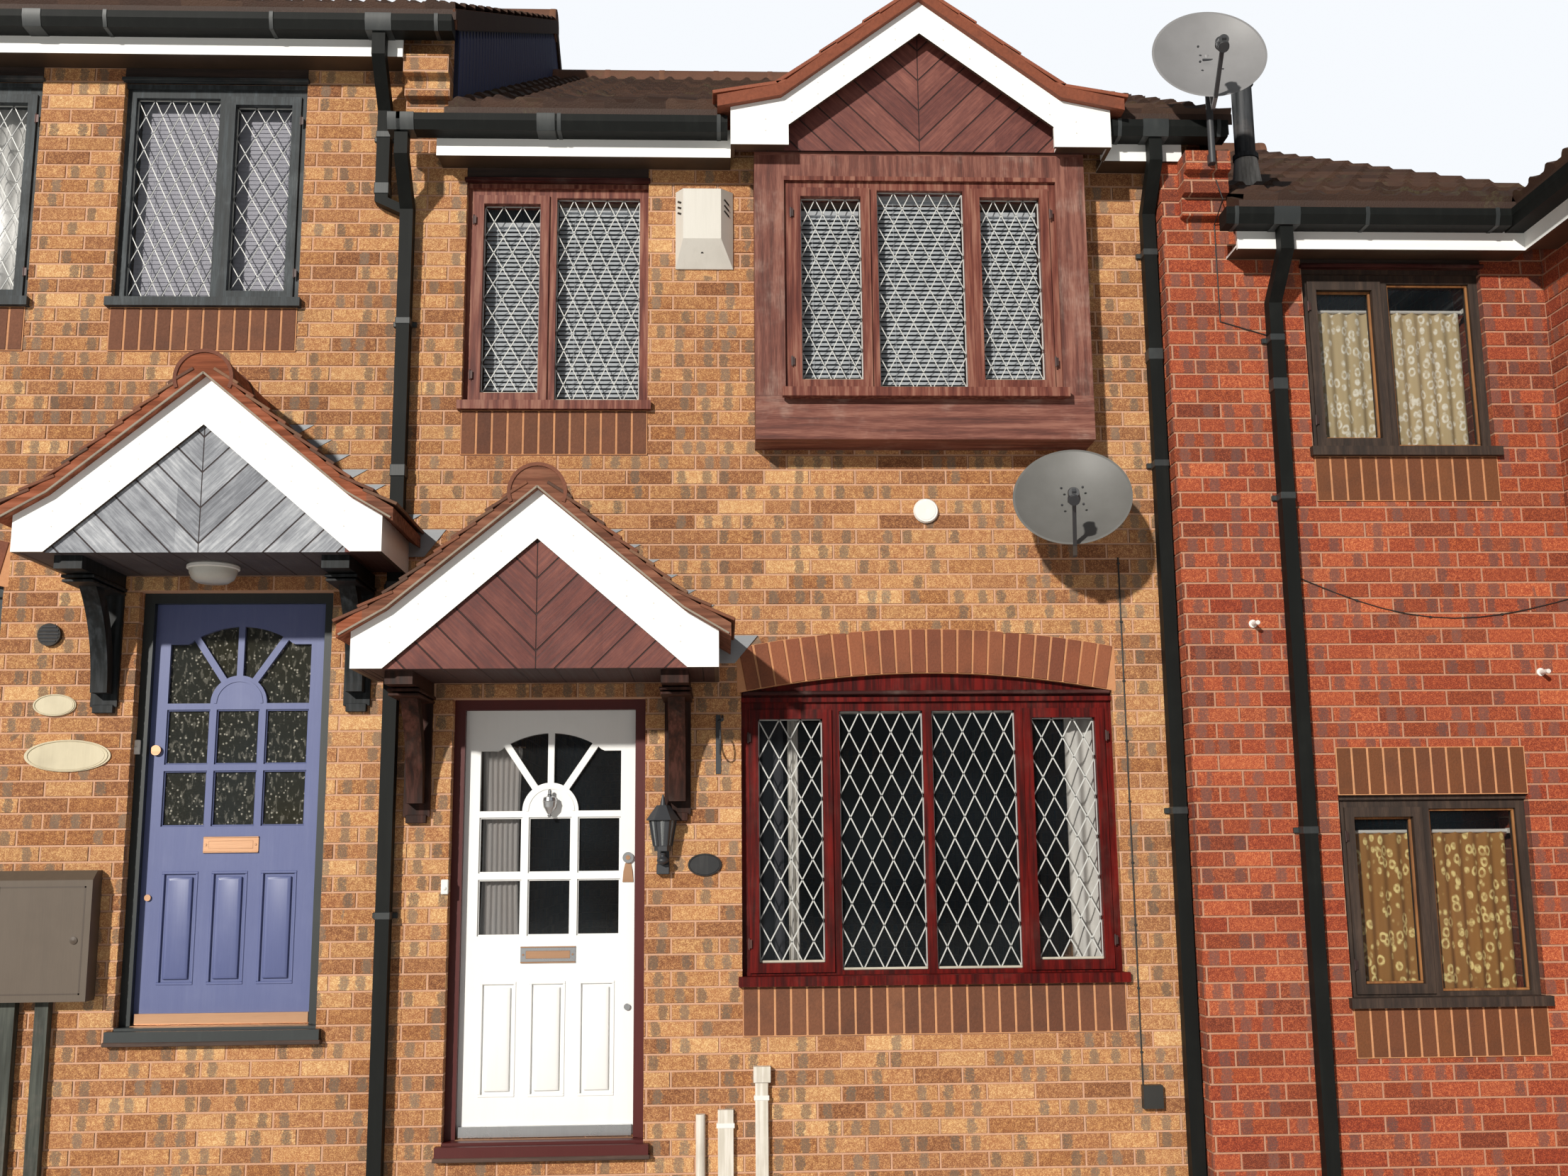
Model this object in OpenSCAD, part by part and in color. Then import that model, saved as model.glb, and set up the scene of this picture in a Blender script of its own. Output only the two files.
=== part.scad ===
// Row of three terraced houses that steps down a slope: two of tan brick and one of red brick.
// Millimetres. X runs along the row, Y runs from the street into the houses and Z is up.
// The origin is on the underside of the walls, at the middle of the party wall between the two
// tan houses and on the centre line of their front wall.

/* [Row] */
// Distance between the centre lines of neighbouring party walls
house_w = 3900; // [3700:50:4400]
// Depth of the tan houses over their outer walls
house_d = 8400; // [7600:100:9600]
// Fall of the floors from one house to the next
step_h = 525; // [375:75:600]
// Height of the lowest floor above the foot of the walls
plinth_h = 225; // [150:75:450]
// Thickness of the outer walls
wall_t = 300; // [270:10:340]
// Thickness of the party walls
party_t = 225; // [215:5:260]
// Distance by which the red house stands forward of the tan ones
red_forward = 150; // [100:10:200]
// Distance by which the red front laps past its party line
red_lap = 200; // [160:10:240]
// Width of the red front from its party line to the inner corner
red_front_w = 1725; // [1600:25:2200]
// Projection of the wing wall at the inner corner in front of the tan face
wing_out = 1350; // [900:50:1800]

/* [Storeys] */
// Height from a floor to the heads of its doors and ground windows
head_h = 2025; // [2025:25:2100]
// Height from the ground floor to the first floor
storey_h = 2625; // [2550:25:2700]
// Height from the heads of the upper windows to the soffit boards at the eaves
head_gap = 75; // [60:15:120]
// Thickness of the ground floor slabs
slab_t = 150; // [100:10:200]
// Thickness of the first floors
deck_t = 225; // [180:5:240]

/* [Main roofs] */
// Pitch of the roofs on the tan houses
tan_pitch = 29.5; // [27:0.5:32]
// Pitch of the roof on the red house
red_pitch = 28.2; // [26:0.2:31]
// Thickness of a roof slope, square to the slope
roof_t = 100; // [80:5:110]
// Thickness of the tiles where they pass the fascia
tile_t = 50; // [40:2:60]
// Height of the lowest tile edge above the soffit
tile_rise = 215; // [205:5:230]
// Distance from a wall face to the lowest tile edge
tile_over = 230; // [220:5:250]
// Distance from a wall face to the front of the fascia
fascia_over = 175; // [165:5:190]
// Thickness of fascia, soffit and other edge boards
board_t = 20; // [16:2:22]
// Drop of the fascia below the soffit
fascia_drop = 15; // [8:1:20]
// Overhang of a roof past the outer face of its last wall
verge_over = 45; // [40:5:60]
// Radius of the ridge tiles
ridge_r = 125; // [110:5:140]
// Thickness of the cladding on the stepped party walls
cladding_t = 20; // [15:1:25]

/* [Gutters and pipes] */
// Width of a gutter from front to back
gutter_w = 112; // [100:2:116]
// Height of a gutter
gutter_h = 80; // [74:2:90]
// Wall thickness of gutters
gutter_wall = 4; // [3:0.5:5]
// Side of the square downpipes
pipe_s = 65; // [60:1:70]
// Gap between a downpipe and its wall
pipe_gap = 12; // [8:1:20]

/* [Small windows] */
// Width of the opening of a small window or a door
small_w = 915; // [915:5:960]
// Height from the floor to the underside of the upper window sills
upper_sill = 3450; // [3425:25:3500]
// Height of the upper windows
upper_h = 1200; // [1150:10:1210]
// Height from the red floor to the underside of the red windows
red_sill = 1080; // [1050:15:1110]
// Height of the red windows
red_win_h = 975; // [950:5:990]

/* [Wide windows] */
// Width of the arched ground window of the middle house
wide_w = 1800; // [1650:25:1900]
// Width of the wide windows of the left house
left_wide_w = 1500; // [1350:25:1600]
// Height from the floor to the underside of the ground sills
ground_sill = 675; // [650:25:725]
// Height of the brick arch ring
arch_ring = 215; // [205:5:225]
// Rise of the arch under the ring
arch_rise = 89; // [75:1:100]
// Height from the window head to the springing of the arch
arch_stilt = 25; // [15:1:35]

/* [Window joinery] */
// Visible width of a window frame member
frame_w = 45; // [40:1:50]
// Depth of a window frame
frame_d = 70; // [60:2:80]
// Distance from the brick face to the frame
reveal = 40; // [30:2:60]
// Visible width of an opening sash
sash_w = 37; // [33:1:42]
// Step of a sash in front of its frame
sash_step = 12; // [8:1:16]
// Height of a timber sill
sill_h = 45; // [40:1:50]
// Projection of a sill past the brick face
sill_out = 40; // [30:2:50]
// Thickness of a glass unit
glass_t = 14; // [10:1:20]

/* [Doors] */
// Width of a door leaf
leaf_w = 838; // [828:1:838]
// Height of a door leaf
leaf_h = 1981; // [1965:1:1981]
// Thickness of a door leaf
leaf_t = 44; // [40:1:46]
// Clearance round a door leaf
leaf_gap = 7; // [7:0.5:8]
// Distance from the brick face to the door frame
door_reveal = 60; // [50:2:70]
// Lap of the frame's stop in front of the leaf
stop_lap = 12; // [8:1:14]
// Depth of the stop in front of the leaf
stop_d = 36; // [30:1:40]
// Width of the leaf's stiles
stile_w = 83; // [78:1:88]
// Width of the glazing bars of a leaf
bar_w = 30; // [26:1:34]
// Height of the lowest panes above the leaf's foot
pane_z = 905; // [890:5:920]
// Height of a square pane
pane_h = 262; // [255:1:268]
// Radius of the fan's hub
hub_r = 134; // [125:1:140]
// Radius of the arched top of the fan
fan_r = 421; // [400:1:450]
// Height of the fan's crown above the hub's centre
fan_h = 372; // [365:1:378]
// Height of the outer fan panes above the hub's centre
shoulder_h = 286; // [280:1:292]

/* [Canopies] */
// Width of a canopy over its feet
canopy_w = 1620; // [1560:10:1700]
// Projection of a canopy from the brick face
canopy_out = 600; // [500:10:700]
// Height from the floor to the underside of a canopy
canopy_z = 2100; // [2090:5:2140]
// Pitch of a canopy roof
canopy_pitch = 40; // [36:1:43]
// Pitch of the flared foot of a canopy roof
canopy_kick = 30.7; // [27:0.5:33]
// Width of the flared foot
kick_w = 155; // [140:5:170]
// Height of a canopy's foot boards
foot_h = 164; // [150:2:175]
// Upright depth of the bargeboards at the apex
barge_drop = 223; // [200:1:235]
// Upright thickness of the canopy tiles
canopy_tile = 60; // [50:1:66]
// Distance from the middle of the left and the middle house's canopy to each bracket
bracket_x = [590, 612]; // [560:2:620]
// Width of a bracket's wall plate
plate_w = 124; // [110:2:130]
// Height from the floor to the foot of a bracket
bracket_z = 1470; // [1440:10:1500]

/* [Oriel and gable] */
// Distance from the party line to the middle of the oriel
oriel_x = 2470; // [2450:5:2480]
// Width of the oriel over its posts
oriel_w = 1650; // [1600:10:1700]
// Projection of the oriel from the brick face
oriel_out = 210; // [180:5:230]
// Width of an oriel post
post_w = 146; // [135:1:155]
// Height of the oriel's apron
apron_h = 200; // [180:5:215]
// Width of the gable over its feet
gable_w = 1884; // [1840:4:1920]
// Projection of the gable's boards from the brick face
gable_out = 325; // [310:5:350]
// Pitch of the gable roof
gable_pitch = 37; // [34:0.5:39]
// Width of a foot of the gable
gable_foot = 285; // [270:5:300]
// Height of a foot at its outer edge
gable_foot_h = 195; // [185:1:205]
// Pitch of the flare at a foot
gable_kick = 11.5; // [9:0.5:14]
// Width of the flare at a foot
gable_kick_w = 249; // [235:1:260]
// Upright depth of the gable's boards
gable_drop = 168; // [155:1:180]

/* [Fittings] */
// Diameter of a satellite dish
dish_d = 560; // [500:10:620]
// Tilt of the satellite dish on the wall and the one on the mast
dish_tilt = [24, 16]; // [12:1:28]
// Turn of each of these dishes to the left
dish_turn = [12, 7]; // [0:1:20]
// Width of the alarm box
alarm_w = 290; // [270:5:310]
// Width of the meter box
meter_w = 448; // [420:4:480]
// Diameter of the roof flue
flue_d = 110; // [100:1:140]

/* [Hidden] */
$fn = 48;
LEFT = 0;
MIDDLE = 1;
RED = 2;

// Plan lines of the row
face_y = -wall_t / 2;
inner_y = wall_t / 2;
red_face_y = face_y - red_forward;
rear_y = face_y + house_d;
half_party = party_t / 2;
corner_x = house_w + red_front_w;
left_end_x = -house_w - half_party;
right_end_x = corner_x + party_t;
red_edge_x = house_w - red_lap;
wing_y = face_y - wing_out;
door_x = [-0.2167 * house_w, 0.168 * house_w];
left_wide_x = -house_w + half_party + 340 + left_wide_w / 2;
left_small_x = door_x[LEFT] - 235;
red_win_x = house_w + 945;
rear_win_x = [0.3, 0.7];

// Levels and roof lines of a house
function floor_z(i) = plinth_h + (RED - i) * step_h;
function soffit(i) = floor_z(i) + upper_sill + upper_h + head_gap;
function front(i) = i == RED ? red_face_y : face_y;
function pitch(i) = i == RED ? red_pitch : tan_pitch;
function ridge_y(i) = (front(i) + rear_y) / 2;
function eave_y(i) = front(i) - tile_over;
function top_z(i, y) = soffit(i) + tile_rise + (y - eave_y(i)) * tan(pitch(i));
function under_z(i, y) = top_z(i, y) - roof_t / cos(pitch(i));
function house_x(i) = (i - 1) * house_w;

// A block between two corners
module block(x0, x1, y0, y1, z0, z1) {
    translate([x0, y0, z0]) cube([x1 - x0, y1 - y0, z1 - z0]);
}
// An outline in Y and Z drawn out along X
module along_x(x0, x1) {
    translate([x0, 0, 0]) rotate([90, 0, 90]) linear_extrude(x1 - x0) children();
}
// An outline in X and Z drawn out along Y
module along_y(y0, y1) {
    translate([0, y1, 0]) rotate([90, 0, 0]) linear_extrude(y1 - y0) children();
}
// Both slopes of a house, from one outline and its mirror image
module both_slopes(i) {
    children();
    translate([0, 2 * ridge_y(i), 0]) mirror([0, 1, 0]) children();
}
// Bedding joint between a wall or a ridge and a roof slope
bed = 0.3;
// The space under the roof of a house, down past the foot of the walls
module under_roof(i, x0, x1) {
    ry = ridge_y(i);
    ey = front(i) - tile_over - 2000;
    along_x(x0, x1) translate([0, -bed]) polygon([[ey, -1], [ey, under_z(i, ey)],
        [ry, under_z(i, ry)], [2 * ry - ey, under_z(i, ey)], [2 * ry - ey, -1]]);
}
// The space under the tile tops of a house
module under_tiles(i, x0, x1) {
    ry = ridge_y(i);
    ey = front(i) - tile_over;
    along_x(x0, x1) translate([0, bed]) polygon([[ey, -1], [ey, top_z(i, ey)],
        [ry, top_z(i, ry)], [2 * ry - ey, top_z(i, ey)], [2 * ry - ey, -1]]);
}

// Walls
rim = 450;
function arch_r(w) = (w * w / 4 + arch_rise * arch_rise) / (2 * arch_rise);
arch_lap = 20;
// Outline of an arched opening with its ring, above the springing
module arch_outline(w, grow) {
    r = arch_r(w);
    intersection() {
        translate([0, arch_rise - r]) circle(r + grow, $fn = 180);
        translate([-w / 2 - arch_lap, 0]) square([w + 2 * arch_lap, arch_rise + arch_ring + 1]);
    }
}
module arch_cut(cx, z, w) {
    translate([cx, 0, z]) {
        block(-w / 2, w / 2, face_y - 1, inner_y + 1, -arch_stilt - 1, 0.001);
        along_y(face_y - 1, inner_y + 1) arch_outline(w, arch_ring);
    }
}
module wall_hole(cx, w, z0, h, y0 = face_y) {
    block(cx - w / 2, cx + w / 2, y0 - 1, y0 + wall_t + 1, z0, z0 + h);
}
head_z = [floor_z(LEFT) + head_h, floor_z(MIDDLE) + head_h];
door_foot = 75;
module left_front_lower() {
    color("burlywood") difference() {
        union() {
            block(left_end_x, door_x[LEFT] - small_w / 2, face_y, inner_y, 0, head_z[LEFT]);
            block(door_x[LEFT] - small_w / 2, door_x[LEFT] + small_w / 2, face_y, inner_y, 0,
                floor_z(LEFT) - door_foot);
        }
        wall_hole(left_wide_x, left_wide_w, floor_z(LEFT) + ground_sill, head_h);
    }
}
module middle_front_lower() {
    color("burlywood") difference() {
        union() {
            block(door_x[MIDDLE] + small_w / 2, red_edge_x, face_y, inner_y, 0, head_z[MIDDLE]);
            block(door_x[MIDDLE] - small_w / 2, door_x[MIDDLE] + small_w / 2, face_y, inner_y, 0,
                floor_z(MIDDLE) - door_foot);
        }
        wall_hole(oriel_x, wide_w, floor_z(MIDDLE) + ground_sill, head_h);
    }
}
module door_pier() {
    color("burlywood") {
        block(door_x[LEFT] + small_w / 2, door_x[MIDDLE] - small_w / 2, face_y, inner_y, 0,
            head_z[MIDDLE]);
        block(door_x[LEFT] + small_w / 2, half_party, face_y, inner_y, head_z[MIDDLE],
            head_z[LEFT]);
    }
}
// Courses that step out under the gutter at the front end of a party wall
corbel_step = 50;
corbel_course = 100;
module corbel(cx, y, top) {
    for (k = [1:3])
        block(cx - half_party, cx + half_party, y - corbel_step * k, y,
            top - corbel_course * (4 - k), top - corbel_course * (3 - k));
}
module left_front_upper() {
    color("burlywood") {
        difference() {
            intersection() {
                block(left_end_x, half_party, face_y, inner_y, head_z[LEFT], soffit(LEFT) + rim);
                under_roof(LEFT, left_end_x, half_party);
            }
            arch_cut(left_wide_x, head_z[LEFT] + arch_stilt, left_wide_w);
            wall_hole(left_small_x, small_w, floor_z(LEFT) + upper_sill, upper_h);
            wall_hole(left_wide_x, left_wide_w, floor_z(LEFT) + upper_sill, upper_h);
        }
        corbel(0, face_y, soffit(LEFT) + fascia_drop);
    }
}
module middle_front_upper() {
    color("burlywood") difference() {
        intersection() {
            block(half_party, red_edge_x, face_y, inner_y, head_z[MIDDLE], soffit(MIDDLE) + rim);
            under_roof(MIDDLE, half_party, red_edge_x);
        }
        arch_cut(oriel_x, head_z[MIDDLE] + arch_stilt, wide_w);
        wall_hole(door_x[MIDDLE], small_w, floor_z(MIDDLE) + upper_sill, upper_h);
        wall_hole(oriel_x, oriel_w - 2 * post_w, floor_z(MIDDLE) + upper_sill, upper_h);
    }
}
red_sills = [floor_z(RED) + red_sill, floor_z(RED) + red_sill + storey_h];
module red_front_wall() {
    fx = corner_x - fascia_over;
    color("firebrick") {
        difference() {
            union() {
                intersection() {
                    block(red_edge_x, corner_x, red_face_y, red_face_y + wall_t, 0,
                        soffit(RED) + rim);
                    under_roof(RED, red_edge_x, corner_x);
                }
                block(red_edge_x, house_w + half_party, red_face_y, red_face_y + wall_t, 0,
                    soffit(MIDDLE));
            }
            for (z = red_sills) wall_hole(red_win_x, small_w, z, red_win_h, red_face_y);
            along_y(red_face_y - 1, ridge_y(RED)) translate([0, -bed]) polygon([
                [fx, wing_under(fx)], [corner_x + 1, wing_under(corner_x + 1)],
                [corner_x + 1, ridge_top], [fx, ridge_top]]);
        }
        corbel(house_w, red_face_y, soffit(MIDDLE) - fascia_drop);
    }
}
module end_walls() {
    color("peru") {
        intersection() {
            block(left_end_x, left_end_x + party_t, inner_y, rear_y - wall_t, 0, ridge_top);
            under_roof(LEFT, left_end_x, left_end_x + party_t);
        }
        intersection() {
            block(corner_x, right_end_x, wing_y, rear_y - wall_t, 0, ridge_top);
            union() {
                under_roof(RED, corner_x, right_end_x);
                along_y(wing_y, ridge_y(RED)) polygon([[corner_x, 0], [right_end_x, 0],
                    [right_end_x, wing_under(right_end_x) - bed],
                    [corner_x, wing_under(corner_x) - bed]]);
            }
        }
    }
}
ridge_top = 20000;
// Roof plane of the wing, which rises to the right from its eaves over the inner corner
wing_eave_x = corner_x - tile_over;
function wing_top(x) = soffit(RED) + tile_rise + (x - wing_eave_x) * tan(red_pitch);
function wing_under(x) = wing_top(x) - roof_t / cos(red_pitch);
module party_walls() {
    color("peru") {
        intersection() {
            block(-half_party, half_party, inner_y, rear_y - wall_t, 0, ridge_top);
            under_roof(LEFT, -half_party, half_party);
        }
        intersection() {
            block(house_w - half_party, house_w + half_party, inner_y - red_forward,
                rear_y - wall_t, 0, ridge_top);
            under_roof(MIDDLE, house_w - half_party, house_w + half_party);
        }
    }
}
rear_head = 2100;
rear_lower_sill = 1050;
rear_door_x = 0.25;
rear_window_x = 0.68;
function rear_x(i, s) = house_x(i) + s * (i == RED ? red_front_w : house_w) - (i == LEFT ? 0 : 0);
function rear_span(i) = i == LEFT ? [left_end_x, half_party]
    : i == MIDDLE ? [half_party, house_w + half_party] : [house_w + half_party, right_end_x];
function rear_cx(i, s) = rear_span(i)[0] + s * (rear_span(i)[1] - rear_span(i)[0]);
rear_win_w = 700;
module rear_wall() {
    color("burlywood") for (i = [LEFT:RED]) {
        x0 = rear_span(i)[0];
        x1 = rear_span(i)[1];
        difference() {
            intersection() {
                block(x0, x1, rear_y - wall_t, rear_y, 0, soffit(i) + rim);
                under_roof(i, x0, x1);
            }
            wall_hole(rear_cx(i, rear_door_x), rear_win_w + 100, floor_z(i) - door_foot,
                rear_head + door_foot, rear_y - wall_t);
            wall_hole(rear_cx(i, rear_window_x), rear_win_w, floor_z(i) + rear_lower_sill,
                rear_head - rear_lower_sill, rear_y - wall_t);
            for (s = [rear_door_x, rear_window_x])
                wall_hole(rear_cx(i, s), rear_win_w, floor_z(i) + upper_sill, rear_head
                    - rear_lower_sill, rear_y - wall_t);
        }
    }
}
module window_arches() {
    color("saddlebrown") {
        translate([oriel_x, 0, head_z[MIDDLE] + arch_stilt]) arch_ring_solid(wide_w);
        translate([left_wide_x, 0, head_z[LEFT] + arch_stilt]) arch_ring_solid(left_wide_w);
    }
}
module arch_ring_solid(w) {
    along_y(face_y, inner_y) difference() {
        arch_outline(w, arch_ring);
        translate([0, arch_rise - arch_r(w)]) circle(arch_r(w), $fn = 180);
    }
}
// Floors, let between the walls of each house
function room_x(i) = i == LEFT ? [left_end_x + party_t, -half_party]
    : i == MIDDLE ? [half_party, house_w - half_party] : [house_w + half_party, corner_x];
function room_y(i) = front(i) + wall_t;
module floors() {
    color("gainsboro") for (i = [LEFT:RED]) {
        block(room_x(i)[0], room_x(i)[1], room_y(i), rear_y - wall_t, floor_z(i) - slab_t,
            floor_z(i));
        block(room_x(i)[0], room_x(i)[1], room_y(i), rear_y - wall_t,
            floor_z(i) + storey_h - deck_t, floor_z(i) + storey_h);
    }
}

// Main roofs
module slope_outline(i) {
    ey = eave_y(i);
    fy = front(i) - fascia_over;
    ry = ridge_y(i);
    tv = tile_t / cos(pitch(i));
    polygon([[ey, top_z(i, ey)], [ry, top_z(i, ry)], [ry, under_z(i, ry)],
        [fy, under_z(i, fy)], [fy, top_z(i, fy) - tv], [ey, top_z(i, ey) - tv]]);
}
module left_roof() {
    color("sienna") both_slopes(LEFT)
        along_x(left_end_x - verge_over, half_party + verge_over) slope_outline(LEFT);
}
module middle_roof() {
    color("sienna") {
        difference() {
            along_x(half_party, house_w + half_party + verge_over) slope_outline(MIDDLE);
            block(oriel_x - gable_w / 2 - gable_tip - 1, oriel_x + gable_w / 2 + gable_tip + 1,
                eave_y(MIDDLE) - 1, face_y + 1, 0, ridge_top);
            translate([oriel_x, 0, gable_foot_z]) along_y(gable_y0 - 1, gable_meet)
                gable_space(0);
        }
        translate([0, 2 * ridge_y(MIDDLE), 0]) mirror([0, 1, 0])
            along_x(half_party, house_w + half_party + verge_over) slope_outline(MIDDLE);
    }
}
// Strip of the wing's roof, from its eaves to the end wall
module wing_slope(y1) {
    fx = corner_x - fascia_over;
    x1 = right_end_x;
    tv = tile_t / cos(red_pitch);
    along_y(wing_y - verge_over, y1) polygon([[wing_eave_x, wing_top(wing_eave_x)],
        [x1, wing_top(x1)], [x1, wing_under(x1)], [fx, wing_under(fx)],
        [fx, wing_top(fx) - tv], [wing_eave_x, wing_top(wing_eave_x) - tv]]);
}
module red_roof() {
    x0 = house_w + half_party;
    x1 = right_end_x;
    color("sienna") {
        difference() {
            along_x(x0, x1) slope_outline(RED);
            along_y(eave_y(RED) - 1, ridge_y(RED)) polygon([[wing_eave_x, 0],
                [wing_eave_x, wing_top(wing_eave_x)], [x1 + 1, wing_top(x1 + 1)], [x1 + 1, 0]]);
        }
        difference() {
            wing_slope(ridge_y(RED));
            under_tiles(RED, wing_eave_x - 1, x1 + 1);
        }
        translate([0, 2 * ridge_y(RED), 0]) mirror([0, 1, 0]) along_x(x0, x1) slope_outline(RED);
    }
}
module ridge_row(i, x0, x1) {
    difference() {
        translate([0, ridge_y(i), top_z(i, ridge_y(i)) - ridge_r * 0.35])
            along_x(x0, x1) circle(ridge_r);
        under_tiles(i, x0 - 1, x1 + 1);
    }
}
module ridge_tiles() {
    color("saddlebrown") {
        ridge_row(LEFT, left_end_x - verge_over, half_party + verge_over);
        ridge_row(MIDDLE, half_party + cladding_t, house_w + half_party + verge_over);
        ridge_row(RED, house_w + half_party + cladding_t, right_end_x);
    }
}
// Cladding on the side of a higher party wall, above the next roof
module clad_side(high, low, x) {
    difference() {
        intersection() {
            block(x, x + cladding_t, face_y, rear_y, 0, ridge_top);
            under_roof(high, x - 1, x + cladding_t + 1);
        }
        under_tiles(low, x - 1, x + cladding_t + 1);
        block(x - 1, x + cladding_t + 1, face_y - 1, rear_y + 1, -1, soffit(low));
    }
}
module party_wall_cladding() {
    color("dimgray") {
        clad_side(LEFT, MIDDLE, half_party);
        clad_side(MIDDLE, RED, house_w + half_party);
    }
}

// Oriel and gable of the middle house
oriel_y = face_y - oriel_out;
oriel_sill = floor_z(MIDDLE) + upper_sill;
oriel_head = oriel_sill + upper_h - 50;
module oriel_bay() {
    color("sienna") translate([oriel_x, 0, 0]) difference() {
        block(-oriel_w / 2, oriel_w / 2, oriel_y, face_y, oriel_sill - apron_h, soffit(MIDDLE));
        block(-oriel_w / 2 + post_w, oriel_w / 2 - post_w, oriel_y - 1, face_y + 1, oriel_sill,
            oriel_head);
    }
}
gable_y0 = face_y - gable_out;
gable_foot_z = soffit(MIDDLE) - fascia_drop;
gable_tile = 60;
gable_kink_z = gable_foot_h + gable_kick_w * tan(gable_kick);
gable_apex = gable_kink_z + (gable_w / 2 - gable_kick_w) * tan(gable_pitch);
gable_ridge_z = gable_foot_z + gable_apex + gable_tile;
gable_meet = eave_y(MIDDLE) + (gable_ridge_z - top_z(MIDDLE, eave_y(MIDDLE))) / tan(tan_pitch) + 1;
// Outline under the gable's roof line, raised by a given height
module gable_space(up) {
    h = gable_w / 2;
    k = h - gable_kick_w;
    polygon([[-h, 0], [-h, gable_foot_h + up], [-k, gable_kink_z + up], [0, gable_apex + up],
        [k, gable_kink_z + up], [h, gable_foot_h + up], [h, 0]]);
}
module gable_bargeboards() {
    h = gable_w / 2;
    inner = h - gable_foot;
    rise = tan(gable_pitch);
    color("white") translate([oriel_x, 0, gable_foot_z]) {
        along_y(gable_y0, gable_y0 + board_t) difference() {
            gable_space(0);
            polygon([[-inner, -1], [-inner, gable_apex - gable_drop - inner * rise],
                [0, gable_apex - gable_drop], [inner, gable_apex - gable_drop - inner * rise],
                [inner, -1]]);
        }
        for (s = [-1, 1])
            block(s * h - (s > 0 ? board_t : 0), s * h + (s > 0 ? 0 : board_t),
                gable_y0 + board_t, face_y - fascia_over, 0, gable_foot_h);
    }
}
module gable_boarding() {
    color("brown") translate([oriel_x, 0, gable_foot_z]) intersection() {
        along_y(oriel_y - board_t, oriel_y) gable_space(0);
        block(-gable_w / 2 + board_t, gable_w / 2 - board_t, oriel_y - board_t - 1, oriel_y + 1,
            fascia_drop, gable_apex);
    }
}
module gable_roof() {
    color("chocolate") difference() {
        translate([oriel_x, 0, gable_foot_z]) {
            along_y(gable_y0 - 35, gable_meet) difference() {
                gable_eaves();
                gable_space(0);
            }
        }
        along_x(oriel_x - gable_w, oriel_x + gable_w) translate([0, bed]) polygon([
            [face_y, 0], [face_y, top_z(MIDDLE, face_y)],
            [gable_meet + 1, top_z(MIDDLE, gable_meet + 1)], [gable_meet + 1, 0]]);
    }
}
gable_tip = 65;
module gable_eaves() {
    h = gable_w / 2;
    k = h - gable_kick_w;
    drop = gable_tip * tan(gable_kick);
    polygon([[-h - gable_tip, gable_foot_h - drop], [-h - gable_tip, gable_foot_h - drop
        + gable_tile], [-k, gable_kink_z + gable_tile], [0, gable_apex + gable_tile],
        [k, gable_kink_z + gable_tile], [h + gable_tip, gable_foot_h - drop + gable_tile],
        [h + gable_tip, gable_foot_h - drop], [h, gable_foot_h], [k, gable_kink_z],
        [0, gable_apex], [-k, gable_kink_z], [-h, gable_foot_h]]);
}

// Canopies over the front doors, cut back at the wall round the downpipe between them
notch_gap = 8;
module canopy_notch() {
    block(door_x[LEFT] + bracket_x[LEFT] - plate_w / 2, pipe_x[0] + pipe_s / 2 + notch_gap,
        face_y - pipe_gap - pipe_s - notch_gap, face_y + 1, floor_z(MIDDLE), ridge_top);
}
canopy_y0 = face_y - canopy_out;
canopy_kink_z = foot_h + kick_w * tan(canopy_kick);
canopy_apex = canopy_kink_z + (canopy_w / 2 - kick_w) * tan(canopy_pitch);
canopy_tip = 55;
canopy_ridge_r = 128;
function canopy_base(i) = [door_x[i], 0, floor_z(i) + canopy_z];
module canopy_space(up) {
    h = canopy_w / 2;
    k = h - kick_w;
    polygon([[-h, 0], [-h, foot_h + up], [-k, canopy_kink_z + up], [0, canopy_apex + up],
        [k, canopy_kink_z + up], [h, foot_h + up], [h, 0]]);
}
module canopy_roofs() {
    h = canopy_w / 2;
    k = h - kick_w;
    drop = canopy_tip * tan(canopy_kick);
    color("saddlebrown") for (i = [LEFT:MIDDLE]) difference() {
        translate(canopy_base(i)) along_y(canopy_y0 - 40, face_y) {
            difference() {
                union() {
                    polygon([[-h - canopy_tip, foot_h - drop],
                        [-h - canopy_tip, foot_h - drop + canopy_tile],
                        [-k, canopy_kink_z + canopy_tile], [0, canopy_apex + canopy_tile],
                        [k, canopy_kink_z + canopy_tile],
                        [h + canopy_tip, foot_h - drop + canopy_tile],
                        [h + canopy_tip, foot_h - drop], [h, foot_h], [k, canopy_kink_z],
                        [0, canopy_apex], [-k, canopy_kink_z], [-h, foot_h]]);
                    translate([0, canopy_apex - 18]) circle(canopy_ridge_r);
                }
                canopy_space(0);
            }
        }
        canopy_notch();
    }
}
module canopy_boards() {
    h = canopy_w / 2;
    inner = (canopy_apex - barge_drop) / tan(canopy_pitch + 1);
    color("white") for (i = [LEFT:MIDDLE]) difference() {
        translate(canopy_base(i)) {
            along_y(canopy_y0, canopy_y0 + board_t) difference() {
                canopy_space(0);
                polygon([[-inner, -0.01], [0, canopy_apex - barge_drop], [inner, -0.01]]);
            }
            for (s = [-1, 1])
                block(s * h - (s > 0 ? board_t : 0), s * h + (s > 0 ? 0 : board_t),
                    canopy_y0 + board_t, face_y, 0, foot_h);
        }
        canopy_notch();
    }
}
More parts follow.
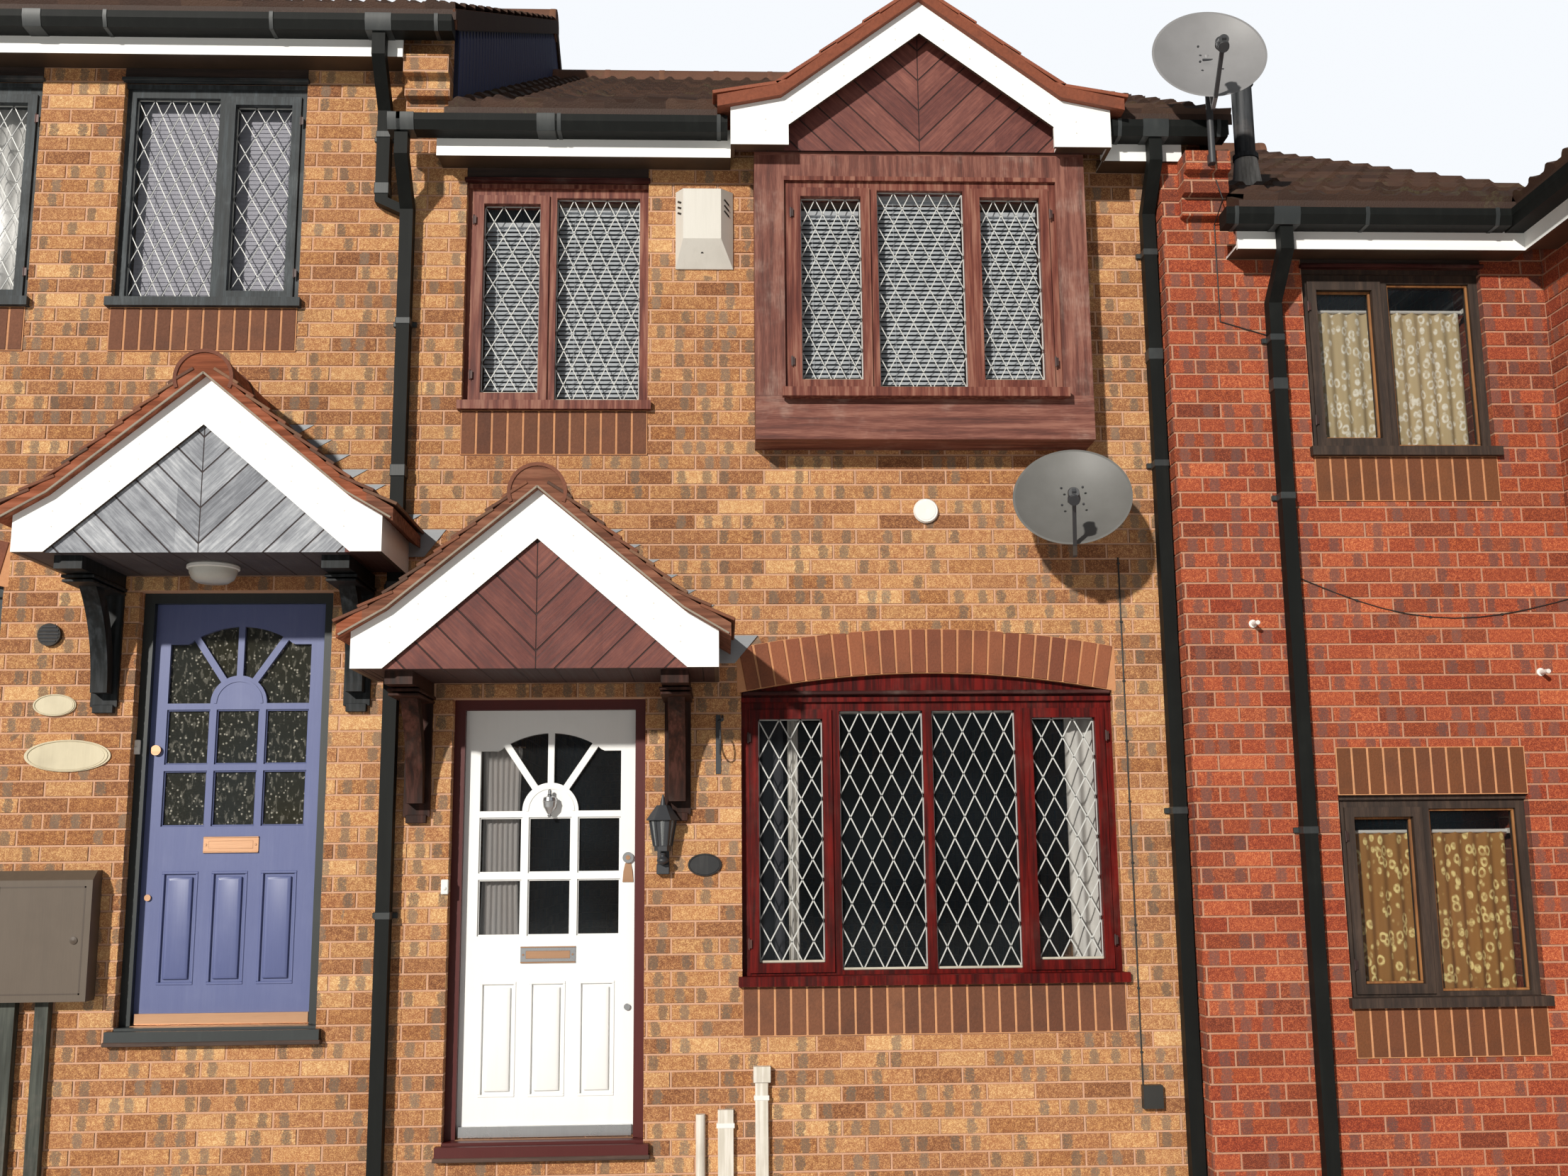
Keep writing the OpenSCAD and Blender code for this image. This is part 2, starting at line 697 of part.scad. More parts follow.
module canopy_boarding() {
    h = canopy_w / 2 - board_t;
    color("rosybrown") for (i = [LEFT:MIDDLE]) difference() {
        translate(canopy_base(i)) {
            intersection() {
                along_y(canopy_y0 + board_t, canopy_y0 + 2 * board_t) canopy_space(0);
                block(-h, h, canopy_y0, face_y, 0, canopy_apex);
            }
            block(-h, h, canopy_y0 + 2 * board_t, face_y, 0, board_t);
        }
        canopy_notch();
    }
}
// Bracket with a wall plate, an arm under the soffit and a curved strut
arm_h = 60;
plate_t = 22;
strut_w = 78;
strut_t = 70;
arm_out = 520;
module canopy_brackets() {
    for (i = [LEFT:MIDDLE]) color(i == LEFT ? "dimgray" : "saddlebrown")
        for (s = [-1, 1]) translate([door_x[i] + s * bracket_x[i], face_y, floor_z(i)]) {
            block(-plate_w / 2, plate_w / 2, -plate_t, 0, bracket_z, canopy_z);
            block(-plate_w / 2, plate_w / 2, -arm_out, -plate_t, canopy_z - arm_h, canopy_z);
            along_x(-strut_w / 2, strut_w / 2) strut_outline();
        }
}
// The strut is a band between two arcs, from the plate's foot to the arm's end
module strut_outline() {
    r = strut_r;
    foot = bracket_z + 60;
    translate([0, foot]) intersection() {
        translate([-plate_t - r, 0]) difference() {
            circle(r + 0.001, $fn = 160);
            circle(r - strut_t, $fn = 160);
        }
        translate([-arm_out, 0]) square([arm_out - plate_t + 0.001, canopy_z - arm_h - foot]);
    }
}
strut_r = 720;

// Windows. Each light is [left, right, opens] from the left edge of the frame
module frame_outline(w, h, lights) {
    difference() {
        square([w, h]);
        for (l = lights) light_outline(w, h, l, 0);
    }
}
function inset(x, w) = x < 1 || x > w - 1 ? frame_w : frame_w / 2;
module light_outline(w, h, l, more) {
    x0 = l[0] + inset(l[0], w) + more;
    x1 = l[1] - inset(l[1], w) - more;
    z0 = sill_h + 20 + more;
    z1 = h - frame_w - 20 - more;
    translate([x0, z0]) square([x1 - x0, z1 - z0]);
}
module window(w, h, lights) {
    along_y(0, frame_d) frame_outline(w, h, lights);
    for (l = lights) if (l[2])
        along_y(-sash_step, frame_d) difference() {
            light_outline(w, h, l, 0);
            light_outline(w, h, l, sash_w);
        }
    for (l = lights) if (l[2])
        along_y(-sash_step, 0.001) difference() {
            light_outline(w, h, l, -8);
            light_outline(w, h, l, 0.001);
        }
    block(0, w, -reveal, 0.001, 0, sill_h);
    block(-sill_horn, w + sill_horn, -reveal - sill_out, -reveal, 0, sill_h);
    block(0, w, -20, 0.001, h - 22, h);
}
sill_horn = 18;
// Board that fills the arch over a wide window
module tympanum(w, h) {
    translate([w / 2, 0, h]) {
        block(-w / 2, w / 2, 0, frame_d / 2, 0, arch_stilt);
        translate([0, 0, arch_stilt]) along_y(0, frame_d / 2) intersection() {
            translate([0, arch_rise - arch_r(w)]) circle(arch_r(w), $fn = 180);
            translate([-w / 2, 0]) square([w, arch_rise + 1]);
        }
    }
}
module panes(w, h, lights) {
    y = (frame_d - glass_t) / 2;
    for (l = lights) along_y(y, y + glass_t) light_outline(w, h, l, l[2] ? sash_w : 0);
}
ground_h = head_h - ground_sill;
win_y = face_y + reveal;
function small_lights(w, left_opens) = left_opens ? [[0, 0.466 * w, true], [0.466 * w, w, false]]
    : [[0, 0.534 * w, false], [0.534 * w, w, true]];
function four_lights(w) = [[0, w / 4, true], [w / 4, w / 2, false], [w / 2, 3 * w / 4, false],
    [3 * w / 4, w, true]];
function three_lights(w) = [[0, 0.325 * w, true], [0.325 * w, 0.675 * w, false],
    [0.675 * w, w, true]];
oriel_win_w = oriel_w - 2 * post_w;
// Places of the front windows: [x, y, z, width, height, lights, arched]
LEFT_WINDOWS = [
    [left_small_x, win_y, floor_z(LEFT) + upper_sill, small_w, upper_h,
        small_lights(small_w, false), false],
    [left_wide_x, win_y, floor_z(LEFT) + upper_sill, left_wide_w, upper_h,
        three_lights(left_wide_w), false],
    [left_wide_x, win_y, floor_z(LEFT) + ground_sill, left_wide_w, ground_h,
        three_lights(left_wide_w), true]];
MIDDLE_WINDOWS = [
    [door_x[MIDDLE], win_y, floor_z(MIDDLE) + upper_sill, small_w, upper_h,
        small_lights(small_w, true), false],
    [oriel_x, oriel_y + reveal / 2, oriel_sill, oriel_win_w, oriel_head - oriel_sill,
        three_lights(oriel_win_w), false],
    [oriel_x, win_y, floor_z(MIDDLE) + ground_sill, wide_w, ground_h, four_lights(wide_w),
        true]];
RED_WINDOWS = [for (z = red_sills) [red_win_x, red_face_y + reveal, z, small_w, red_win_h,
    small_lights(small_w, true), false]];
module at_window(v) {
    translate([v[0] - v[3] / 2, v[1], v[2]]) children();
}
module window_set(list) {
    for (v = list) at_window(v) {
        window(v[3], v[4], v[5]);
        if (v[6]) tympanum(v[3], v[4]);
    }
}
module left_windows() {
    color("dimgray") window_set(LEFT_WINDOWS);
}
module middle_windows() {
    color("maroon") window_set(MIDDLE_WINDOWS);
}
module red_windows() {
    color("maroon") window_set(RED_WINDOWS);
}
// Rear windows and doors, seen from the garden side
REAR_WINDOWS = [for (i = [LEFT:RED]) for (v = [[rear_window_x, rear_lower_sill],
    [rear_door_x, upper_sill], [rear_window_x, upper_sill]])
    [rear_cx(i, v[0]), floor_z(i) + v[1]]];
rear_win_h = rear_head - rear_lower_sill;
rear_lights = [[0, rear_win_w, true]];
module at_rear(x, z, w) {
    translate([x + w / 2, rear_y - reveal, z]) rotate([0, 0, 180]) children();
}
rear_door_w = rear_win_w + 100;
rear_pane = [300, 900];
module rear_joinery() {
    color("whitesmoke") {
        for (v = REAR_WINDOWS) at_rear(v[0], v[1], rear_win_w)
            window(rear_win_w, rear_win_h, rear_lights);
        for (i = [LEFT:RED]) at_rear(rear_cx(i, rear_door_x), floor_z(i) - door_foot, rear_door_w)
            difference() {
                block(0, rear_door_w, 0, frame_d, 0, rear_head + door_foot);
                block(rear_pane[0] / 2, rear_door_w - rear_pane[0] / 2, -1, frame_d + 1,
                    rear_head + door_foot - rear_pane[1] - 150, rear_head + door_foot - 150);
            }
    }
}
module window_glass() {
    color("lightsteelblue", 0.5) {
        for (v = concat(LEFT_WINDOWS, MIDDLE_WINDOWS, RED_WINDOWS)) at_window(v)
            panes(v[3], v[4], v[5]);
        for (v = REAR_WINDOWS) at_rear(v[0], v[1], rear_win_w)
            panes(rear_win_w, rear_win_h, rear_lights);
        for (i = [LEFT:RED]) at_rear(rear_cx(i, rear_door_x), floor_z(i) - door_foot, rear_door_w)
            block(rear_pane[0] / 2, rear_door_w - rear_pane[0] / 2, 20, 20 + glass_t,
                rear_head + door_foot - rear_pane[1] - 150, rear_head + door_foot - 150);
    }
}

// Front doors. The leaf is drawn from its lower left corner, with Y running inwards
door_y = face_y + door_reveal;
leaf_y = door_y + stop_d + leaf_gap;
jamb_w = (small_w - leaf_w) / 2 - leaf_gap;
pane_w = (leaf_w - 2 * stile_w - 2 * bar_w) / 3;
hub_z = pane_z + 2 * pane_h + 2 * bar_w;
spoke_w = 32;
function pane_x(k) = stile_w + k * (pane_w + bar_w);
module leaf_origin(i) {
    translate([door_x[i] - leaf_w / 2, leaf_y, floor_z(i) + leaf_gap]) children();
}
// The glazed part of a leaf: six square panes under a fan with a round hub
module leaf_panes() {
    for (k = [0:2]) for (r = [0:1])
        translate([pane_x(k), pane_z + r * (pane_h + bar_w)]) square([pane_w, pane_h]);
    translate([leaf_w / 2, hub_z]) difference() {
        intersection() {
            translate([-leaf_w / 2 + stile_w, 0]) square([leaf_w - 2 * stile_w, fan_h + 1]);
            union() {
                translate([0, fan_h - fan_r]) circle(fan_r, $fn = 120);
                translate([-leaf_w / 2, 0]) square([leaf_w, shoulder_h]);
            }
        }
        for (s = [-1, 1]) {
            translate([s * shoulder_x, shoulder_h + shoulder_r]) circle(shoulder_r, $fn = 60);
            rotate(-s * spoke_angle) translate([-spoke_w / 2, 0]) square([spoke_w, fan_h + 60]);
        }
        circle(hub_r, $fn = 60);
        translate([-bar_w / 2, 0]) square([bar_w, fan_h + 1]);
    }
}
shoulder_x = 268;
shoulder_r = 52;
spoke_angle = 34;
// Raised panels in the lower half of a leaf
panel_z = 175;
panel_h = 520;
panel_w = 168;
panel_cut = 9;
panel_edge = 30;
function panel_x(k) = leaf_w / 2 + (k - 1) * (panel_w + 62) - panel_w / 2;
hinge_r = 6;
pin_r = 3;
pin_gap = 0.1;
knuckle_h = 48;
hinge_z = [220, 1000, 1700];
hinge_off = 7;
// Leaf half of a hinge at the pivot line, for a leaf hung on side s
module leaf_hinges(s) {
    for (z = hinge_z) translate([s < 0 ? 0 : leaf_w, leaf_t + hinge_off, z]) difference() {
        union() {
            translate([0, 0, knuckle_h + 0.3]) cylinder(h = knuckle_h, r = hinge_r);
            block(s < 0 ? 0 : -30, s < 0 ? 30 : 0, -hinge_off, -hinge_off + 3.5,
                knuckle_h + 0.3, 2 * knuckle_h);
        }
        cylinder(h = 3 * knuckle_h, r = pin_r + pin_gap);
    }
}
// Frame half of the hinges, with the pins, from the lower left corner of the leaf
module frame_hinges(s) {
    for (z = hinge_z) translate([s < 0 ? 0 : leaf_w, leaf_t + hinge_off, z]) {
        cylinder(h = knuckle_h, r = hinge_r);
        cylinder(h = 2 * knuckle_h, r = pin_r);
        block(s < 0 ? -30 : 1, s < 0 ? -1 : 30, -hinge_off, -hinge_off + 3.5, 0, knuckle_h);
    }
}
module door_leaf(s) {
    leaf_hinges(s);
    difference() {
        along_y(0, leaf_t) difference() {
            square([leaf_w, leaf_h]);
            leaf_panes();
        }
        for (k = [0:2]) difference() {
            block(panel_x(k), panel_x(k) + panel_w, -1, panel_cut, panel_z, panel_z + panel_h);
            block(panel_x(k) + panel_edge, panel_x(k) + panel_w - panel_edge, -2, panel_cut + 1,
                panel_z + panel_edge, panel_z + panel_h - panel_edge);
        }
    }
}
module door_frame(i) {
    w = small_w;
    head = floor_z(i) + 2 * leaf_gap + leaf_h;
    depth = stop_d + leaf_gap + leaf_t;
    translate([door_x[i], 0, 0]) {
        for (s = [-1, 1]) {
            mirror([s > 0 ? 1 : 0, 0, 0]) {
                block(-w / 2, -w / 2 + jamb_w, door_y, door_y + depth, floor_z(i), head_z[i]);
                block(-w / 2, -w / 2 + jamb_w + leaf_gap + stop_lap, door_y, door_y + stop_d,
                    floor_z(i), head_z[i]);
            }
        }
        block(-w / 2, w / 2, door_y, door_y + depth, head, head_z[i]);
        block(-w / 2, w / 2, door_y, door_y + stop_d, head - leaf_gap - stop_lap, head_z[i]);
        block(-w / 2, w / 2, face_y, door_y + depth, floor_z(i) - door_foot, floor_z(i));
        block(-w / 2 - 25, w / 2 + 25, face_y - 45, face_y, floor_z(i) - door_foot, floor_z(i)
            - 12);
    }
}
module left_door() {
    color("slateblue") leaf_origin(LEFT) door_leaf(1);
}
module left_door_frame() {
    color("slategray") {
        door_frame(LEFT);
        leaf_origin(LEFT) frame_hinges(1);
    }
}
door_glass_t = 6;
module door_glass() {
    y = (leaf_t - door_glass_t) / 2;
    along_y(y, y + door_glass_t) leaf_panes();
}
module left_door_glass() {
    color("lightsteelblue", 0.5) leaf_origin(LEFT) door_glass();
}
plate_z = 780;
letter_w = 258;
letter_h = 76;
lock_z = 1265;
module letter_plate() {
    difference() {
        block(leaf_w / 2 - letter_w / 2, leaf_w / 2 + letter_w / 2, -6, 0, plate_z,
            plate_z + letter_h);
        block(leaf_w / 2 - letter_w / 2 + 25, leaf_w / 2 + letter_w / 2 - 25, -7, -2,
            plate_z + 20, plate_z + letter_h - 20);
    }
}
module weather_bar() {
    block(14 + leaf_gap, leaf_w - 14 - leaf_gap, -22, 0, 0, 48);
}
module lock_at(x, z, r, out) {
    translate([x, 0, z]) rotate([90, 0, 0]) cylinder(h = out, r = r);
}
module left_door_furniture() {
    color("peru") leaf_origin(LEFT) {
        letter_plate();
        weather_bar();
        lock_at(stile_w * 0.55, lock_z, 24, 18);
        lock_at(stile_w * 0.55, 575, 15, 10);
    }
}
module middle_door() {
    color("white") leaf_origin(MIDDLE) door_leaf(-1);
}
module middle_door_frame() {
    color("maroon") {
        door_frame(MIDDLE);
        leaf_origin(MIDDLE) frame_hinges(-1);
    }
}
module middle_door_glass() {
    color("lightsteelblue", 0.5) leaf_origin(MIDDLE) door_glass();
}
module middle_door_furniture() {
    color("peru") leaf_origin(MIDDLE) {
        letter_plate();
        weather_bar();
        lock_at(leaf_w - stile_w * 0.55, lock_z, 26, 14);
        lock_at(leaf_w - stile_w * 0.55, 575, 15, 12);
        knocker();
    }
}
// Urn knocker on the hub of the fan
module knocker() {
    translate([leaf_w / 2, 0, hub_z + 30]) {
        block(-9, 9, -24, 0, -8, 10);
        translate([0, -34, 0]) rotate_extrude() polygon([[0, -62], [8, -60], [8, -48], [30, -14],
            [34, 16], [30, 32], [9, 42], [9, 66], [0, 72]]);
    }
}

// Boards at the eaves
fascia_top = 12;
function fascia_z1(i) = under_z(i, front(i) - fascia_over) - 0.3;
module eave_set(i, x0, x1) {
    fy = front(i) - fascia_over;
    block(x0, x1, fy, fy + board_t, soffit(i) - fascia_drop, fascia_z1(i));
    block(x0, x1, fy + board_t, front(i), soffit(i), soffit(i) + fascia_top);
}
module rear_eave_set(i, x0, x1) {
    translate([0, 2 * ridge_y(i), 0]) mirror([0, 1, 0]) eave_set(i, x0, x1);
}
module eaves_boards() {
    gx0 = oriel_x - gable_w / 2;
    gx1 = oriel_x + gable_w / 2;
    wx = corner_x - fascia_over;
    color("white") {
        eave_set(LEFT, left_end_x, -half_party);
        rear_eave_set(LEFT, left_end_x, half_party);
        eave_set(MIDDLE, half_party - 42, gx0);
        eave_set(MIDDLE, gx1, house_w + 20 - half_party);
        rear_eave_set(MIDDLE, half_party, house_w + half_party);
        eave_set(RED, house_w + half_party, wx + board_t);
        rear_eave_set(RED, house_w + half_party, right_end_x);
        block(wx, wx + board_t, wing_y, red_face_y - fascia_over, soffit(RED) - fascia_drop,
            wing_under(wx) - 0.3);
        block(wx + board_t, corner_x, wing_y, red_face_y - fascia_over + board_t, soffit(RED),
            soffit(RED) + fascia_top);
        for (s = [0, 1]) gable_foot_soffit(s == 0 ? gx0 : gx1 - gable_foot - foot_lap);
    }
}
// Boxed underside of a foot of the gable
foot_lap = 0;
module gable_foot_soffit(x) {
    block(x + board_t, x + gable_foot + foot_lap - board_t, gable_y0 + board_t, oriel_y - board_t,
        soffit(MIDDLE), soffit(MIDDLE) + fascia_top);
}

// Gutters, drawn from the back of the section
gutter_top = 155;
module gutter_outline() {
    difference() {
        polygon([[0, -gutter_h], [0, 0], [-gutter_w, 0], [-gutter_w, -gutter_h * 0.45],
            [-gutter_w + 18, -gutter_h]]);
        polygon([[-gutter_wall, -gutter_h + gutter_wall], [-gutter_wall, 1],
            [-gutter_w + gutter_wall, 1], [-gutter_w + gutter_wall, -gutter_h * 0.45],
            [-gutter_w + 18 + gutter_wall, -gutter_h + gutter_wall]]);
    }
}
module gutter_run(i, x0, x1) {
    translate([0, front(i) - fascia_over, soffit(i) + gutter_top]) {
        along_x(x0, x1) gutter_outline();
        for (x = [x0, x1 - gutter_wall]) along_x(x, x + gutter_wall)
            polygon([[0, -gutter_h], [0, 0], [-gutter_w, 0], [-gutter_w, -gutter_h * 0.45],
                [-gutter_w + 18, -gutter_h]]);
    }
}
module rear_gutter_run(i, x0, x1) {
    translate([0, 2 * ridge_y(i), 0]) mirror([0, 1, 0]) gutter_run(i, x0, x1);
}
gable_clear = 15;
module gutters() {
    gx0 = oriel_x - gable_w / 2 - gable_clear;
    gx1 = oriel_x + gable_w / 2 + gable_clear;
    color("darkslategray") {
        gutter_run(LEFT, left_end_x, half_party + 35);
        rear_gutter_run(LEFT, left_end_x, half_party);
        gutter_run(MIDDLE, -half_party - 40, gx0);
        gutter_run(MIDDLE, gx1, house_w + half_party + 5);
        rear_gutter_run(MIDDLE, half_party + 5, house_w + half_party);
        gutter_run(RED, house_w + half_party - 85, corner_x - fascia_over - gutter_w + 5);
        rear_gutter_run(RED, house_w + half_party + 5, right_end_x);
        wing_gutter();
    }
}
module wing_gutter() {
    x = corner_x - fascia_over;
    y1 = red_face_y - fascia_over;
    translate([x, 0, soffit(RED) + gutter_top]) along_y(wing_y, y1) gutter_outline();
    translate([x, 0, soffit(RED) + gutter_top]) along_y(wing_y, wing_y + gutter_wall)
        polygon([[0, -gutter_h], [0, 0], [-gutter_w, 0], [-gutter_w, -gutter_h * 0.45],
            [-gutter_w + 18, -gutter_h]]);
}

// Downpipes: an upright, a slanted neck and an outlet under the gutter
pipe_x = [-88, red_edge_x - 48, house_w + 318];
left_outlet_x = -215;
pipe_foot = 0;
module pipe_run(a, b) {
    d = b - a;
    n = norm(d);
    translate(a) rotate([0, acos(d[2] / n), atan2(d[1], d[0])])
        translate([-pipe_s / 2, -pipe_s / 2, 0]) cube([pipe_s, pipe_s, n]);
}
neck_drop = 330;
module neck(i, x, x_top) {
    fy = front(i) - pipe_gap - pipe_s / 2;
    gy = front(i) - fascia_over - gutter_w / 2 + 4;
    z1 = soffit(i) + gutter_top - gutter_h;
    z2 = z1 - 120;
    z3 = z1 - neck_drop;
    block(x_top - pipe_s / 2, x_top + pipe_s / 2, gy - pipe_s / 2, gy + pipe_s / 2, z2, z1);
    hull() {
        block(x_top - pipe_s / 2, x_top + pipe_s / 2, gy - pipe_s / 2, gy + pipe_s / 2, z2,
            z2 + 20);
        block(x - pipe_s / 2, x + pipe_s / 2, fy - pipe_s / 2, fy + pipe_s / 2, z3, z3 + 20);
    }
}
module upright(i, x, z0, z1) {
    fy = front(i) - pipe_gap - pipe_s / 2;
    block(x - pipe_s / 2, x + pipe_s / 2, fy - pipe_s / 2, fy + pipe_s / 2, z0, z1);
}
module downpipes() {
    color("darkslategray") {
        neck(MIDDLE, pipe_x[0], pipe_x[0]);
        upright(MIDDLE, pipe_x[0], pipe_foot, soffit(MIDDLE) + gutter_top - gutter_h - neck_drop
            + 1);
        neck(LEFT, left_outlet_x, left_outlet_x);
        upright(LEFT, left_outlet_x, soffit(LEFT) - 730, soffit(LEFT) + gutter_top - gutter_h
            - neck_drop + 1);
        hull() {
            upright(LEFT, left_outlet_x, soffit(LEFT) - 740, soffit(LEFT) - 720);
            upright(LEFT, pipe_x[0], soffit(LEFT) - 800, soffit(LEFT) - 780);
        }
        neck(MIDDLE, pipe_x[1], pipe_x[1]);
        upright(MIDDLE, pipe_x[1], pipe_foot, soffit(MIDDLE) + gutter_top - gutter_h - neck_drop
            + 1);
        neck(RED, pipe_x[2], pipe_x[2] + 10);
        upright(RED, pipe_x[2], pipe_foot, soffit(RED) + gutter_top - gutter_h - neck_drop + 1);
    }
}

// Fittings on the walls and roofs, placed from the openings and floors beside them
alarm_x = oriel_x - oriel_w / 2 - 250;
module alarm_box() {
    w = alarm_w;
    color("whitesmoke") translate([alarm_x, face_y, soffit(MIDDLE) - 334]) hull() {
        block(-w / 2, w / 2, -12, 0, -204, 204);
        block(-w / 2 + 40, w / 2 - 60, -85, -70, -70, 195);
    }
}
module dish() {
    r = dish_d / 2;
    depth = dish_depth;
    bowl = (r * r + depth * depth) / (2 * depth);
    rotate([90, 0, 0]) difference() {
        intersection() {
            translate([0, 0, bowl - depth]) sphere(bowl, $fn = 120);
            translate([0, 0, -depth - 1]) cylinder(h = depth + 1, r = r, $fn = 90);
        }
        translate([0, 0, bowl - depth + 5]) sphere(bowl, $fn = 120);
    }
}
dish_depth = 62;
// Arm from the back of the dish round its lower edge to the receiver in front
module dish_arm() {
    low = -dish_d / 2 - 14;
    block(-9, 9, 0, dish_depth + 20, low, low + 16);
    block(-9, 9, dish_depth + 4, dish_depth + 20, low, 30);
    block(-14, 14, dish_depth - 2, dish_depth + 20, -30, 30);
    hull() {
        block(-9, 9, -8, 8, low, low + 16);
        block(-9, 9, -300, -284, low + 95, low + 111);
    }
    translate([0, -290, low + 96]) rotate([-62, 0, 0]) cylinder(h = 95, r = 24);
}
wall_dish_at = [red_edge_x - 545, face_y - 260, floor_z(MIDDLE) + storey_h + 280];
mast_at = [house_w + 12, face_y - fascia_over - gutter_w - 40];
mast_dish_z = soffit(MIDDLE) + 425;
mast_r = 17;
module dish_head(k) {
    rotate([0, 0, -dish_turn[k]]) rotate([-dish_tilt[k], 0, 0]) translate([0, -dish_depth - 20, 0]) {
        dish();
        dish_arm();
    }
}
module satellite_dishes() {
    color("gray") {
        translate(wall_dish_at) {
            dish_head(0);
            translate([0, 0, -60]) cylinder(h = 110, r = mast_r);
            block(-mast_r, mast_r, 0, -wall_dish_at[1] + face_y, -60, -26);
            block(-50, 50, -wall_dish_at[1] + face_y - 8, -wall_dish_at[1] + face_y, -120, 34);
        }
        translate([mast_at[0], mast_at[1], 0]) {
            translate([0, 0, mast_dish_z]) dish_head(1);
            z = soffit(MIDDLE) - fascia_drop - 80;
            translate([0, 0, z]) cylinder(h = mast_dish_z - z + 50, r = mast_r);
            block(-mast_r, mast_r, 0, red_face_y - 3 * corbel_step - mast_at[1], z, z + 50);
        }
    }
}
lantern_at = [door_x[MIDDLE] + 545, face_y, floor_z(MIDDLE) + 1195];
module wall_lantern() {
    color("black") translate(lantern_at) {
        block(-28, 28, -18, 0, 0, 150);
        translate([0, -75, 105]) {
            cylinder(h = 22, r = 40, $fn = 6);
            translate([0, 0, 22]) cylinder(h = 120, r1 = 42, r2 = 62, $fn = 6);
            translate([0, 0, 142]) cylinder(h = 70, r1 = 80, r2 = 30, $fn = 6);
            translate([0, 0, 212]) cylinder(h = 50, r1 = 14, r2 = 4);
        }
        block(-12, 12, -75, -10, 112, 134);
    }
}
meter_x = door_x[LEFT] - 773;
meter_z = floor_z(LEFT) + 130;
module meter_box() {
    color("rosybrown") translate([meter_x, face_y, meter_z]) {
        along_x(-meter_w / 2, meter_w / 2) polygon([[0, 0], [-110, 0], [-110, 540], [-60, 583],
            [0, 583]]);
    }
}
flue_at = [house_w + 450, 260];
module roof_flue() {
    z = top_z(RED, flue_at[1]);
    color("dimgray") translate([flue_at[0], flue_at[1], z]) difference() {
        union() {
            translate([0, 0, -60]) cylinder(h = 220, r1 = flue_d * 0.8, r2 = flue_d * 0.56);
            cylinder(h = 620, r = flue_d / 2);
            translate([0, 0, 160]) cylinder(h = 26, r = flue_d * 0.62);
            translate([0, 0, 600]) cylinder(h = 40, r = flue_d * 0.6);
        }
        translate([-flue_at[0], -flue_at[1], -z]) under_tiles(RED, flue_at[0] - 200,
            flue_at[0] + 200);
    }
}
module wall_vents() {
    color("white") translate([oriel_x + 14, face_y, oriel_sill - 511]) rotate([90, 0, 0]) {
        cylinder(h = 14, r = 40);
        translate([0, 0, 14]) cylinder(h = 12, r1 = 62, r2 = 56);
    }
    color("black") translate([door_x[LEFT] - 865, face_y, head_z[LEFT] - 210]) rotate([90, 0, 0]) cylinder(h = 26, r = 54);
}
// Pipes and ducts low on the walls
module service_pipes() {
    duct_x = oriel_x - wide_w / 2 - 80;
    z1 = floor_z(MIDDLE) + 130;
    color("gainsboro") {
        block(duct_x - 36, duct_x + 35, face_y - 35, face_y, 0, z1);
        block(duct_x + 136, duct_x + 194, face_y - 40, face_y, 0, z1 + 120);
        block(duct_x + 128, duct_x + 206, face_y - 48, face_y, z1 + 120, z1 + 190);
        translate([duct_x - 115, face_y - 22, 0]) cylinder(h = z1 - 18, r = 22);
        block(meter_x - 182, meter_x - 112, face_y - 50, face_y, 0, meter_z);
        block(meter_x - 22, meter_x + 38, face_y - 50, face_y, 0, meter_z);
    }
}
// Cable from the wall dish, clipped down the wall to its box
cable_r = 4;
cable_x = red_edge_x - 270;
module dish_cable() {
    z0 = floor_z(MIDDLE) + 210;
    z1 = wall_dish_at[2] - 200;
    color("black") translate([cable_x, face_y - cable_r, z0]) cylinder(h = z1 - z0, r = cable_r);
    color("red") block(cable_x - 10, cable_x + 82, face_y - 45, face_y, z0 - 104, z0);
}

left_front_lower();
left_front_upper();
door_pier();
middle_front_lower();
middle_front_upper();
red_front_wall();
end_walls();
party_walls();
rear_wall();
window_arches();
floors();
left_roof();
middle_roof();
red_roof();
ridge_tiles();
party_wall_cladding();
oriel_bay();
gable_bargeboards();
gable_boarding();
gable_roof();
canopy_roofs();
canopy_boards();
canopy_boarding();
canopy_brackets();
left_windows();
middle_windows();
red_windows();
rear_joinery();
window_glass();
left_door();
left_door_frame();
left_door_glass();
left_door_furniture();
middle_door();
middle_door_frame();
middle_door_glass();
middle_door_furniture();
eaves_boards();
gutters();
downpipes();
alarm_box();
satellite_dishes();
wall_lantern();
meter_box();
roof_flue();
wall_vents();
service_pipes();
dish_cable();
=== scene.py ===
"""Dresses the row of terraced houses with bricks, tiles, glazing, fittings and light."""

import logging
import math
import random
from dataclasses import dataclass
from enum import Enum
from typing import Callable, ClassVar, Iterator, Optional, Sequence, Union

import bmesh
import bpy
from mathutils import Matrix, Vector


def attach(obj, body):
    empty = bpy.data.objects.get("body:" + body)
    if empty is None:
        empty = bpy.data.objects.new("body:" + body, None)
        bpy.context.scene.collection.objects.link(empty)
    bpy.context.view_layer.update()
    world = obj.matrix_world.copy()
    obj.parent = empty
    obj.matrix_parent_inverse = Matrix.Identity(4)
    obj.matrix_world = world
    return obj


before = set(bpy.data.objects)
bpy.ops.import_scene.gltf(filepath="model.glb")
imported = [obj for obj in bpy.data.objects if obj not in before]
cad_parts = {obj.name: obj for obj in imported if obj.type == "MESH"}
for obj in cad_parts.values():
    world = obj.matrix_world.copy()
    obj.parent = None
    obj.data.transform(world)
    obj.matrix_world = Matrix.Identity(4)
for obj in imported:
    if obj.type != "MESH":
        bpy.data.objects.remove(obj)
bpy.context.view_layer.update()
log = logging.getLogger("row")

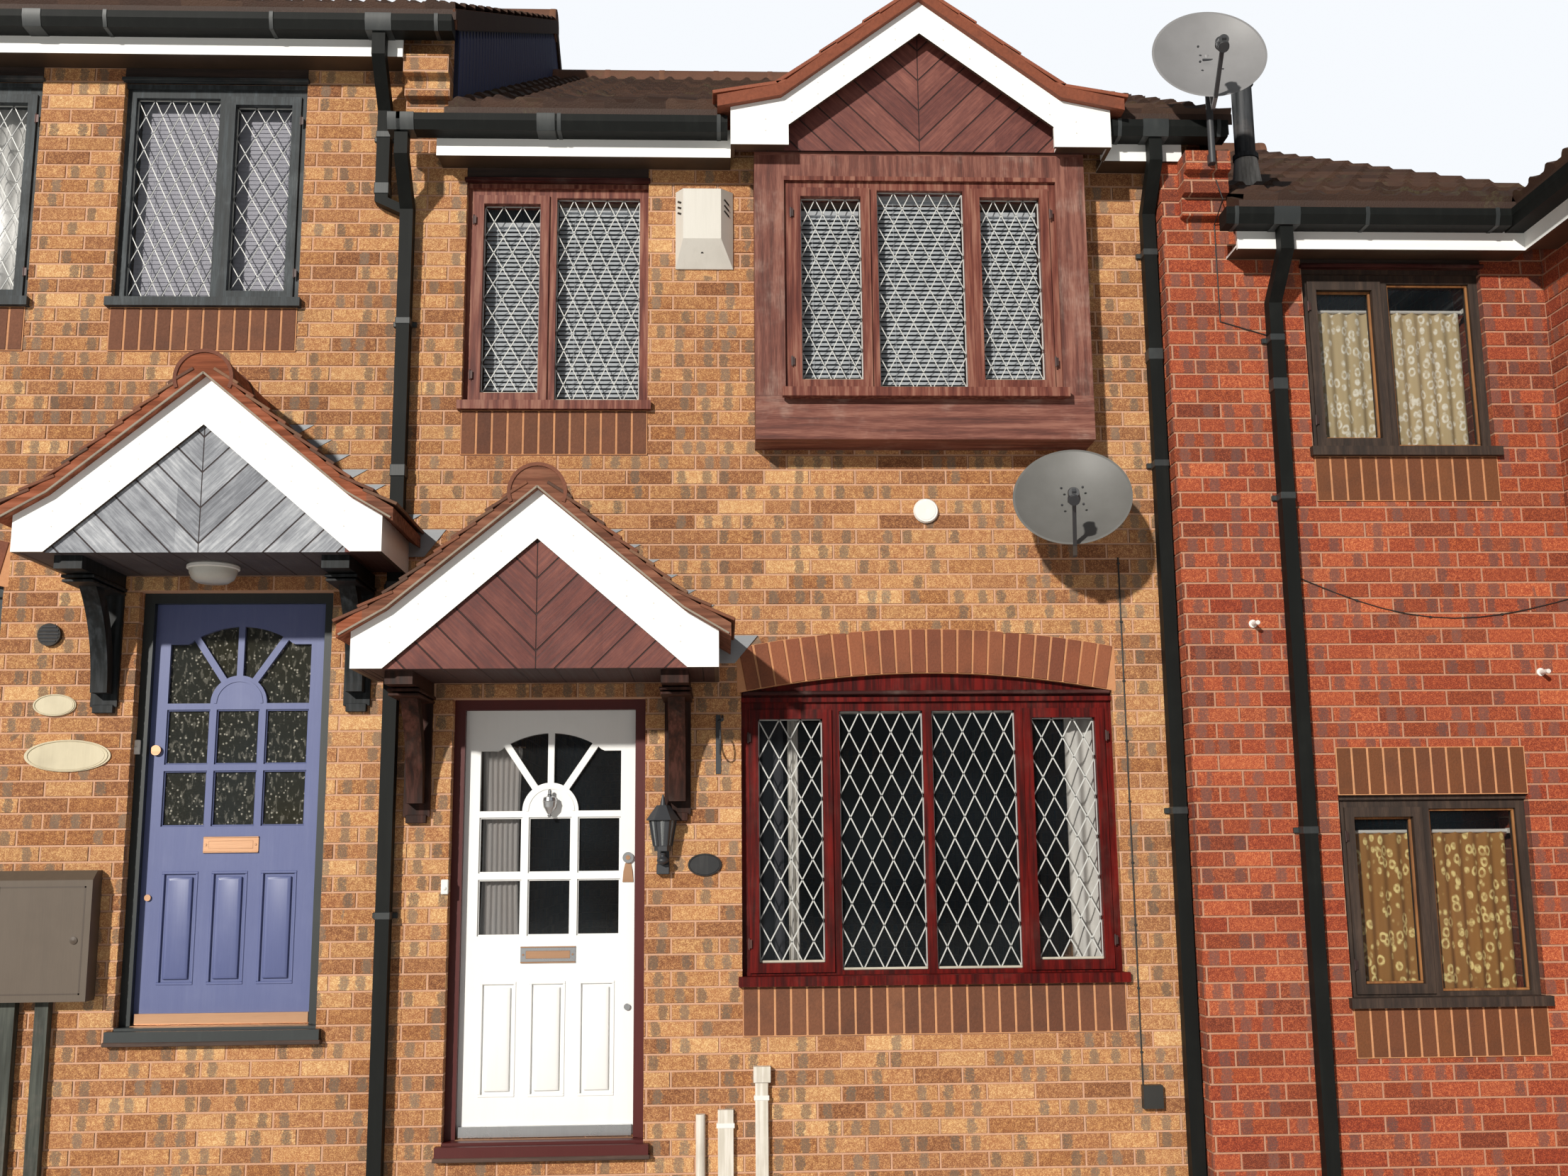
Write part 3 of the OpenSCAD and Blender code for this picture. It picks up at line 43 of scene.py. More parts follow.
Colour = tuple[float, float, float, float]
Value = Union["Wire", float, int, Colour, tuple[float, float, float]]
Span = tuple[float, float]

# Sizes in metres that several classes share: brickwork, openings, gable, canopies and roofs
COURSE = 0.075
STRETCHER = 0.225
HALF_BRICK = 0.1125
ARCH_RISE = 0.089
ARCH_RING = 0.215
HEAD = 2.1
SMALL_HALF = 0.4575
JAMB = 0.045
RAIL = 0.065
SASH = 0.037
GABLE_FOOT = 5.46
GABLE_KINK = 0.2456
GABLE_RISE = 0.7678
CANOPY_BEND = 0.655
CANOPY_RISE = 0.806
PARTY_RED = 4.0125
PITCH = math.radians(29.5)
RED_PITCH = math.radians(28.2)
SIDES = (-1, 1)


def srgb(code: str) -> Colour:
    """Turns a colour written as six hexadecimal digits into linear light.

    Args:
        code: The colour's red, green and blue as two digits each.

    Returns:
        The colour as red, green, blue and an alpha of 1.
    """
    parts = [int(code[i:i + 2], 16) / 255 for i in (0, 2, 4)]
    r, g, b = (p / 12.92 if p <= 0.04045 else ((p + 0.055) / 1.055) ** 2.4 for p in parts)
    return (r, g, b, 1.0)


class Wire:
    """A shader socket that takes part in Python expressions."""

    def __init__(self, net: "Net", socket: bpy.types.NodeSocket) -> None:
        """Keeps the socket and the net it belongs to."""
        self.net, self.socket = net, socket

    def math(self, operation: str, *others: Value) -> "Wire":
        """Adds one Math node."""
        return self.net.add("ShaderNodeMath", {"operation": operation},
                            dict(enumerate((self, *others))))

    def __add__(self, other: Value) -> "Wire":
        """Sum."""
        return self.math("ADD", other)

    __radd__ = __add__

    def __mul__(self, other: Value) -> "Wire":
        """Product."""
        return self.math("MULTIPLY", other)

    __rmul__ = __mul__

    def __sub__(self, other: Value) -> "Wire":
        """Difference."""
        return self.math("SUBTRACT", other)

    def __rsub__(self, other: float) -> "Wire":
        """Difference from a number."""
        return self.net.add("ShaderNodeMath", {"operation": "SUBTRACT"}, {0: other, 1: self})

    def __truediv__(self, other: Value) -> "Wire":
        """Quotient."""
        return self.math("DIVIDE", other)

    def __gt__(self, other: Value) -> "Wire":
        """1 where this is above the other."""
        return self.math("GREATER_THAN", other)

    def __lt__(self, other: Value) -> "Wire":
        """1 where this is below the other."""
        return self.math("LESS_THAN", other)

    def __abs__(self) -> "Wire":
        """Size without its sign."""
        return self.math("ABSOLUTE")

    def floor(self) -> "Wire":
        """Whole part."""
        return self.math("FLOOR")

    def least(self, other: Value) -> "Wire":
        """The smaller of two."""
        return self.math("MINIMUM", other)

    def most(self, other: Value) -> "Wire":
        """The larger of two."""
        return self.math("MAXIMUM", other)

    def ramp(self, low: float, high: float) -> "Wire":
        """Smooth step from 0 at low to 1 at high."""
        return self.net.add("ShaderNodeMapRange", {"interpolation_type": "SMOOTHSTEP"},
                            {0: self, 1: low, 2: high, 3: 0.0, 4: 1.0})


class Net:
    """The node net of one material."""

    def __init__(self, tree: bpy.types.NodeTree) -> None:
        """Keeps the tree that the nodes go into."""
        self.tree = tree

    def add(self, kind: str, settings: Optional[dict] = None, sockets: Optional[dict] = None,
            out: Union[int, str] = 0) -> Wire:
        """Adds a node of any type.

        Args:
            kind: The node's type.
            settings: Its properties, set first; "stops" holds a colour ramp's stops.
            sockets: Values or links of its input sockets.
            out: The output socket that is wanted.

        Returns:
            That output socket.
        """
        node = self.tree.nodes.new(kind)
        for key, value in (settings or {}).items():
            if key == "stops":
                marks = node.color_ramp.elements
                while len(marks) < len(value):
                    marks.new(1.0)
                for mark, (place, colour) in zip(marks, value):
                    mark.position, mark.color = place, colour
            else:
                setattr(node, key, value)
        for key, value in (sockets or {}).items():
            if isinstance(value, Wire):
                self.tree.links.new(value.socket, node.inputs[key])
            else:
                node.inputs[key].default_value = value
        return Wire(self, node.outputs[out])

    def split(self, vector: Wire) -> tuple[Wire, Wire, Wire]:
        """Takes a vector's three numbers."""
        node = self.add("ShaderNodeSeparateXYZ", None, {0: vector}).socket.node
        return tuple(Wire(self, node.outputs[i]) for i in range(3))

    def place(self) -> Wire:
        """Object coordinates, which are the row's own metres."""
        return self.add("ShaderNodeTexCoord", None, None, "Object")

    def facing(self) -> Wire:
        """Direction that the face points in."""
        return self.add("ShaderNodeTexCoord", None, None, "Normal")

    def join(self, x: Value, y: Value, z: Value) -> Wire:
        """Makes a vector of three numbers."""
        return self.add("ShaderNodeCombineXYZ", None, {0: x, 1: y, 2: z})

    def along(self, at: Wire, grain: "Grain") -> Wire:
        """Stretches a place along a grain."""
        return self.add("ShaderNodeVectorMath", {"operation": "MULTIPLY"}, {0: at, 1: grain.value})

    def noise(self, at: Wire, scale: float, detail: float = 3.0, rough: float = 0.5) -> Wire:
        """Cloudy noise from 0 to 1."""
        return self.add("ShaderNodeTexNoise", {"noise_dimensions": "3D"},
                        {"Vector": at, "Scale": scale, "Detail": detail, "Roughness": rough})

    def chance(self, x: Value, y: Value, seed: float) -> Wire:
        """One random number for each pair of whole numbers."""
        return self.add("ShaderNodeTexWhiteNoise", {"noise_dimensions": "3D"},
                        {"Vector": self.join(x, y, seed)})

    def mix(self, share: Value, a: Value, b: Value, blend: str = "MIX") -> Wire:
        """Mixes two colours."""
        return self.add("ShaderNodeMix", {"data_type": "RGBA", "blend_type": blend},
                        {0: share, 6: a, 7: b}, 2)

    def shades(self, share: Value, stops: Sequence[str]) -> Wire:
        """Runs evenly through a list of colours."""
        marks = [(i / max(1, len(stops) - 1), srgb(c)) for i, c in enumerate(stops)]
        return self.add("ShaderNodeValToRGB", {"stops": marks}, {0: share})

    def bump(self, height: Value, depth: float, strength: float = 1.0) -> Wire:
        """Turns a height into a bumpy normal."""
        return self.add("ShaderNodeBump", None,
                        {"Strength": strength, "Distance": depth, "Height": height})


class Grain(Enum):
    """Direction in which wood grain or brush marks run."""

    X = (0.06, 1.0, 1.0)
    Z = (1.0, 1.0, 0.06)


@dataclass(frozen=True)
class Finish:
    """A finish, which makes its material once and hands the same one out again."""

    name: str
    made: ClassVar[dict[str, bpy.types.Material]] = {}

    def paint(self, net: Net) -> dict[str, Value]:
        """Gives the shader's sockets."""
        raise NotImplementedError

    def material(self) -> bpy.types.Material:
        """Makes the material, or finds it where it is made already.

        Returns:
            The material.
        """
        if self.name not in Finish.made:
            made = bpy.data.materials.new(self.name)
            made.use_nodes = True
            net = Net(made.node_tree)
            shader = made.node_tree.nodes["Principled BSDF"]
            for key, value in self.paint(net).items():
                if isinstance(value, Wire):
                    net.tree.links.new(value.socket, shader.inputs[key])
                else:
                    shader.inputs[key].default_value = value
            Finish.made[self.name] = made
        return Finish.made[self.name]


@dataclass(frozen=True)
class Clay:
    """Colours of one make of brick and its mortar."""

    tones: tuple[str, ...]
    mortar: tuple[str, ...]
    marks: tuple[str, ...]
    share: float
    mark_w: float = 0.042


TAN = Clay(("9f7455", "b58a68", "c79d78", "d2aa82", "ad7f59", "dfbc94", "bb8e6a"),
           ("c4967a", "d3a789"), ("64574a", "736454", "827262"), 0.52)
RED = Clay(("9c5438", "ae6044", "bb6b4c", "a04e35", "c87a58", "8c4c38", "b4623f"),
           ("b08066", "c29378"), ("5f443e", "6d4c44", "7e564a"), 0.52, 0.048)


@dataclass(frozen=True)
class Brick(Finish):
    """Stretcher brickwork with darker marks where the bricks touched in the kiln."""

    clay: Clay = TAN
    other: Optional[Clay] = None
    split_x: float = 3.95
    joints: bool = True

    def wall(self, net: Net, clay: Clay, cells: dict[str, Wire]) -> Wire:
        """Colours one make of brick.

        Args:
            net: The node net.
            clay: The make.
            cells: The brick's own numbers and the place in it.

        Returns:
            The colour.
        """
        at, low, fine = cells["at"], cells["low"], cells["fine"]
        tone = net.shades(cells["pick"], clay.tones)
        for share, cloud, stops in ((0.75, fine, ("3a281a", "8f8170", "fff2d8")),
                                    (0.5, cells["blot"], ("584536", "807c78", "d8cdb8"))):
            tone = net.mix(share, tone, net.shades(cloud.ramp(0.3, 0.7), stops), "SOFT_LIGHT")
        across = cells["v"] - COURSE / 2
        spots: Value = 0.0
        for k, middle in enumerate((0.05, 0.165)):
            away = cells["u"] - middle - (cells["pick2"] - 0.5) * 0.05 * (1 - 2 * k)
            far = (away * away + across * across * 0.22).math("SQRT")
            edge = far + (cells["blot"] - 0.5) * 0.03 + (fine - 0.5) * 0.02
            spot = 1.0 - edge.ramp(clay.mark_w * 0.42, clay.mark_w * 0.66)
            dice = net.chance(cells["col"], cells["row"], 6.0 + k)
            drawn = dice < clay.share * (0.55 + low * 0.9)
            spots = (spot * drawn).most(spots)
        speckle = net.noise(at, 300.0, 2.0).ramp(0.36, 0.6)
        marks = net.shades(cells["pick2"], clay.marks)
        tone = net.mix(spots * (0.32 + speckle * 0.58), tone, marks)
        foot = (1.0 - cells["z"].ramp(0.0, 0.55)) * 0.35
        tone = net.mix(foot * low, tone, srgb("8a5236"))
        if self.joints:
            mortar = net.shades(net.noise(at, 60.0), clay.mortar)
            tone = net.mix(cells["solid"], mortar, tone)
        return tone

    def paint(self, net: Net) -> dict[str, Value]:
        """Gives the shader's sockets, with rows and bricks on the row's own grid."""
        at = net.place()
        x, y, z = net.split(at)
        side = abs(net.split(net.facing())[0]) > 0.5
        along = x + (y - x) * side
        row = (z / COURSE + 0.0001).floor()
        odd = (row * 0.5).math("FRACT") * 2.0
        run = along + odd * HALF_BRICK
        col = (run / STRETCHER).floor()
        u, v = run - col * STRETCHER, z - row * COURSE
        rim = u.least(STRETCHER - u).least(v.least(COURSE - v))
        rough = net.noise(at, 130.0, 4.0, 0.6)
        solid = (rim + (rough - 0.5) * 0.0022).ramp(0.0036, 0.0062)
        cells = {"at": at, "u": u, "v": v, "z": z, "solid": solid, "col": col, "row": row,
                 "fine": net.noise(at, 210.0, 3.0, 0.65), "blot": net.noise(at, 62.0, 3.0, 0.6),
                 "low": net.noise(at, 0.9, 2.0), "pick": net.chance(col, row, 1.0),
                 "pick2": net.chance(col, row, 2.0)}
        colour = self.wall(net, self.clay, cells)
        if self.other:
            colour = net.mix(x > self.split_x, colour, self.wall(net, self.other, cells))
        height = rough * 0.5 + cells["blot"] * 0.4 + cells["fine"] * 0.2
        if self.joints:
            height = height + solid * 1.2
        return {"Base Color": colour, "Roughness": 0.86 + cells["fine"] * 0.1,
                "Normal": net.bump(height, 0.0042, 1.0)}


@dataclass(frozen=True)
class Pieces(Finish):
    """Small units, such as soldier bricks or tiles, each with a tone of its own."""

    tones: tuple[str, ...] = ("8b5d41", "7a4d35")
    specks: tuple[str, ...] = ("4a3027", "b98a66")
    speck: float = 0.4
    scale: float = 90.0
    moss: float = 0.0
    moss_tone: str = "5d5a3c"
    rough: float = 0.85
    depth: float = 0.003

    def paint(self, net: Net) -> dict[str, Value]:
        """Gives the shader's sockets."""
        at = net.place()
        tone = net.add("ShaderNodeAttribute", {"attribute_name": "tone"}, None, "Fac")
        colour = net.shades(tone, self.tones)
        grain = net.noise(at, self.scale, 4.0, 0.62)
        colour = net.mix(self.speck, colour, net.shades(grain, self.specks), "SOFT_LIGHT")
        dirt = net.noise(at, 7.0, 3.0).ramp(0.45, 0.75) * 0.28
        colour = net.mix(dirt, colour, srgb(self.specks[0]))
        if self.moss:
            patch = net.noise(at, 2.2, 5.0, 0.7).ramp(0.62 - self.moss * 0.2, 0.74)
            patch = patch * net.noise(at, 60.0, 2.0).ramp(0.35, 0.6)
            colour = net.mix(patch * self.moss, colour, srgb(self.moss_tone))
        return {"Base Color": colour, "Roughness": self.rough - grain * 0.12,
                "Normal": net.bump(grain, self.depth, 0.8)}


@dataclass(frozen=True)
class Paint(Finish):
    """Painted or moulded surface with faint dirt, brush marks and worn gloss; downward faces can
    take a brown stain darkened as painted shade.
    """

    tone: str = "fbfbf9"
    dirt: str = "8d8a80"
    dirt_share: float = 0.16
    rough: float = 0.42
    grain: Grain = Grain.Z
    metal: float = 0.0
    coat: float = 0.0
    marks: float = 0.35
    # Brown stain for downward faces, deepened as painted shade
    underside_stain_and_shade: str = ""
    sheen: float = 0.5

    def paint(self, net: Net) -> dict[str, Value]:
        """Gives the shader's sockets."""
        at = net.place()
        drawn = net.along(at, self.grain)
        brush = net.noise(drawn, 180.0, 3.0, 0.6)
        cloud = net.noise(at, 3.5, 4.0, 0.65)
        streak = net.noise(drawn, 26.0, 3.0).ramp(0.48, 0.8)
        share = (cloud.ramp(0.45, 0.85) * 0.6 + streak * 0.4) * self.dirt_share
        colour = net.mix(share, srgb(self.tone), srgb(self.dirt))
        colour = net.mix(0.12, colour, net.shades(brush, ("202020", "f0f0f0")), "SOFT_LIGHT")
        # Downward faces take the brown stain mixed with near-black: stain and painted shade under
        # the boards
        if self.underside_stain_and_shade:
            down = net.split(net.facing())[2] < -0.6
            colour = net.mix(down, colour, net.mix(cloud, srgb(self.underside_stain_and_shade), srgb("2c241d")))
        return {"Base Color": colour, "Roughness": self.rough + cloud * 0.14,
                "Metallic": self.metal, "Coat Weight": self.coat,
                "Specular IOR Level": self.sheen,
                "Normal": net.bump(brush, 0.0006 * self.marks + 0.0001, 0.6)}


@dataclass(frozen=True)
class Wood(Finish):
    """Stained timber whose grain runs one way and fades in patches."""

    tones: tuple[str, ...] = ("3b241d", "4d342d", "5c4034")
    faded: str = "856c63"
    fade: float = 0.25
    grain: Grain = Grain.Z
    rough: float = 0.62
    upright: Optional[Span] = None

    def paint(self, net: Net) -> dict[str, Value]:
        """Gives the shader's sockets."""
        at = net.place()
        drawn = net.along(at, self.grain)
        if self.upright:
            z = net.split(at)[2]
            drawn = net.mix((z < self.upright[0]).most(z > self.upright[1]), drawn,
                            net.along(at, Grain.X))
        rings = net.noise(drawn, 34.0, 5.0, 0.65)
        pores = net.noise(drawn, 320.0, 2.0)
        colour = net.shades((rings * 0.8 + pores * 0.2).ramp(0.3, 0.7), self.tones)
        worn = net.noise(at, 4.0, 4.0, 0.7).ramp(0.48, 0.75) * (0.4 + pores.ramp(0.4, 0.6) * 0.6)
        colour = net.mix(worn * self.fade, colour, srgb(self.faded))
        return {"Base Color": colour, "Roughness": self.rough + rings * 0.16,
                "Normal": net.bump(rings + pores * 0.5, 0.0014, 0.7)}


@dataclass(frozen=True)
class VBoards(Finish):
    """Boards that slope down to the middle line of a gable or canopy and meet there; downward faces
    take the dark joint colour as painted shade.
    """

    middles: tuple[float, ...] = (0.0,)
    tones: tuple[str, ...] = ("441c18", "602f29", "774339", "90594c")
    joint_and_shade: str = "2b1917"
    other: tuple[str, ...] = ()
    other_below: float = -0.2
    board: float = 0.115

    def paint(self, net: Net) -> dict[str, Value]:
        """Gives the shader's sockets."""
        at = net.place()
        x, _, z = net.split(at)
        off = abs(x - self.middles[0])
        for middle in self.middles[1:]:
            off = off.least(abs(x - middle))
        across = (z - off) / (self.board * math.sqrt(2)) + 40.0
        number = across.floor()
        part = across - number
        gap = part.least(1.0 - part).ramp(0.01, 0.04) * off.ramp(0.0008, 0.0028)
        pick = net.chance(number, (x / 0.95).floor(), 5.0)
        drawn = net.join((z + off) * 0.07, z - off, x * 0.05)
        rings = net.noise(drawn, 62.0, 5.0, 0.7).ramp(0.28, 0.72)
        share = pick * 0.3 + rings * 0.5 + net.noise(at, 6.0, 4.0, 0.7).ramp(0.35, 0.7) * 0.25
        colour, joint_and_shade = net.shades(share, self.tones), srgb(self.joint_and_shade)
        if self.other:
            colour = net.mix(x < self.other_below, colour, net.shades(share, self.other))
        # Downward faces take the joint colour at 0.85: painted shade under the canopies and the
        # gable
        down = net.split(net.facing())[2] < -0.6
        colour = net.mix((1.0 - gap).most(down * 0.85), colour, joint_and_shade)
        return {"Base Color": colour, "Roughness": 0.6 + rings * 0.15,
                "Normal": net.bump(gap * 1.4 + rings * 0.2, 0.004, 0.9)}


@dataclass(frozen=True)
class Glass(Finish):
    """Window glass with faint waves and film; patterned glass is streaky and blind, with painted
    glints in pale flecks and streaks.
    """

    tone: str = "1c2023"
    see: float = 0.14
    pattern: float = 0.0
    glint_tone: str = "c9c2b6"

    def paint(self, net: Net) -> dict[str, Value]:
        """Gives the shader's sockets."""
        at = net.place()
        wave = net.noise(at, 1.7, 2.0)
        colour: Value = net.mix(wave.ramp(0.3, 0.7) * 0.5, srgb(self.tone), srgb("333b41"))
        alpha: Value = self.see + wave * 0.06
        height: Value = net.noise(at, 0.8, 1.0)
        depth = 0.004
        if self.pattern:
            x, _, z = net.split(at)
            # Pale streaks and flecks on patterned glass are painted glints
            streak = net.noise(net.join(x, 0.0, z * 0.4), 48.0, 4.0, 0.65)
            flake = net.add("ShaderNodeTexVoronoi", {"feature": "F1"},
                            {"Vector": net.join(x, 0.0, z), "Scale": 42.0})
            glint_mask = streak.ramp(0.54, 0.6) * 0.35 + (1.0 - flake.ramp(0.12, 0.26))
            colour = net.mix(glint_mask * self.pattern, colour, srgb(self.glint_tone))
            alpha = self.see + glint_mask * 0.2
            height, depth = streak + flake, 0.003
        return {"Base Color": colour, "Roughness": 0.04 + wave * 0.03, "Alpha": alpha,
                "IOR": 1.52, "Normal": net.bump(height, depth, 0.4)}


@dataclass(frozen=True)
class Cloth(Finish):
    """Woven cloth with a thread pattern along its own folds, and darker upright streaks as painted
    shade in the folds.
    """

    tone: str = "efeeea"
    fold_shade_tone: str = "cfcdc7"
    print_tone: str = ""

    def paint(self, net: Net) -> dict[str, Value]:
        """Gives the shader's sockets."""
        at = net.place()
        x, _, z = net.split(at)
        warp = (x * 2400.0).math("SINE")
        weft = (z * 2400.0).math("SINE")
        thread = warp * weft * 0.5 + 0.5
        # Darker upright streaks: painted shade in the folds
        fold_shade = net.noise(net.join(x, 0.0, z * 0.05), 30.0, 2.0)
        colour = net.mix(fold_shade * 0.55, srgb(self.tone), srgb(self.fold_shade_tone))
        colour = net.mix(0.15, colour, net.shades(thread, ("707070", "ffffff")), "MULTIPLY")
        if self.print_tone:
            sway = net.noise(at, 9.0, 2.0)
            ring = net.add("ShaderNodeTexVoronoi", {"feature": "F1", "distance": "EUCLIDEAN"},
                           {"Vector": net.join(x + sway * 0.02, 0.0, z * 0.6), "Scale": 30.0,
                            "Randomness": 0.7})
            band = 1.0 - abs(ring - 0.34).ramp(0.05, 0.17)
            colour = net.mix(band * (0.35 + net.noise(at, 55.0, 2.0).ramp(0.35, 0.6) * 0.65),
                             colour, srgb(self.print_tone))
        return {"Base Color": colour, "Roughness": 0.92, "Normal": net.bump(thread, 0.0004, 0.5)}


@dataclass(frozen=True)
class Dressed(Finish):
    """One finish left of a line and another right of it, for a node that two houses share."""

    left: tuple[str, ...] = ("707690",)
    right: tuple[str, ...] = ("4d342d",)
    line: float = 0.0
    on_z: bool = False
    rough: float = 0.5
    grain: Grain = Grain.Z
    bumps: float = 0.0012
    worn: float = 0.18
    faded: str = "9a8a80"
    sheen: float = 0.2

    def paint(self, net: Net) -> dict[str, Value]:
        """Gives the shader's sockets."""
        at = net.place()
        parts = net.split(at)
        drawn = net.along(at, self.grain)
        rings = net.noise(drawn, 40.0, 4.0, 0.62)
        share = rings.ramp(0.3, 0.7)
        colour = net.mix(parts[2 if self.on_z else 0] > self.line,
                         net.shades(share, self.left), net.shades(share, self.right))
        worn = net.noise(at, 5.0, 4.0, 0.7).ramp(0.48, 0.75) * self.worn
        colour = net.mix(worn, colour, srgb(self.faded))
        return {"Base Color": colour, "Roughness": self.rough + rings * 0.15,
                "Specular IOR Level": self.sheen, "Normal": net.bump(rings, self.bumps, 0.6)}


@dataclass(frozen=True)
class DishCoat(Finish):
    """Grey dishes whose arms, receivers and masts are dark."""

    heads: tuple[tuple[float, float, float, float, float], ...] = (
        (3.155, -0.41, 3.655, 24.0, 12.0), (3.912, -0.477, 5.9, 16.0, 7.0))

    def paint(self, net: Net) -> dict[str, Value]:
        """Gives the shader's sockets, with the arm told by how far it stands before the dish."""
        at = net.place()
        z = net.split(at)[2]
        ahead = []
        for x, y, up, tilt, turn in self.heads:
            aim = (Matrix.Rotation(math.radians(-turn), 3, "Z")
                   @ Matrix.Rotation(math.radians(-tilt), 3, "X") @ Vector((0, -1, 0)))
            dot = net.add("ShaderNodeVectorMath", {"operation": "DOT_PRODUCT"},
                          {0: at, 1: tuple(aim)}, "Value")
            ahead.append(dot - aim.dot(Vector((x, y, up))))
        high = z > 4.4
        out = ahead[0] * (1.0 - high) + ahead[1] * high
        dark = (out > 0.088).most(out < 0.012)
        cloud = net.noise(at, 5.0, 4.0, 0.65)
        face = net.mix(high, net.shades(cloud, ("5c5b59", "676663", "737270")),
                       net.shades(cloud, ("7c7b7b", "878687", "929192")))
        colour = net.mix(dark, face, net.shades(cloud, ("2c2d2f", "3b3c3f", "4b4c4e")))
        return {"Base Color": colour, "Roughness": 0.42 + cloud * 0.16,
                "Normal": net.bump(net.noise(at, 60.0, 3.0), 0.0004, 0.5)}


def touched(verts: Sequence[bmesh.types.BMVert]) -> list[bmesh.types.BMFace]:
    """Gives the faces that share any of the corners, in a fixed order."""
    return list(dict.fromkeys(f for v in verts for f in v.link_faces))


def border(x0: float, x1: float, z0: float, z1: float, t: float) -> tuple[tuple[Span, Span], ...]:
    """Gives four strips of one width inside a rectangle: bottom, top, left and right."""
    return (((x0, z0), (x1, z0 + t)), ((x0, z1 - t), (x1, z1)),
            ((x0, z0 + t), (x0 + t, z1 - t)), ((x1 - t, z0 + t), (x1, z1 - t)))


def band(x: float, z: float, outer: float, inner: float, turns: Sequence[float]) -> list[Span]:
    """Gives the outline of a bent band."""
    return [(x + r * math.cos(t), z + r * math.sin(t))
            for r, order in ((outer, 1), (inner, -1)) for t in turns[::order]]


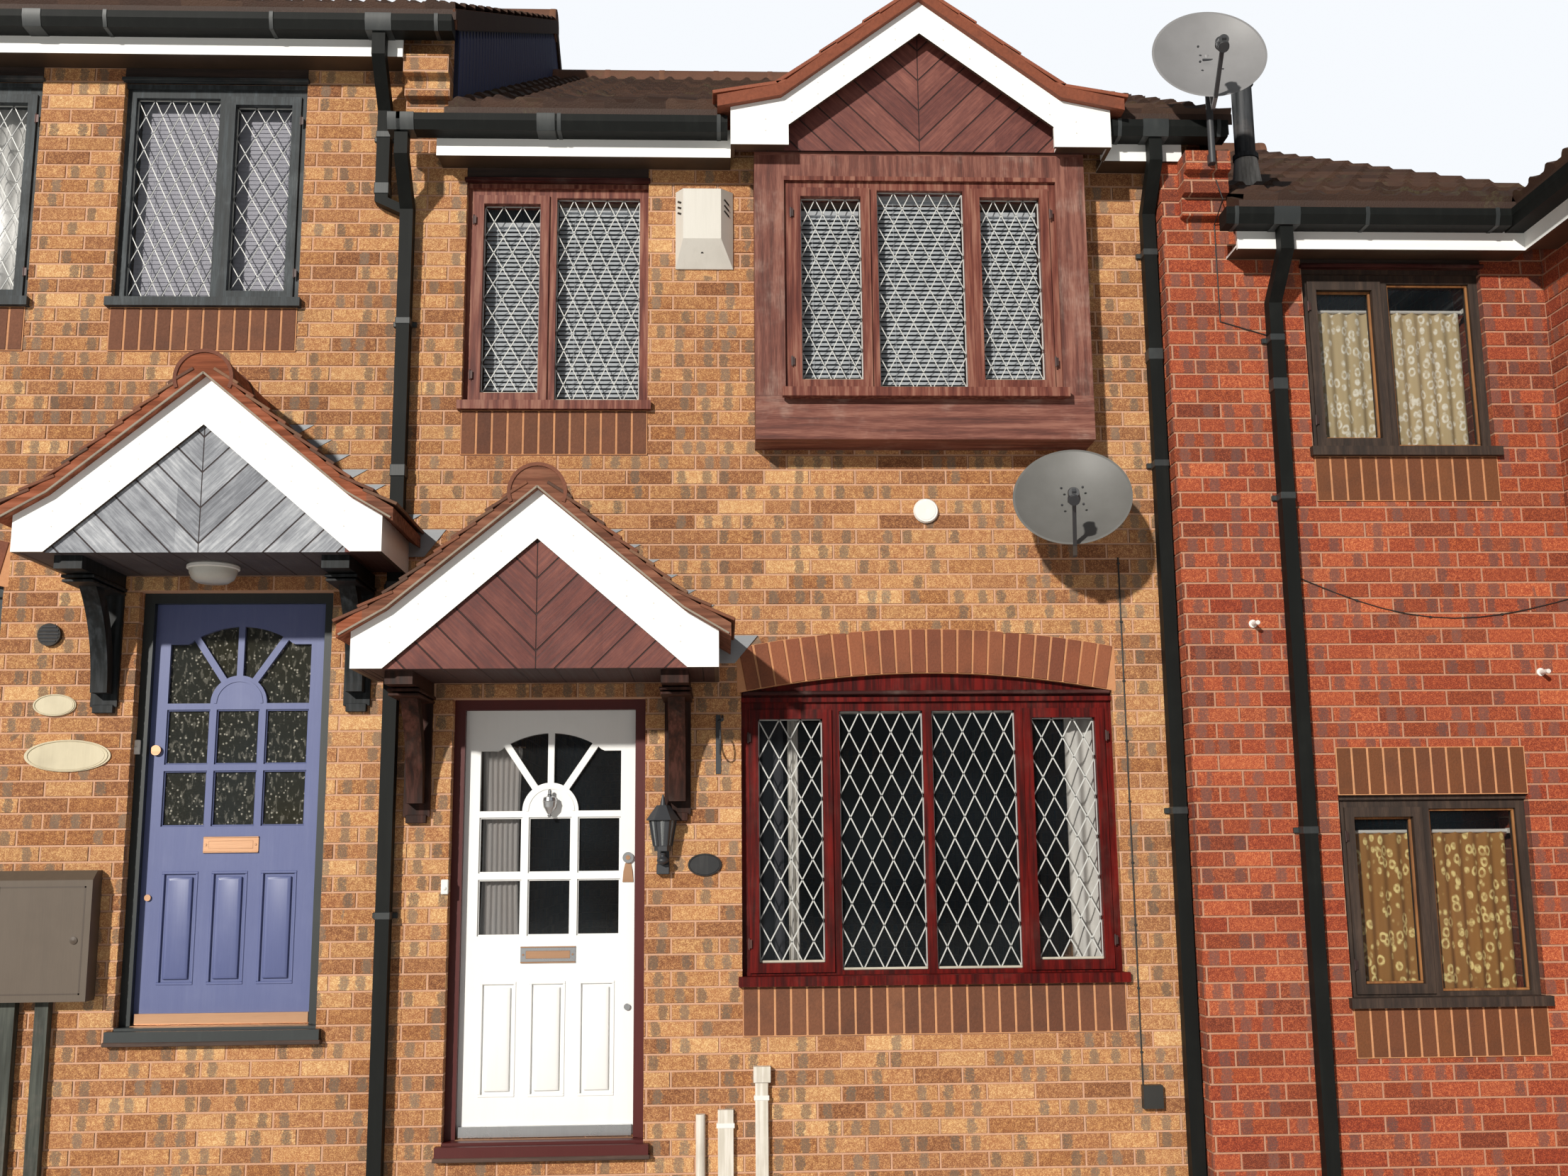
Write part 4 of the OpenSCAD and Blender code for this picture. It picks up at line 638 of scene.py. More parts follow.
class Shape:
    """A mesh under construction, gathered from small batches."""

    def __init__(self) -> None:
        """Starts an empty shape."""
        self.whole = bmesh.new()
        self.part = self.fresh()
        self.rand = random.Random(7)

    def fresh(self) -> bmesh.types.BMesh:
        """Makes an empty batch with its tone layer."""
        made = bmesh.new()
        made.faces.layers.float.new("tone")
        return made

    def mark(self, faces: Sequence[bmesh.types.BMFace], tone: Optional[float]) -> None:
        """Gives faces a tone, drawn at random where none is given."""
        layer = self.part.faces.layers.float["tone"]
        value = self.rand.random() if tone is None else tone
        for face in faces:
            face[layer] = value

    def flush(self, bevel: float = 0.0, segments: int = 1) -> None:
        """Adds the batch to the whole.

        Args:
            bevel: Width of the rounding on the batch's edges.
            segments: Steps of the rounding.
        """
        if bevel:
            edges = [e for e in self.part.edges if e.is_manifold and e.calc_face_angle(0) > 0.5]
            bmesh.ops.bevel(self.part, geom=edges, offset=bevel, offset_type="OFFSET",
                            segments=segments, profile=0.5, affect="EDGES", material=-1)
        mesh = bpy.data.meshes.new("batch")
        self.part.to_mesh(mesh)
        self.part.free()
        self.whole.from_mesh(mesh)
        bpy.data.meshes.remove(mesh)
        self.part = self.fresh()

    def box(self, low: Sequence[float], high: Sequence[float], turn: Optional[Matrix] = None,
            tone: Optional[float] = None) -> None:
        """Adds a block between two corners.

        Args:
            low: Its lowest corner.
            high: Its highest corner.
            turn: A turn about its own middle.
            tone: Its tone, or None for a random one.
        """
        low, high = Vector(low), Vector(high)
        size = Matrix.Diagonal((*(high - low), 1.0))
        matrix = Matrix.Translation((low + high) / 2) @ (turn or Matrix()) @ size
        made = bmesh.ops.create_cube(self.part, size=1.0, matrix=matrix)
        self.mark(touched(made["verts"]), tone)

    def block(self, low: Sequence[float], high: Sequence[float]) -> None:
        """Adds a block of middle tone between two corners."""
        self.box(low, high, None, 0.5)

    def many(self, blocks: Sequence[tuple], bevel: float = 0.0) -> None:
        """Adds many blocks, a batch at a time.

        Args:
            blocks: Each block's lowest and highest corner, and its turn if it has one.
            bevel: Width of the rounding on their edges.
        """
        for k, block in enumerate(blocks):
            self.box(*block)
            if k % 60 == 59:
                self.flush(bevel)
        self.flush(bevel)

    def bar(self, a: Sequence[float], b: Sequence[float], width: float, thick: float,
            tone: Optional[float] = None) -> None:
        """Adds a flat bar between two points of a wall plane.

        Args:
            a: One end.
            b: The other end.
            width: Its width in the wall's plane.
            thick: Its thickness from front to back.
            tone: Its tone.
        """
        a, b = Vector(a), Vector(b)
        run = b - a
        turn = Matrix.Rotation(-math.atan2(run.z, run.x), 4, "Y")
        size = Matrix.Diagonal((run.length, thick, width, 1.0))
        matrix = Matrix.Translation((a + b) / 2) @ turn @ size
        made = bmesh.ops.create_cube(self.part, size=1.0, matrix=matrix)
        self.mark(touched(made["verts"]), tone)

    def extrude(self, points: Sequence[Sequence[float]], way: Sequence[float],
                tone: Optional[float] = None) -> None:
        """Draws a flat face out in a direction.

        Args:
            points: The face's corners.
            way: The direction and distance.
            tone: Its tone.
        """
        corners = [self.part.verts.new(p) for p in points]
        face = self.part.faces.new(corners)
        made = bmesh.ops.extrude_face_region(self.part, geom=[face])["geom"]
        moved = [g for g in made if isinstance(g, bmesh.types.BMVert)]
        bmesh.ops.translate(self.part, verts=moved, vec=way)
        faces = touched(corners + moved)
        bmesh.ops.recalc_face_normals(self.part, faces=faces)
        self.mark(faces, tone)

    def prism(self, outline: Sequence[Span], y0: float, y1: float,
              tone: Optional[float] = None) -> None:
        """Draws an outline in X and Z out along Y."""
        self.extrude([(x, y0, z) for x, z in outline], (0, y1 - y0, 0), tone)

    def ring(self, profile: Sequence[Span], centre: Sequence[float], axis: Sequence[float],
             steps: int = 24, tone: Optional[float] = 0.5) -> None:
        """Turns a profile round an axis.

        Args:
            profile: Distances from the axis and along it.
            centre: A point on the axis.
            axis: The axis.
            steps: Steps of the turn.
            tone: Its tone.
        """
        centre, axis = Vector(centre), Vector(axis).normalized()
        out = axis.orthogonal().normalized()
        line = [self.part.verts.new(centre + out * r + axis * h) for r, h in profile]
        edges = [self.part.edges.new(pair) for pair in zip(line, line[1:])]
        bmesh.ops.spin(self.part, geom=line + edges, cent=centre, axis=axis, angle=math.tau,
                       steps=steps, use_merge=True, use_duplicate=False)
        verts = [v for e in edges for v in e.verts]
        verts += [v for f in self.part.faces if f.index == -1 for v in f.verts]
        bmesh.ops.remove_doubles(self.part, verts=list(dict.fromkeys(verts)), dist=1e-5)
        faces = [f for f in self.part.faces if f.index == -1] or self.part.faces[:]
        bmesh.ops.recalc_face_normals(self.part, faces=faces)
        self.mark(faces, tone)
        self.part.faces.index_update()

    def rod(self, a: Sequence[float], b: Sequence[float], radius: float, steps: int = 12,
            radius2: Optional[float] = None, tone: Optional[float] = 0.5) -> None:
        """Adds a round rod or cone between two points.

        Args:
            a: One end.
            b: The other end.
            radius: Its radius at the first end.
            steps: Sides.
            radius2: Its radius at the other end, where that differs.
            tone: Its tone.
        """
        a, b = Vector(a), Vector(b)
        run = b - a
        turn = run.to_track_quat("Z", "Y").to_matrix().to_4x4()
        radius2 = radius if radius2 is None else radius2
        made = bmesh.ops.create_cone(self.part, cap_ends=True, cap_tris=False, segments=steps,
                                     radius1=radius, radius2=radius2, depth=run.length,
                                     matrix=Matrix.Translation((a + b) / 2) @ turn)
        self.mark(touched(made["verts"]), tone)

    def ball(self, centre: Sequence[float], size: Sequence[float], steps: int = 12,
             tone: Optional[float] = 0.5) -> None:
        """Adds a ball or an egg.

        Args:
            centre: Its middle.
            size: Its half sizes.
            steps: Sides.
            tone: Its tone.
        """
        matrix = Matrix.Translation(Vector(centre)) @ Matrix.Diagonal((*size, 1.0))
        made = bmesh.ops.create_uvsphere(self.part, u_segments=steps, v_segments=steps // 2,
                                         radius=1.0, matrix=matrix)
        self.mark(touched(made["verts"]), tone)

    def path(self, points: Sequence[Sequence[float]], radius: float, steps: int = 8) -> None:
        """Adds a round cable or pipe along points, with a ball at each bend.

        Args:
            points: The points.
            radius: Its radius.
            steps: Sides.
        """
        for a, b in zip(points, points[1:]):
            self.rod(a, b, radius, steps)
        for p in points[1:-1]:
            self.ball(p, (radius,) * 3, steps)

    def sheet(self, across: int, along: int, place: Callable[[float, float], Vector],
              tone: Optional[Callable[[float, float], float]] = None) -> None:
        """Adds a grid that follows a surface.

        Args:
            across: Faces along the first direction.
            along: Faces along the second direction.
            place: Gives a point for two shares from 0 to 1.
            tone: Gives a face's tone from the same two shares.
        """
        made = bmesh.ops.create_grid(self.part, x_segments=across, y_segments=along, size=0.5)
        layer = self.part.faces.layers.float["tone"]
        for face in touched(made["verts"]):
            middle = face.calc_center_median()
            face[layer] = tone(middle.x + 0.5, middle.y + 0.5) if tone else 0.5
        for vert in made["verts"]:
            vert.co = place(vert.co.x + 0.5, vert.co.y + 0.5)

    def piece(self, name: str, finish: Finish, slot: str, body: str = "root",
              smooth: float = 0.0) -> bpy.types.Object:
        """Finishes the shape as a piece that rides a body.

        Args:
            name: The piece's name.
            finish: Its finish.
            slot: Not used.
            body: The body it rides on.
            smooth: Angle in degrees under which edges are shaded smooth; 0 for flat.

        Returns:
            The piece.
        """
        if self.part.verts:
            self.flush()
        mesh = bpy.data.meshes.new(name)
        self.whole.to_mesh(mesh)
        self.whole.free()
        made = bpy.data.objects.new(name, mesh)
        bpy.context.scene.collection.objects.link(made)
        mesh.materials.append(finish.material())
        if smooth:
            mesh.shade_smooth()
            mesh.set_sharp_from_angle(angle=math.radians(smooth))
        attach(made, body)
        log.info("%s: %d faces", name, len(mesh.polygons))
        return made


class House(Enum):
    """The three houses, from the highest."""

    LEFT = 0
    MIDDLE = 1
    RED = 2


@dataclass(frozen=True)
class Opening:
    """A front window, from the middle of its sill."""

    x: float
    y: float
    z: float
    w: float
    h: float
    lights: tuple[tuple[float, float, bool], ...]
    arched: bool = False

    def panes(self) -> Iterator[tuple[float, float, float, float, bool]]:
        """Gives each light's clear opening.

        Yields:
            Left, right, lower and upper edges and whether the light opens.
        """
        for a, b, opens in self.lights:
            more = SASH if opens else 0.0
            x0 = a * self.w + (JAMB if a == 0 else JAMB / 2) + more
            x1 = b * self.w - (JAMB if b == 1 else JAMB / 2) - more
            left = self.x - self.w / 2
            yield (left + x0, left + x1, self.z + RAIL + more, self.z + self.h - RAIL - more, opens)

    @property
    def glass(self) -> float:
        """Y of the front of the glass."""
        return self.y + 0.028

    @property
    def rod(self) -> float:
        """Y of the curtain rail."""
        return self.y + 0.125


@dataclass(frozen=True)
class Row:
    """Lines, levels and roof planes of the whole row, as the solids have them."""

    face: float = -0.15
    red_face: float = -0.3
    rear: float = 8.25
    left: float = -4.0125
    corner: float = 5.625
    right: float = 5.85
    red_edge: float = 3.7
    wing: float = -1.5
    floors: tuple[float, ...] = (1.275, 0.75, 0.225)
    soffits: tuple[float, ...] = (6.0, 5.475, 4.95)
    pitches: tuple[float, ...] = (PITCH, PITCH, RED_PITCH)
    doors: tuple[float, ...] = (-0.84513, 0.6552)
    wide: float = -2.6975
    oriel: float = 2.47
    red_window: float = 4.845
    rear_holes: tuple[tuple[float, float, float, float], ...] = (
        (0.25, 0.4, -0.075, HEAD), (0.68, 0.35, 1.05, HEAD),
        (0.25, 0.35, 3.45, 4.5), (0.68, 0.35, 3.45, 4.5))

    def rear_openings(self, houses: Sequence[int] = (0, 1, 2)) -> Iterator[tuple[float, ...]]:
        """Gives the openings at the rear.

        Args:
            houses: The houses' numbers.

        Yields:
            The house's number, the opening's middle and half width, and its foot and head above
            the house's floor.
        """
        for i in houses:
            a, b = self.bays[i]
            for share, half, foot, head in self.rear_holes:
                yield i, a + share * (b - a), half, foot, head

    @property
    def bays(self) -> tuple[Span, Span, Span]:
        """Left and right end of each house at the rear."""
        return ((self.left, HALF_BRICK), (HALF_BRICK, PARTY_RED), (PARTY_RED, self.right))

    @property
    def arches(self) -> tuple[tuple[float, float, float], ...]:
        """Middle, springing height and width of each arched window."""
        return ((self.wide, 3.325, 1.5), (self.oriel, 2.8, 1.8))

    def front(self, house: House) -> float:
        """Y of a house's face."""
        return self.red_face if house is House.RED else self.face

    def eave(self, house: House) -> float:
        """Y of a house's lowest tile edge."""
        return self.front(house) - 0.23

    def ridge(self, house: House) -> float:
        """Y of a house's ridge."""
        return (self.front(house) + self.rear) / 2

    def top(self, house: House, y: float) -> float:
        """Height of the tile tops above a line on the front slope."""
        slope = math.tan(self.pitches[house.value])
        return self.soffits[house.value] + 0.215 + (y - self.eave(house)) * slope

    def over(self, house: House, y: float) -> float:
        """Height of the tile tops above a line on either slope."""
        return self.top(house, y if y <= self.ridge(house) else 2 * self.ridge(house) - y)

    def windows(self) -> dict[str, Opening]:
        """Gives the front windows by name."""
        small_l = ((0.0, 0.534, False), (0.534, 1.0, True))
        small_r = ((0.0, 0.466, True), (0.466, 1.0, False))
        three = ((0.0, 0.325, True), (0.325, 0.675, False), (0.675, 1.0, True))
        four = ((0.0, 0.25, True), (0.25, 0.5, False), (0.5, 0.75, False), (0.75, 1.0, True))
        y, red_y = self.face + 0.04, self.red_face + 0.04
        return {
            "left_small": Opening(self.doors[0] - 0.235, y, 4.725, 0.915, 1.2, small_l),
            "left_wide": Opening(self.wide, y, 4.725, 1.5, 1.2, three),
            "left_ground": Opening(self.wide, y, 1.95, 1.5, 1.35, three, True),
            "middle_small": Opening(self.doors[1], y, 4.2, 0.915, 1.2, small_r),
            "oriel": Opening(self.oriel, -0.34, 4.2, 1.358, 1.15, three),
            "middle_ground": Opening(self.oriel, y, 1.425, 1.8, 1.35, four, True),
            "red_lower": Opening(self.red_window, red_y, 1.305, 0.915, 0.975, small_r),
            "red_upper": Opening(self.red_window, red_y, 3.93, 0.915, 0.975, small_r)}


ROW = Row()
Hole = tuple[float, float, float, float]


@dataclass
class BrickFace:
    """Real bricks that stand a little proud of one wall's mortar."""

    name: str
    slot: str
    clay: Clay
    spans: list[Hole]
    holes: list[Hole]
    plane: float
    side: str = "-y"
    arches: tuple[tuple[float, float, float], ...] = ()
    proud: float = 0.004

    def arch_half(self, z: float, arch: tuple[float, float, float]) -> float:
        """Half the width that an arch ring takes at a height, or 0.

        Args:
            z: The height.
            arch: The arch's middle, springing height and width.

        Returns:
            Half the width.
        """
        _, spring, w = arch
        r = (w * w / 4 + ARCH_RISE ** 2) / (2 * ARCH_RISE)
        if not spring - 0.1 <= z <= spring + ARCH_RISE + ARCH_RING:
            return 0.0
        if z < spring:
            return w / 2
        out = (r + ARCH_RING) ** 2 - (z - spring - ARCH_RISE + r) ** 2
        return min(w / 2 + 0.02, math.sqrt(max(0.0, out)))

    def free(self, z0: float, z1: float) -> list[Span]:
        """Finds where bricks can lie in one course.

        Args:
            z0: The course's underside.
            z1: The course's top.

        Returns:
            The free stretches.
        """
        least = 0.012
        free = [(a, b) for a, b, low, high in self.spans if low - 0.001 <= z0 and z1 <= high + 0.02]
        cuts = [(a, b) for a, b, low, high in self.holes if low < z1 - least and high > z0 + least]
        for arch in self.arches:
            half = max(self.arch_half(z0 + 0.01, arch), self.arch_half(z1 - 0.01, arch))
            if half:
                cuts.append((arch[0] - half, arch[0] + half))
        for a, b in cuts:
            free = [part for p, q in free for part in ((p, min(q, a)), (max(p, b), q))
                    if part[1] - part[0] > least]
        return free

    def block(self, a: float, b: float, z0: float, z1: float) -> tuple[Vector, Vector]:
        """Places one brick on the wall's plane."""
        if self.side[0] == "+":
            lo, hi = self.plane - 0.003, self.plane + self.proud
        else:
            lo, hi = self.plane - self.proud, self.plane + 0.003
        if self.side[1] == "y":
            return Vector((a, lo, z0)), Vector((b, hi, z1))
        return Vector((lo, a, z0)), Vector((hi, b, z1))

    def build(self) -> None:
        """Lays the bricks."""
        rand = random.Random(self.name)
        blocks = []
        for row in range(84):
            z0, z1 = row * COURSE + 0.005, row * COURSE + 0.07
            shift = (row % 2) * HALF_BRICK
            for a, b in self.free(z0, z1):
                for k in range(math.floor((a + shift) / STRETCHER),
                               math.ceil((b + shift) / STRETCHER)):
                    p = max(a, k * STRETCHER - shift + 0.005)
                    q = min(b, (k + 1) * STRETCHER - shift - 0.005)
                    if q - p > 0.014:
                        low, high = self.block(p, q, z0, z1)
                        out = Vector((0, rand.uniform(-0.0009, 0.0009), 0))
                        if self.side[1] == "x":
                            out = Vector((out.y, 0, 0))
                        blocks.append((low + out, high + out))
        shape = Shape()
        shape.many(blocks, 0.0016)
        shape.piece(self.name, Brick(self.name, self.clay, joints=False), self.slot)


@dataclass
class BrickFaces:
    """All the brick faces that show."""

    def holes(self) -> list[Hole]:
        """Openings and soldier courses of the tan front."""
        found = [(x - SMALL_HALF, x + SMALL_HALF, z, z + HEAD)
                 for x, z in zip(ROW.doors, (1.2, 0.675))]
        for name, w in ROW.windows().items():
            if name == "oriel":
                found.append((w.x - 0.825, w.x + 0.825, 4.0, 5.475))
            elif not name.startswith("red"):
                found.append((w.x - w.w / 2, w.x + w.w / 2, w.z - STRETCHER,
                              w.z + w.h + (0.05 if w.arched else COURSE)))
        return found

    def rear(self, houses: Sequence[int]) -> list[Hole]:
        """Openings and soldier courses of some houses' rear."""
        return [(x - half, x + half, ROW.floors[i] + foot, ROW.floors[i] + head + STRETCHER)
                for i, x, half, foot, head in ROW.rear_openings(houses)]

    def build(self) -> None:
        """Lays the front, wing and rear faces."""
        tan_holes = self.holes()
        top, mid, low = ROW.soffits
        x0, x1 = ROW.red_window - SMALL_HALF, ROW.red_window + SMALL_HALF
        red_holes = [(x0, x1, 1.08, 2.505), (x0, x1, 3.705, 4.96)]
        for name, clay, spans, holes, plane, side in (
                ("left_front_bricks", TAN, [(ROW.left, -0.0001, 0.0, mid),
                                            (ROW.left, HALF_BRICK, mid, top)], tan_holes,
                 ROW.face, "-y"),
                ("middle_front_bricks", TAN, [(0.0, ROW.red_edge, 0.0, mid)], tan_holes,
                 ROW.face, "-y"),
                ("red_front_bricks", RED, [(ROW.red_edge, ROW.corner - 0.001, 0.0, low),
                                           (ROW.red_edge, PARTY_RED, low, mid)], red_holes,
                 ROW.red_face, "-y"),
                ("wing_bricks", RED, [(ROW.wing, ROW.red_face - 0.005, 0.0, low)], [],
                 ROW.corner, "-x"),
                ("red_edge_bricks", RED, [(ROW.red_face, ROW.face - 0.004, 0.0, mid)], [],
                 ROW.red_edge, "-x"),
                ("rear_bricks", TAN, [(*ROW.bays[i], 0.0, ROW.soffits[i]) for i in (0, 1)],
                 self.rear((0, 1)), ROW.rear, "+y"),
                ("red_rear_bricks", RED, [(*ROW.bays[2], 0.0, low)], self.rear((2,)), ROW.rear,
                 "+y")):
            arches = ROW.arches if clay is TAN and side == "-y" else ()
            BrickFace(name, "tan_brick" if clay is TAN else "red_brick", clay, spans, holes,
                      plane, side, arches).build()


SOLDIER_MID = Pieces("soldier_bricks", tones=("6d4833", "78503a", "805840", "67422f", "886047"),
                     specks=("3f2a22", "d0a888"), speck=0.6)
SOLDIER_RED = Pieces("red_soldier_bricks", tones=("6e4528", "7a4f2e", "744a31", "835736"),
                     specks=("40281d", "cca27c"), speck=0.55)
ARCH_FINISH = Pieces("arch_bricks", tones=("85553b", "955f43", "784935", "a06a4b", "8c5a3e"),
                     specks=("3a231b", "cc9e80"), speck=0.6)
MORTAR = Pieces("soldier_mortar", tones=("c2936f", "cfa37f"), specks=("8f6a50", "e0bd9c"),
                speck=0.6, scale=60.0)


@dataclass
class Soldiers:
    """Bricks on end under and over the openings."""

    proud: float = 0.010
    pitch: float = 0.075

    def course(self, shape: Shape, back: Shape, x: float, w: float, z: float, face: float,
               sign: int = -1) -> None:
        """Lays one course.

        Args:
            shape: Takes the bricks.
            back: Takes the mortar behind them.
            x: Middle of the course.
            w: Its length.
            z: Its underside.
            face: Y of the wall's face.
            sign: -1 at the front and 1 at the rear.
        """
        n = round(w / self.pitch)
        step = w / n
        ys = sorted((face - sign * 0.003, face + sign * self.proud))
        for k in range(n):
            x0 = x - w / 2 + k * step
            shape.box((x0 + 0.005, ys[0], z + 0.004), (x0 + step - 0.005, ys[1], z + 0.221))
        shape.flush(0.002)
        yb = sorted((face - sign * 0.003, face + sign * 0.0075))
        back.box((x - w / 2, yb[0], z), (x + w / 2, yb[1], z + STRETCHER))
        back.flush()

    def build(self) -> None:
        """Lays every course and its mortar."""
        tan, red, back = Shape(), Shape(), Shape()
        for name, w in ROW.windows().items():
            if name.startswith("red"):
                self.course(red, back, w.x, w.w, w.z - STRETCHER, ROW.red_face)
            elif name != "oriel":
                self.course(tan, back, w.x, w.w, w.z - STRETCHER, ROW.face)
        self.course(red, back, ROW.red_window, 0.915, 2.28, ROW.red_face)
        for i, x, half, _, head in ROW.rear_openings():
            self.course(red if i == 2 else tan, back, x, 2 * half, ROW.floors[i] + head,
                        ROW.rear, 1)
        tan.piece("soldier_courses", SOLDIER_MID, "arch_brick")
        red.piece("red_soldier_courses", SOLDIER_RED, "red_brick")
        back.piece("soldier_mortar_beds", MORTAR, "tan_brick")
        arch = Shape()
        for x, spring, w in ROW.arches:
            r = (w * w / 4 + ARCH_RISE ** 2) / (2 * ARCH_RISE)
            reach = math.asin((w / 2 + 0.018) / (r + ARCH_RING))
            n = round(w / COURSE)
            for k in range(n):
                a = -reach + (k + 0.5) * 2 * reach / n
                middle = Vector((x + math.sin(a) * (r + ARCH_RING / 2), ROW.face,
                                 spring + ARCH_RISE - r + math.cos(a) * (r + ARCH_RING / 2)))
                half = Vector((r * reach / n - 0.0045, 0.005, 0.105))
                arch.box(middle - half, middle + half, Matrix.Rotation(a, 4, "Y"))
        arch.flush(0.002)
        arch.piece("arch_voussoirs", ARCH_FINISH, "arch_brick")


ROOF = Pieces("rolled_tiles", tones=("513b2f", "5f4739", "6b5142", "563f34", "715848"),
              specks=("2f2420", "917a69"), speck=0.7, scale=140.0, moss=0.5, moss_tone="6a6746",
              rough=0.72)
SMALL_TILE = Pieces("plain_tiles",
                    tones=("6b4a37", "7d5540", "87573d", "8f6146", "5f4638", "96755c"),
                    specks=("3c2c25", "b08a6c"), speck=0.6, scale=120.0, moss=0.25, rough=0.8)
GABLE_TILE = Pieces("gable_tiles", tones=("8f5238", "9c5c3f", "84482f", "a5654a"),
                    specks=("4a2c20", "c08c6c"), speck=0.4, scale=70.0, moss=0.1, rough=0.75)
LEAD = Paint("lead_sheet", "8b8e92", "b9bbbd", dirt_share=0.6, rough=0.5, grain=Grain.X, metal=0.2)


@dataclass
class RolledSlope:
    """Courses of rolled tiles on one roof slope."""

    shape: Shape
    foot: Vector
    run: Vector
    up: Vector
    reach: float
    ends: Callable[[float], list[Span]]
    gauge: float = 0.345
    pitch: float = 0.15
    seed: int = 1

    def wave(self, s: float) -> float:
        """Height of the tile's profile at a place along the eaves."""
        part = (s / self.pitch) % 1.0
        return 0.024 * math.sin(math.pi * part / 0.46) ** 0.8 if part < 0.46 else 0.0

    def build(self) -> None:
        """Lays the courses from the eaves up."""
        count = math.ceil(self.reach / self.gauge)
        step = self.reach / count
        normal = self.run.cross(self.up).normalized()
        if normal.z < 0:
            normal = -normal
        rand = random.Random(self.seed)
        for k in range(count):
            d0, d1 = k * step, min(self.reach, (k + 1) * step + 0.03)
            low, high = self.ends(d0), self.ends(d1)
            jitter = {}
            for (a0, b0), (a1, b1) in zip(low, high):
                width = max(b0 - a0, b1 - a1)
                if width < 0.04:
                    continue
                columns = max(2, round(width / self.pitch * 7))

                def place(u: float, v: float) -> Vector:
                    """Puts a grid point on the course."""
                    share = 0.0 if v < 0.75 else 1.0
                    a, b = a0 + (a1 - a0) * share, b0 + (b1 - b0) * share
                    s = a + (b - a) * u
                    rise = self.wave(s)
                    n = round(s / (self.pitch * 2))
                    wob = jitter.setdefault(n, rand.uniform(-0.0015, 0.0015))
                    h = 0.0 if v < 0.25 else (0.027 + rise + wob if share == 0 else 0.006 + rise)
                    return (self.foot + self.run * s + self.up * (d0 + (d1 - d0) * share)
                            + normal * h)

                def tone(u: float, _: float) -> float:
                    """Tone of the tile that a face belongs to."""
                    n = math.floor((a0 + (b0 - a0) * u) / (self.pitch * 2))
                    return random.Random(n * 131 + k * 7919 + self.seed).random()

                self.shape.sheet(columns, 2, place, tone)
                self.shape.flush()


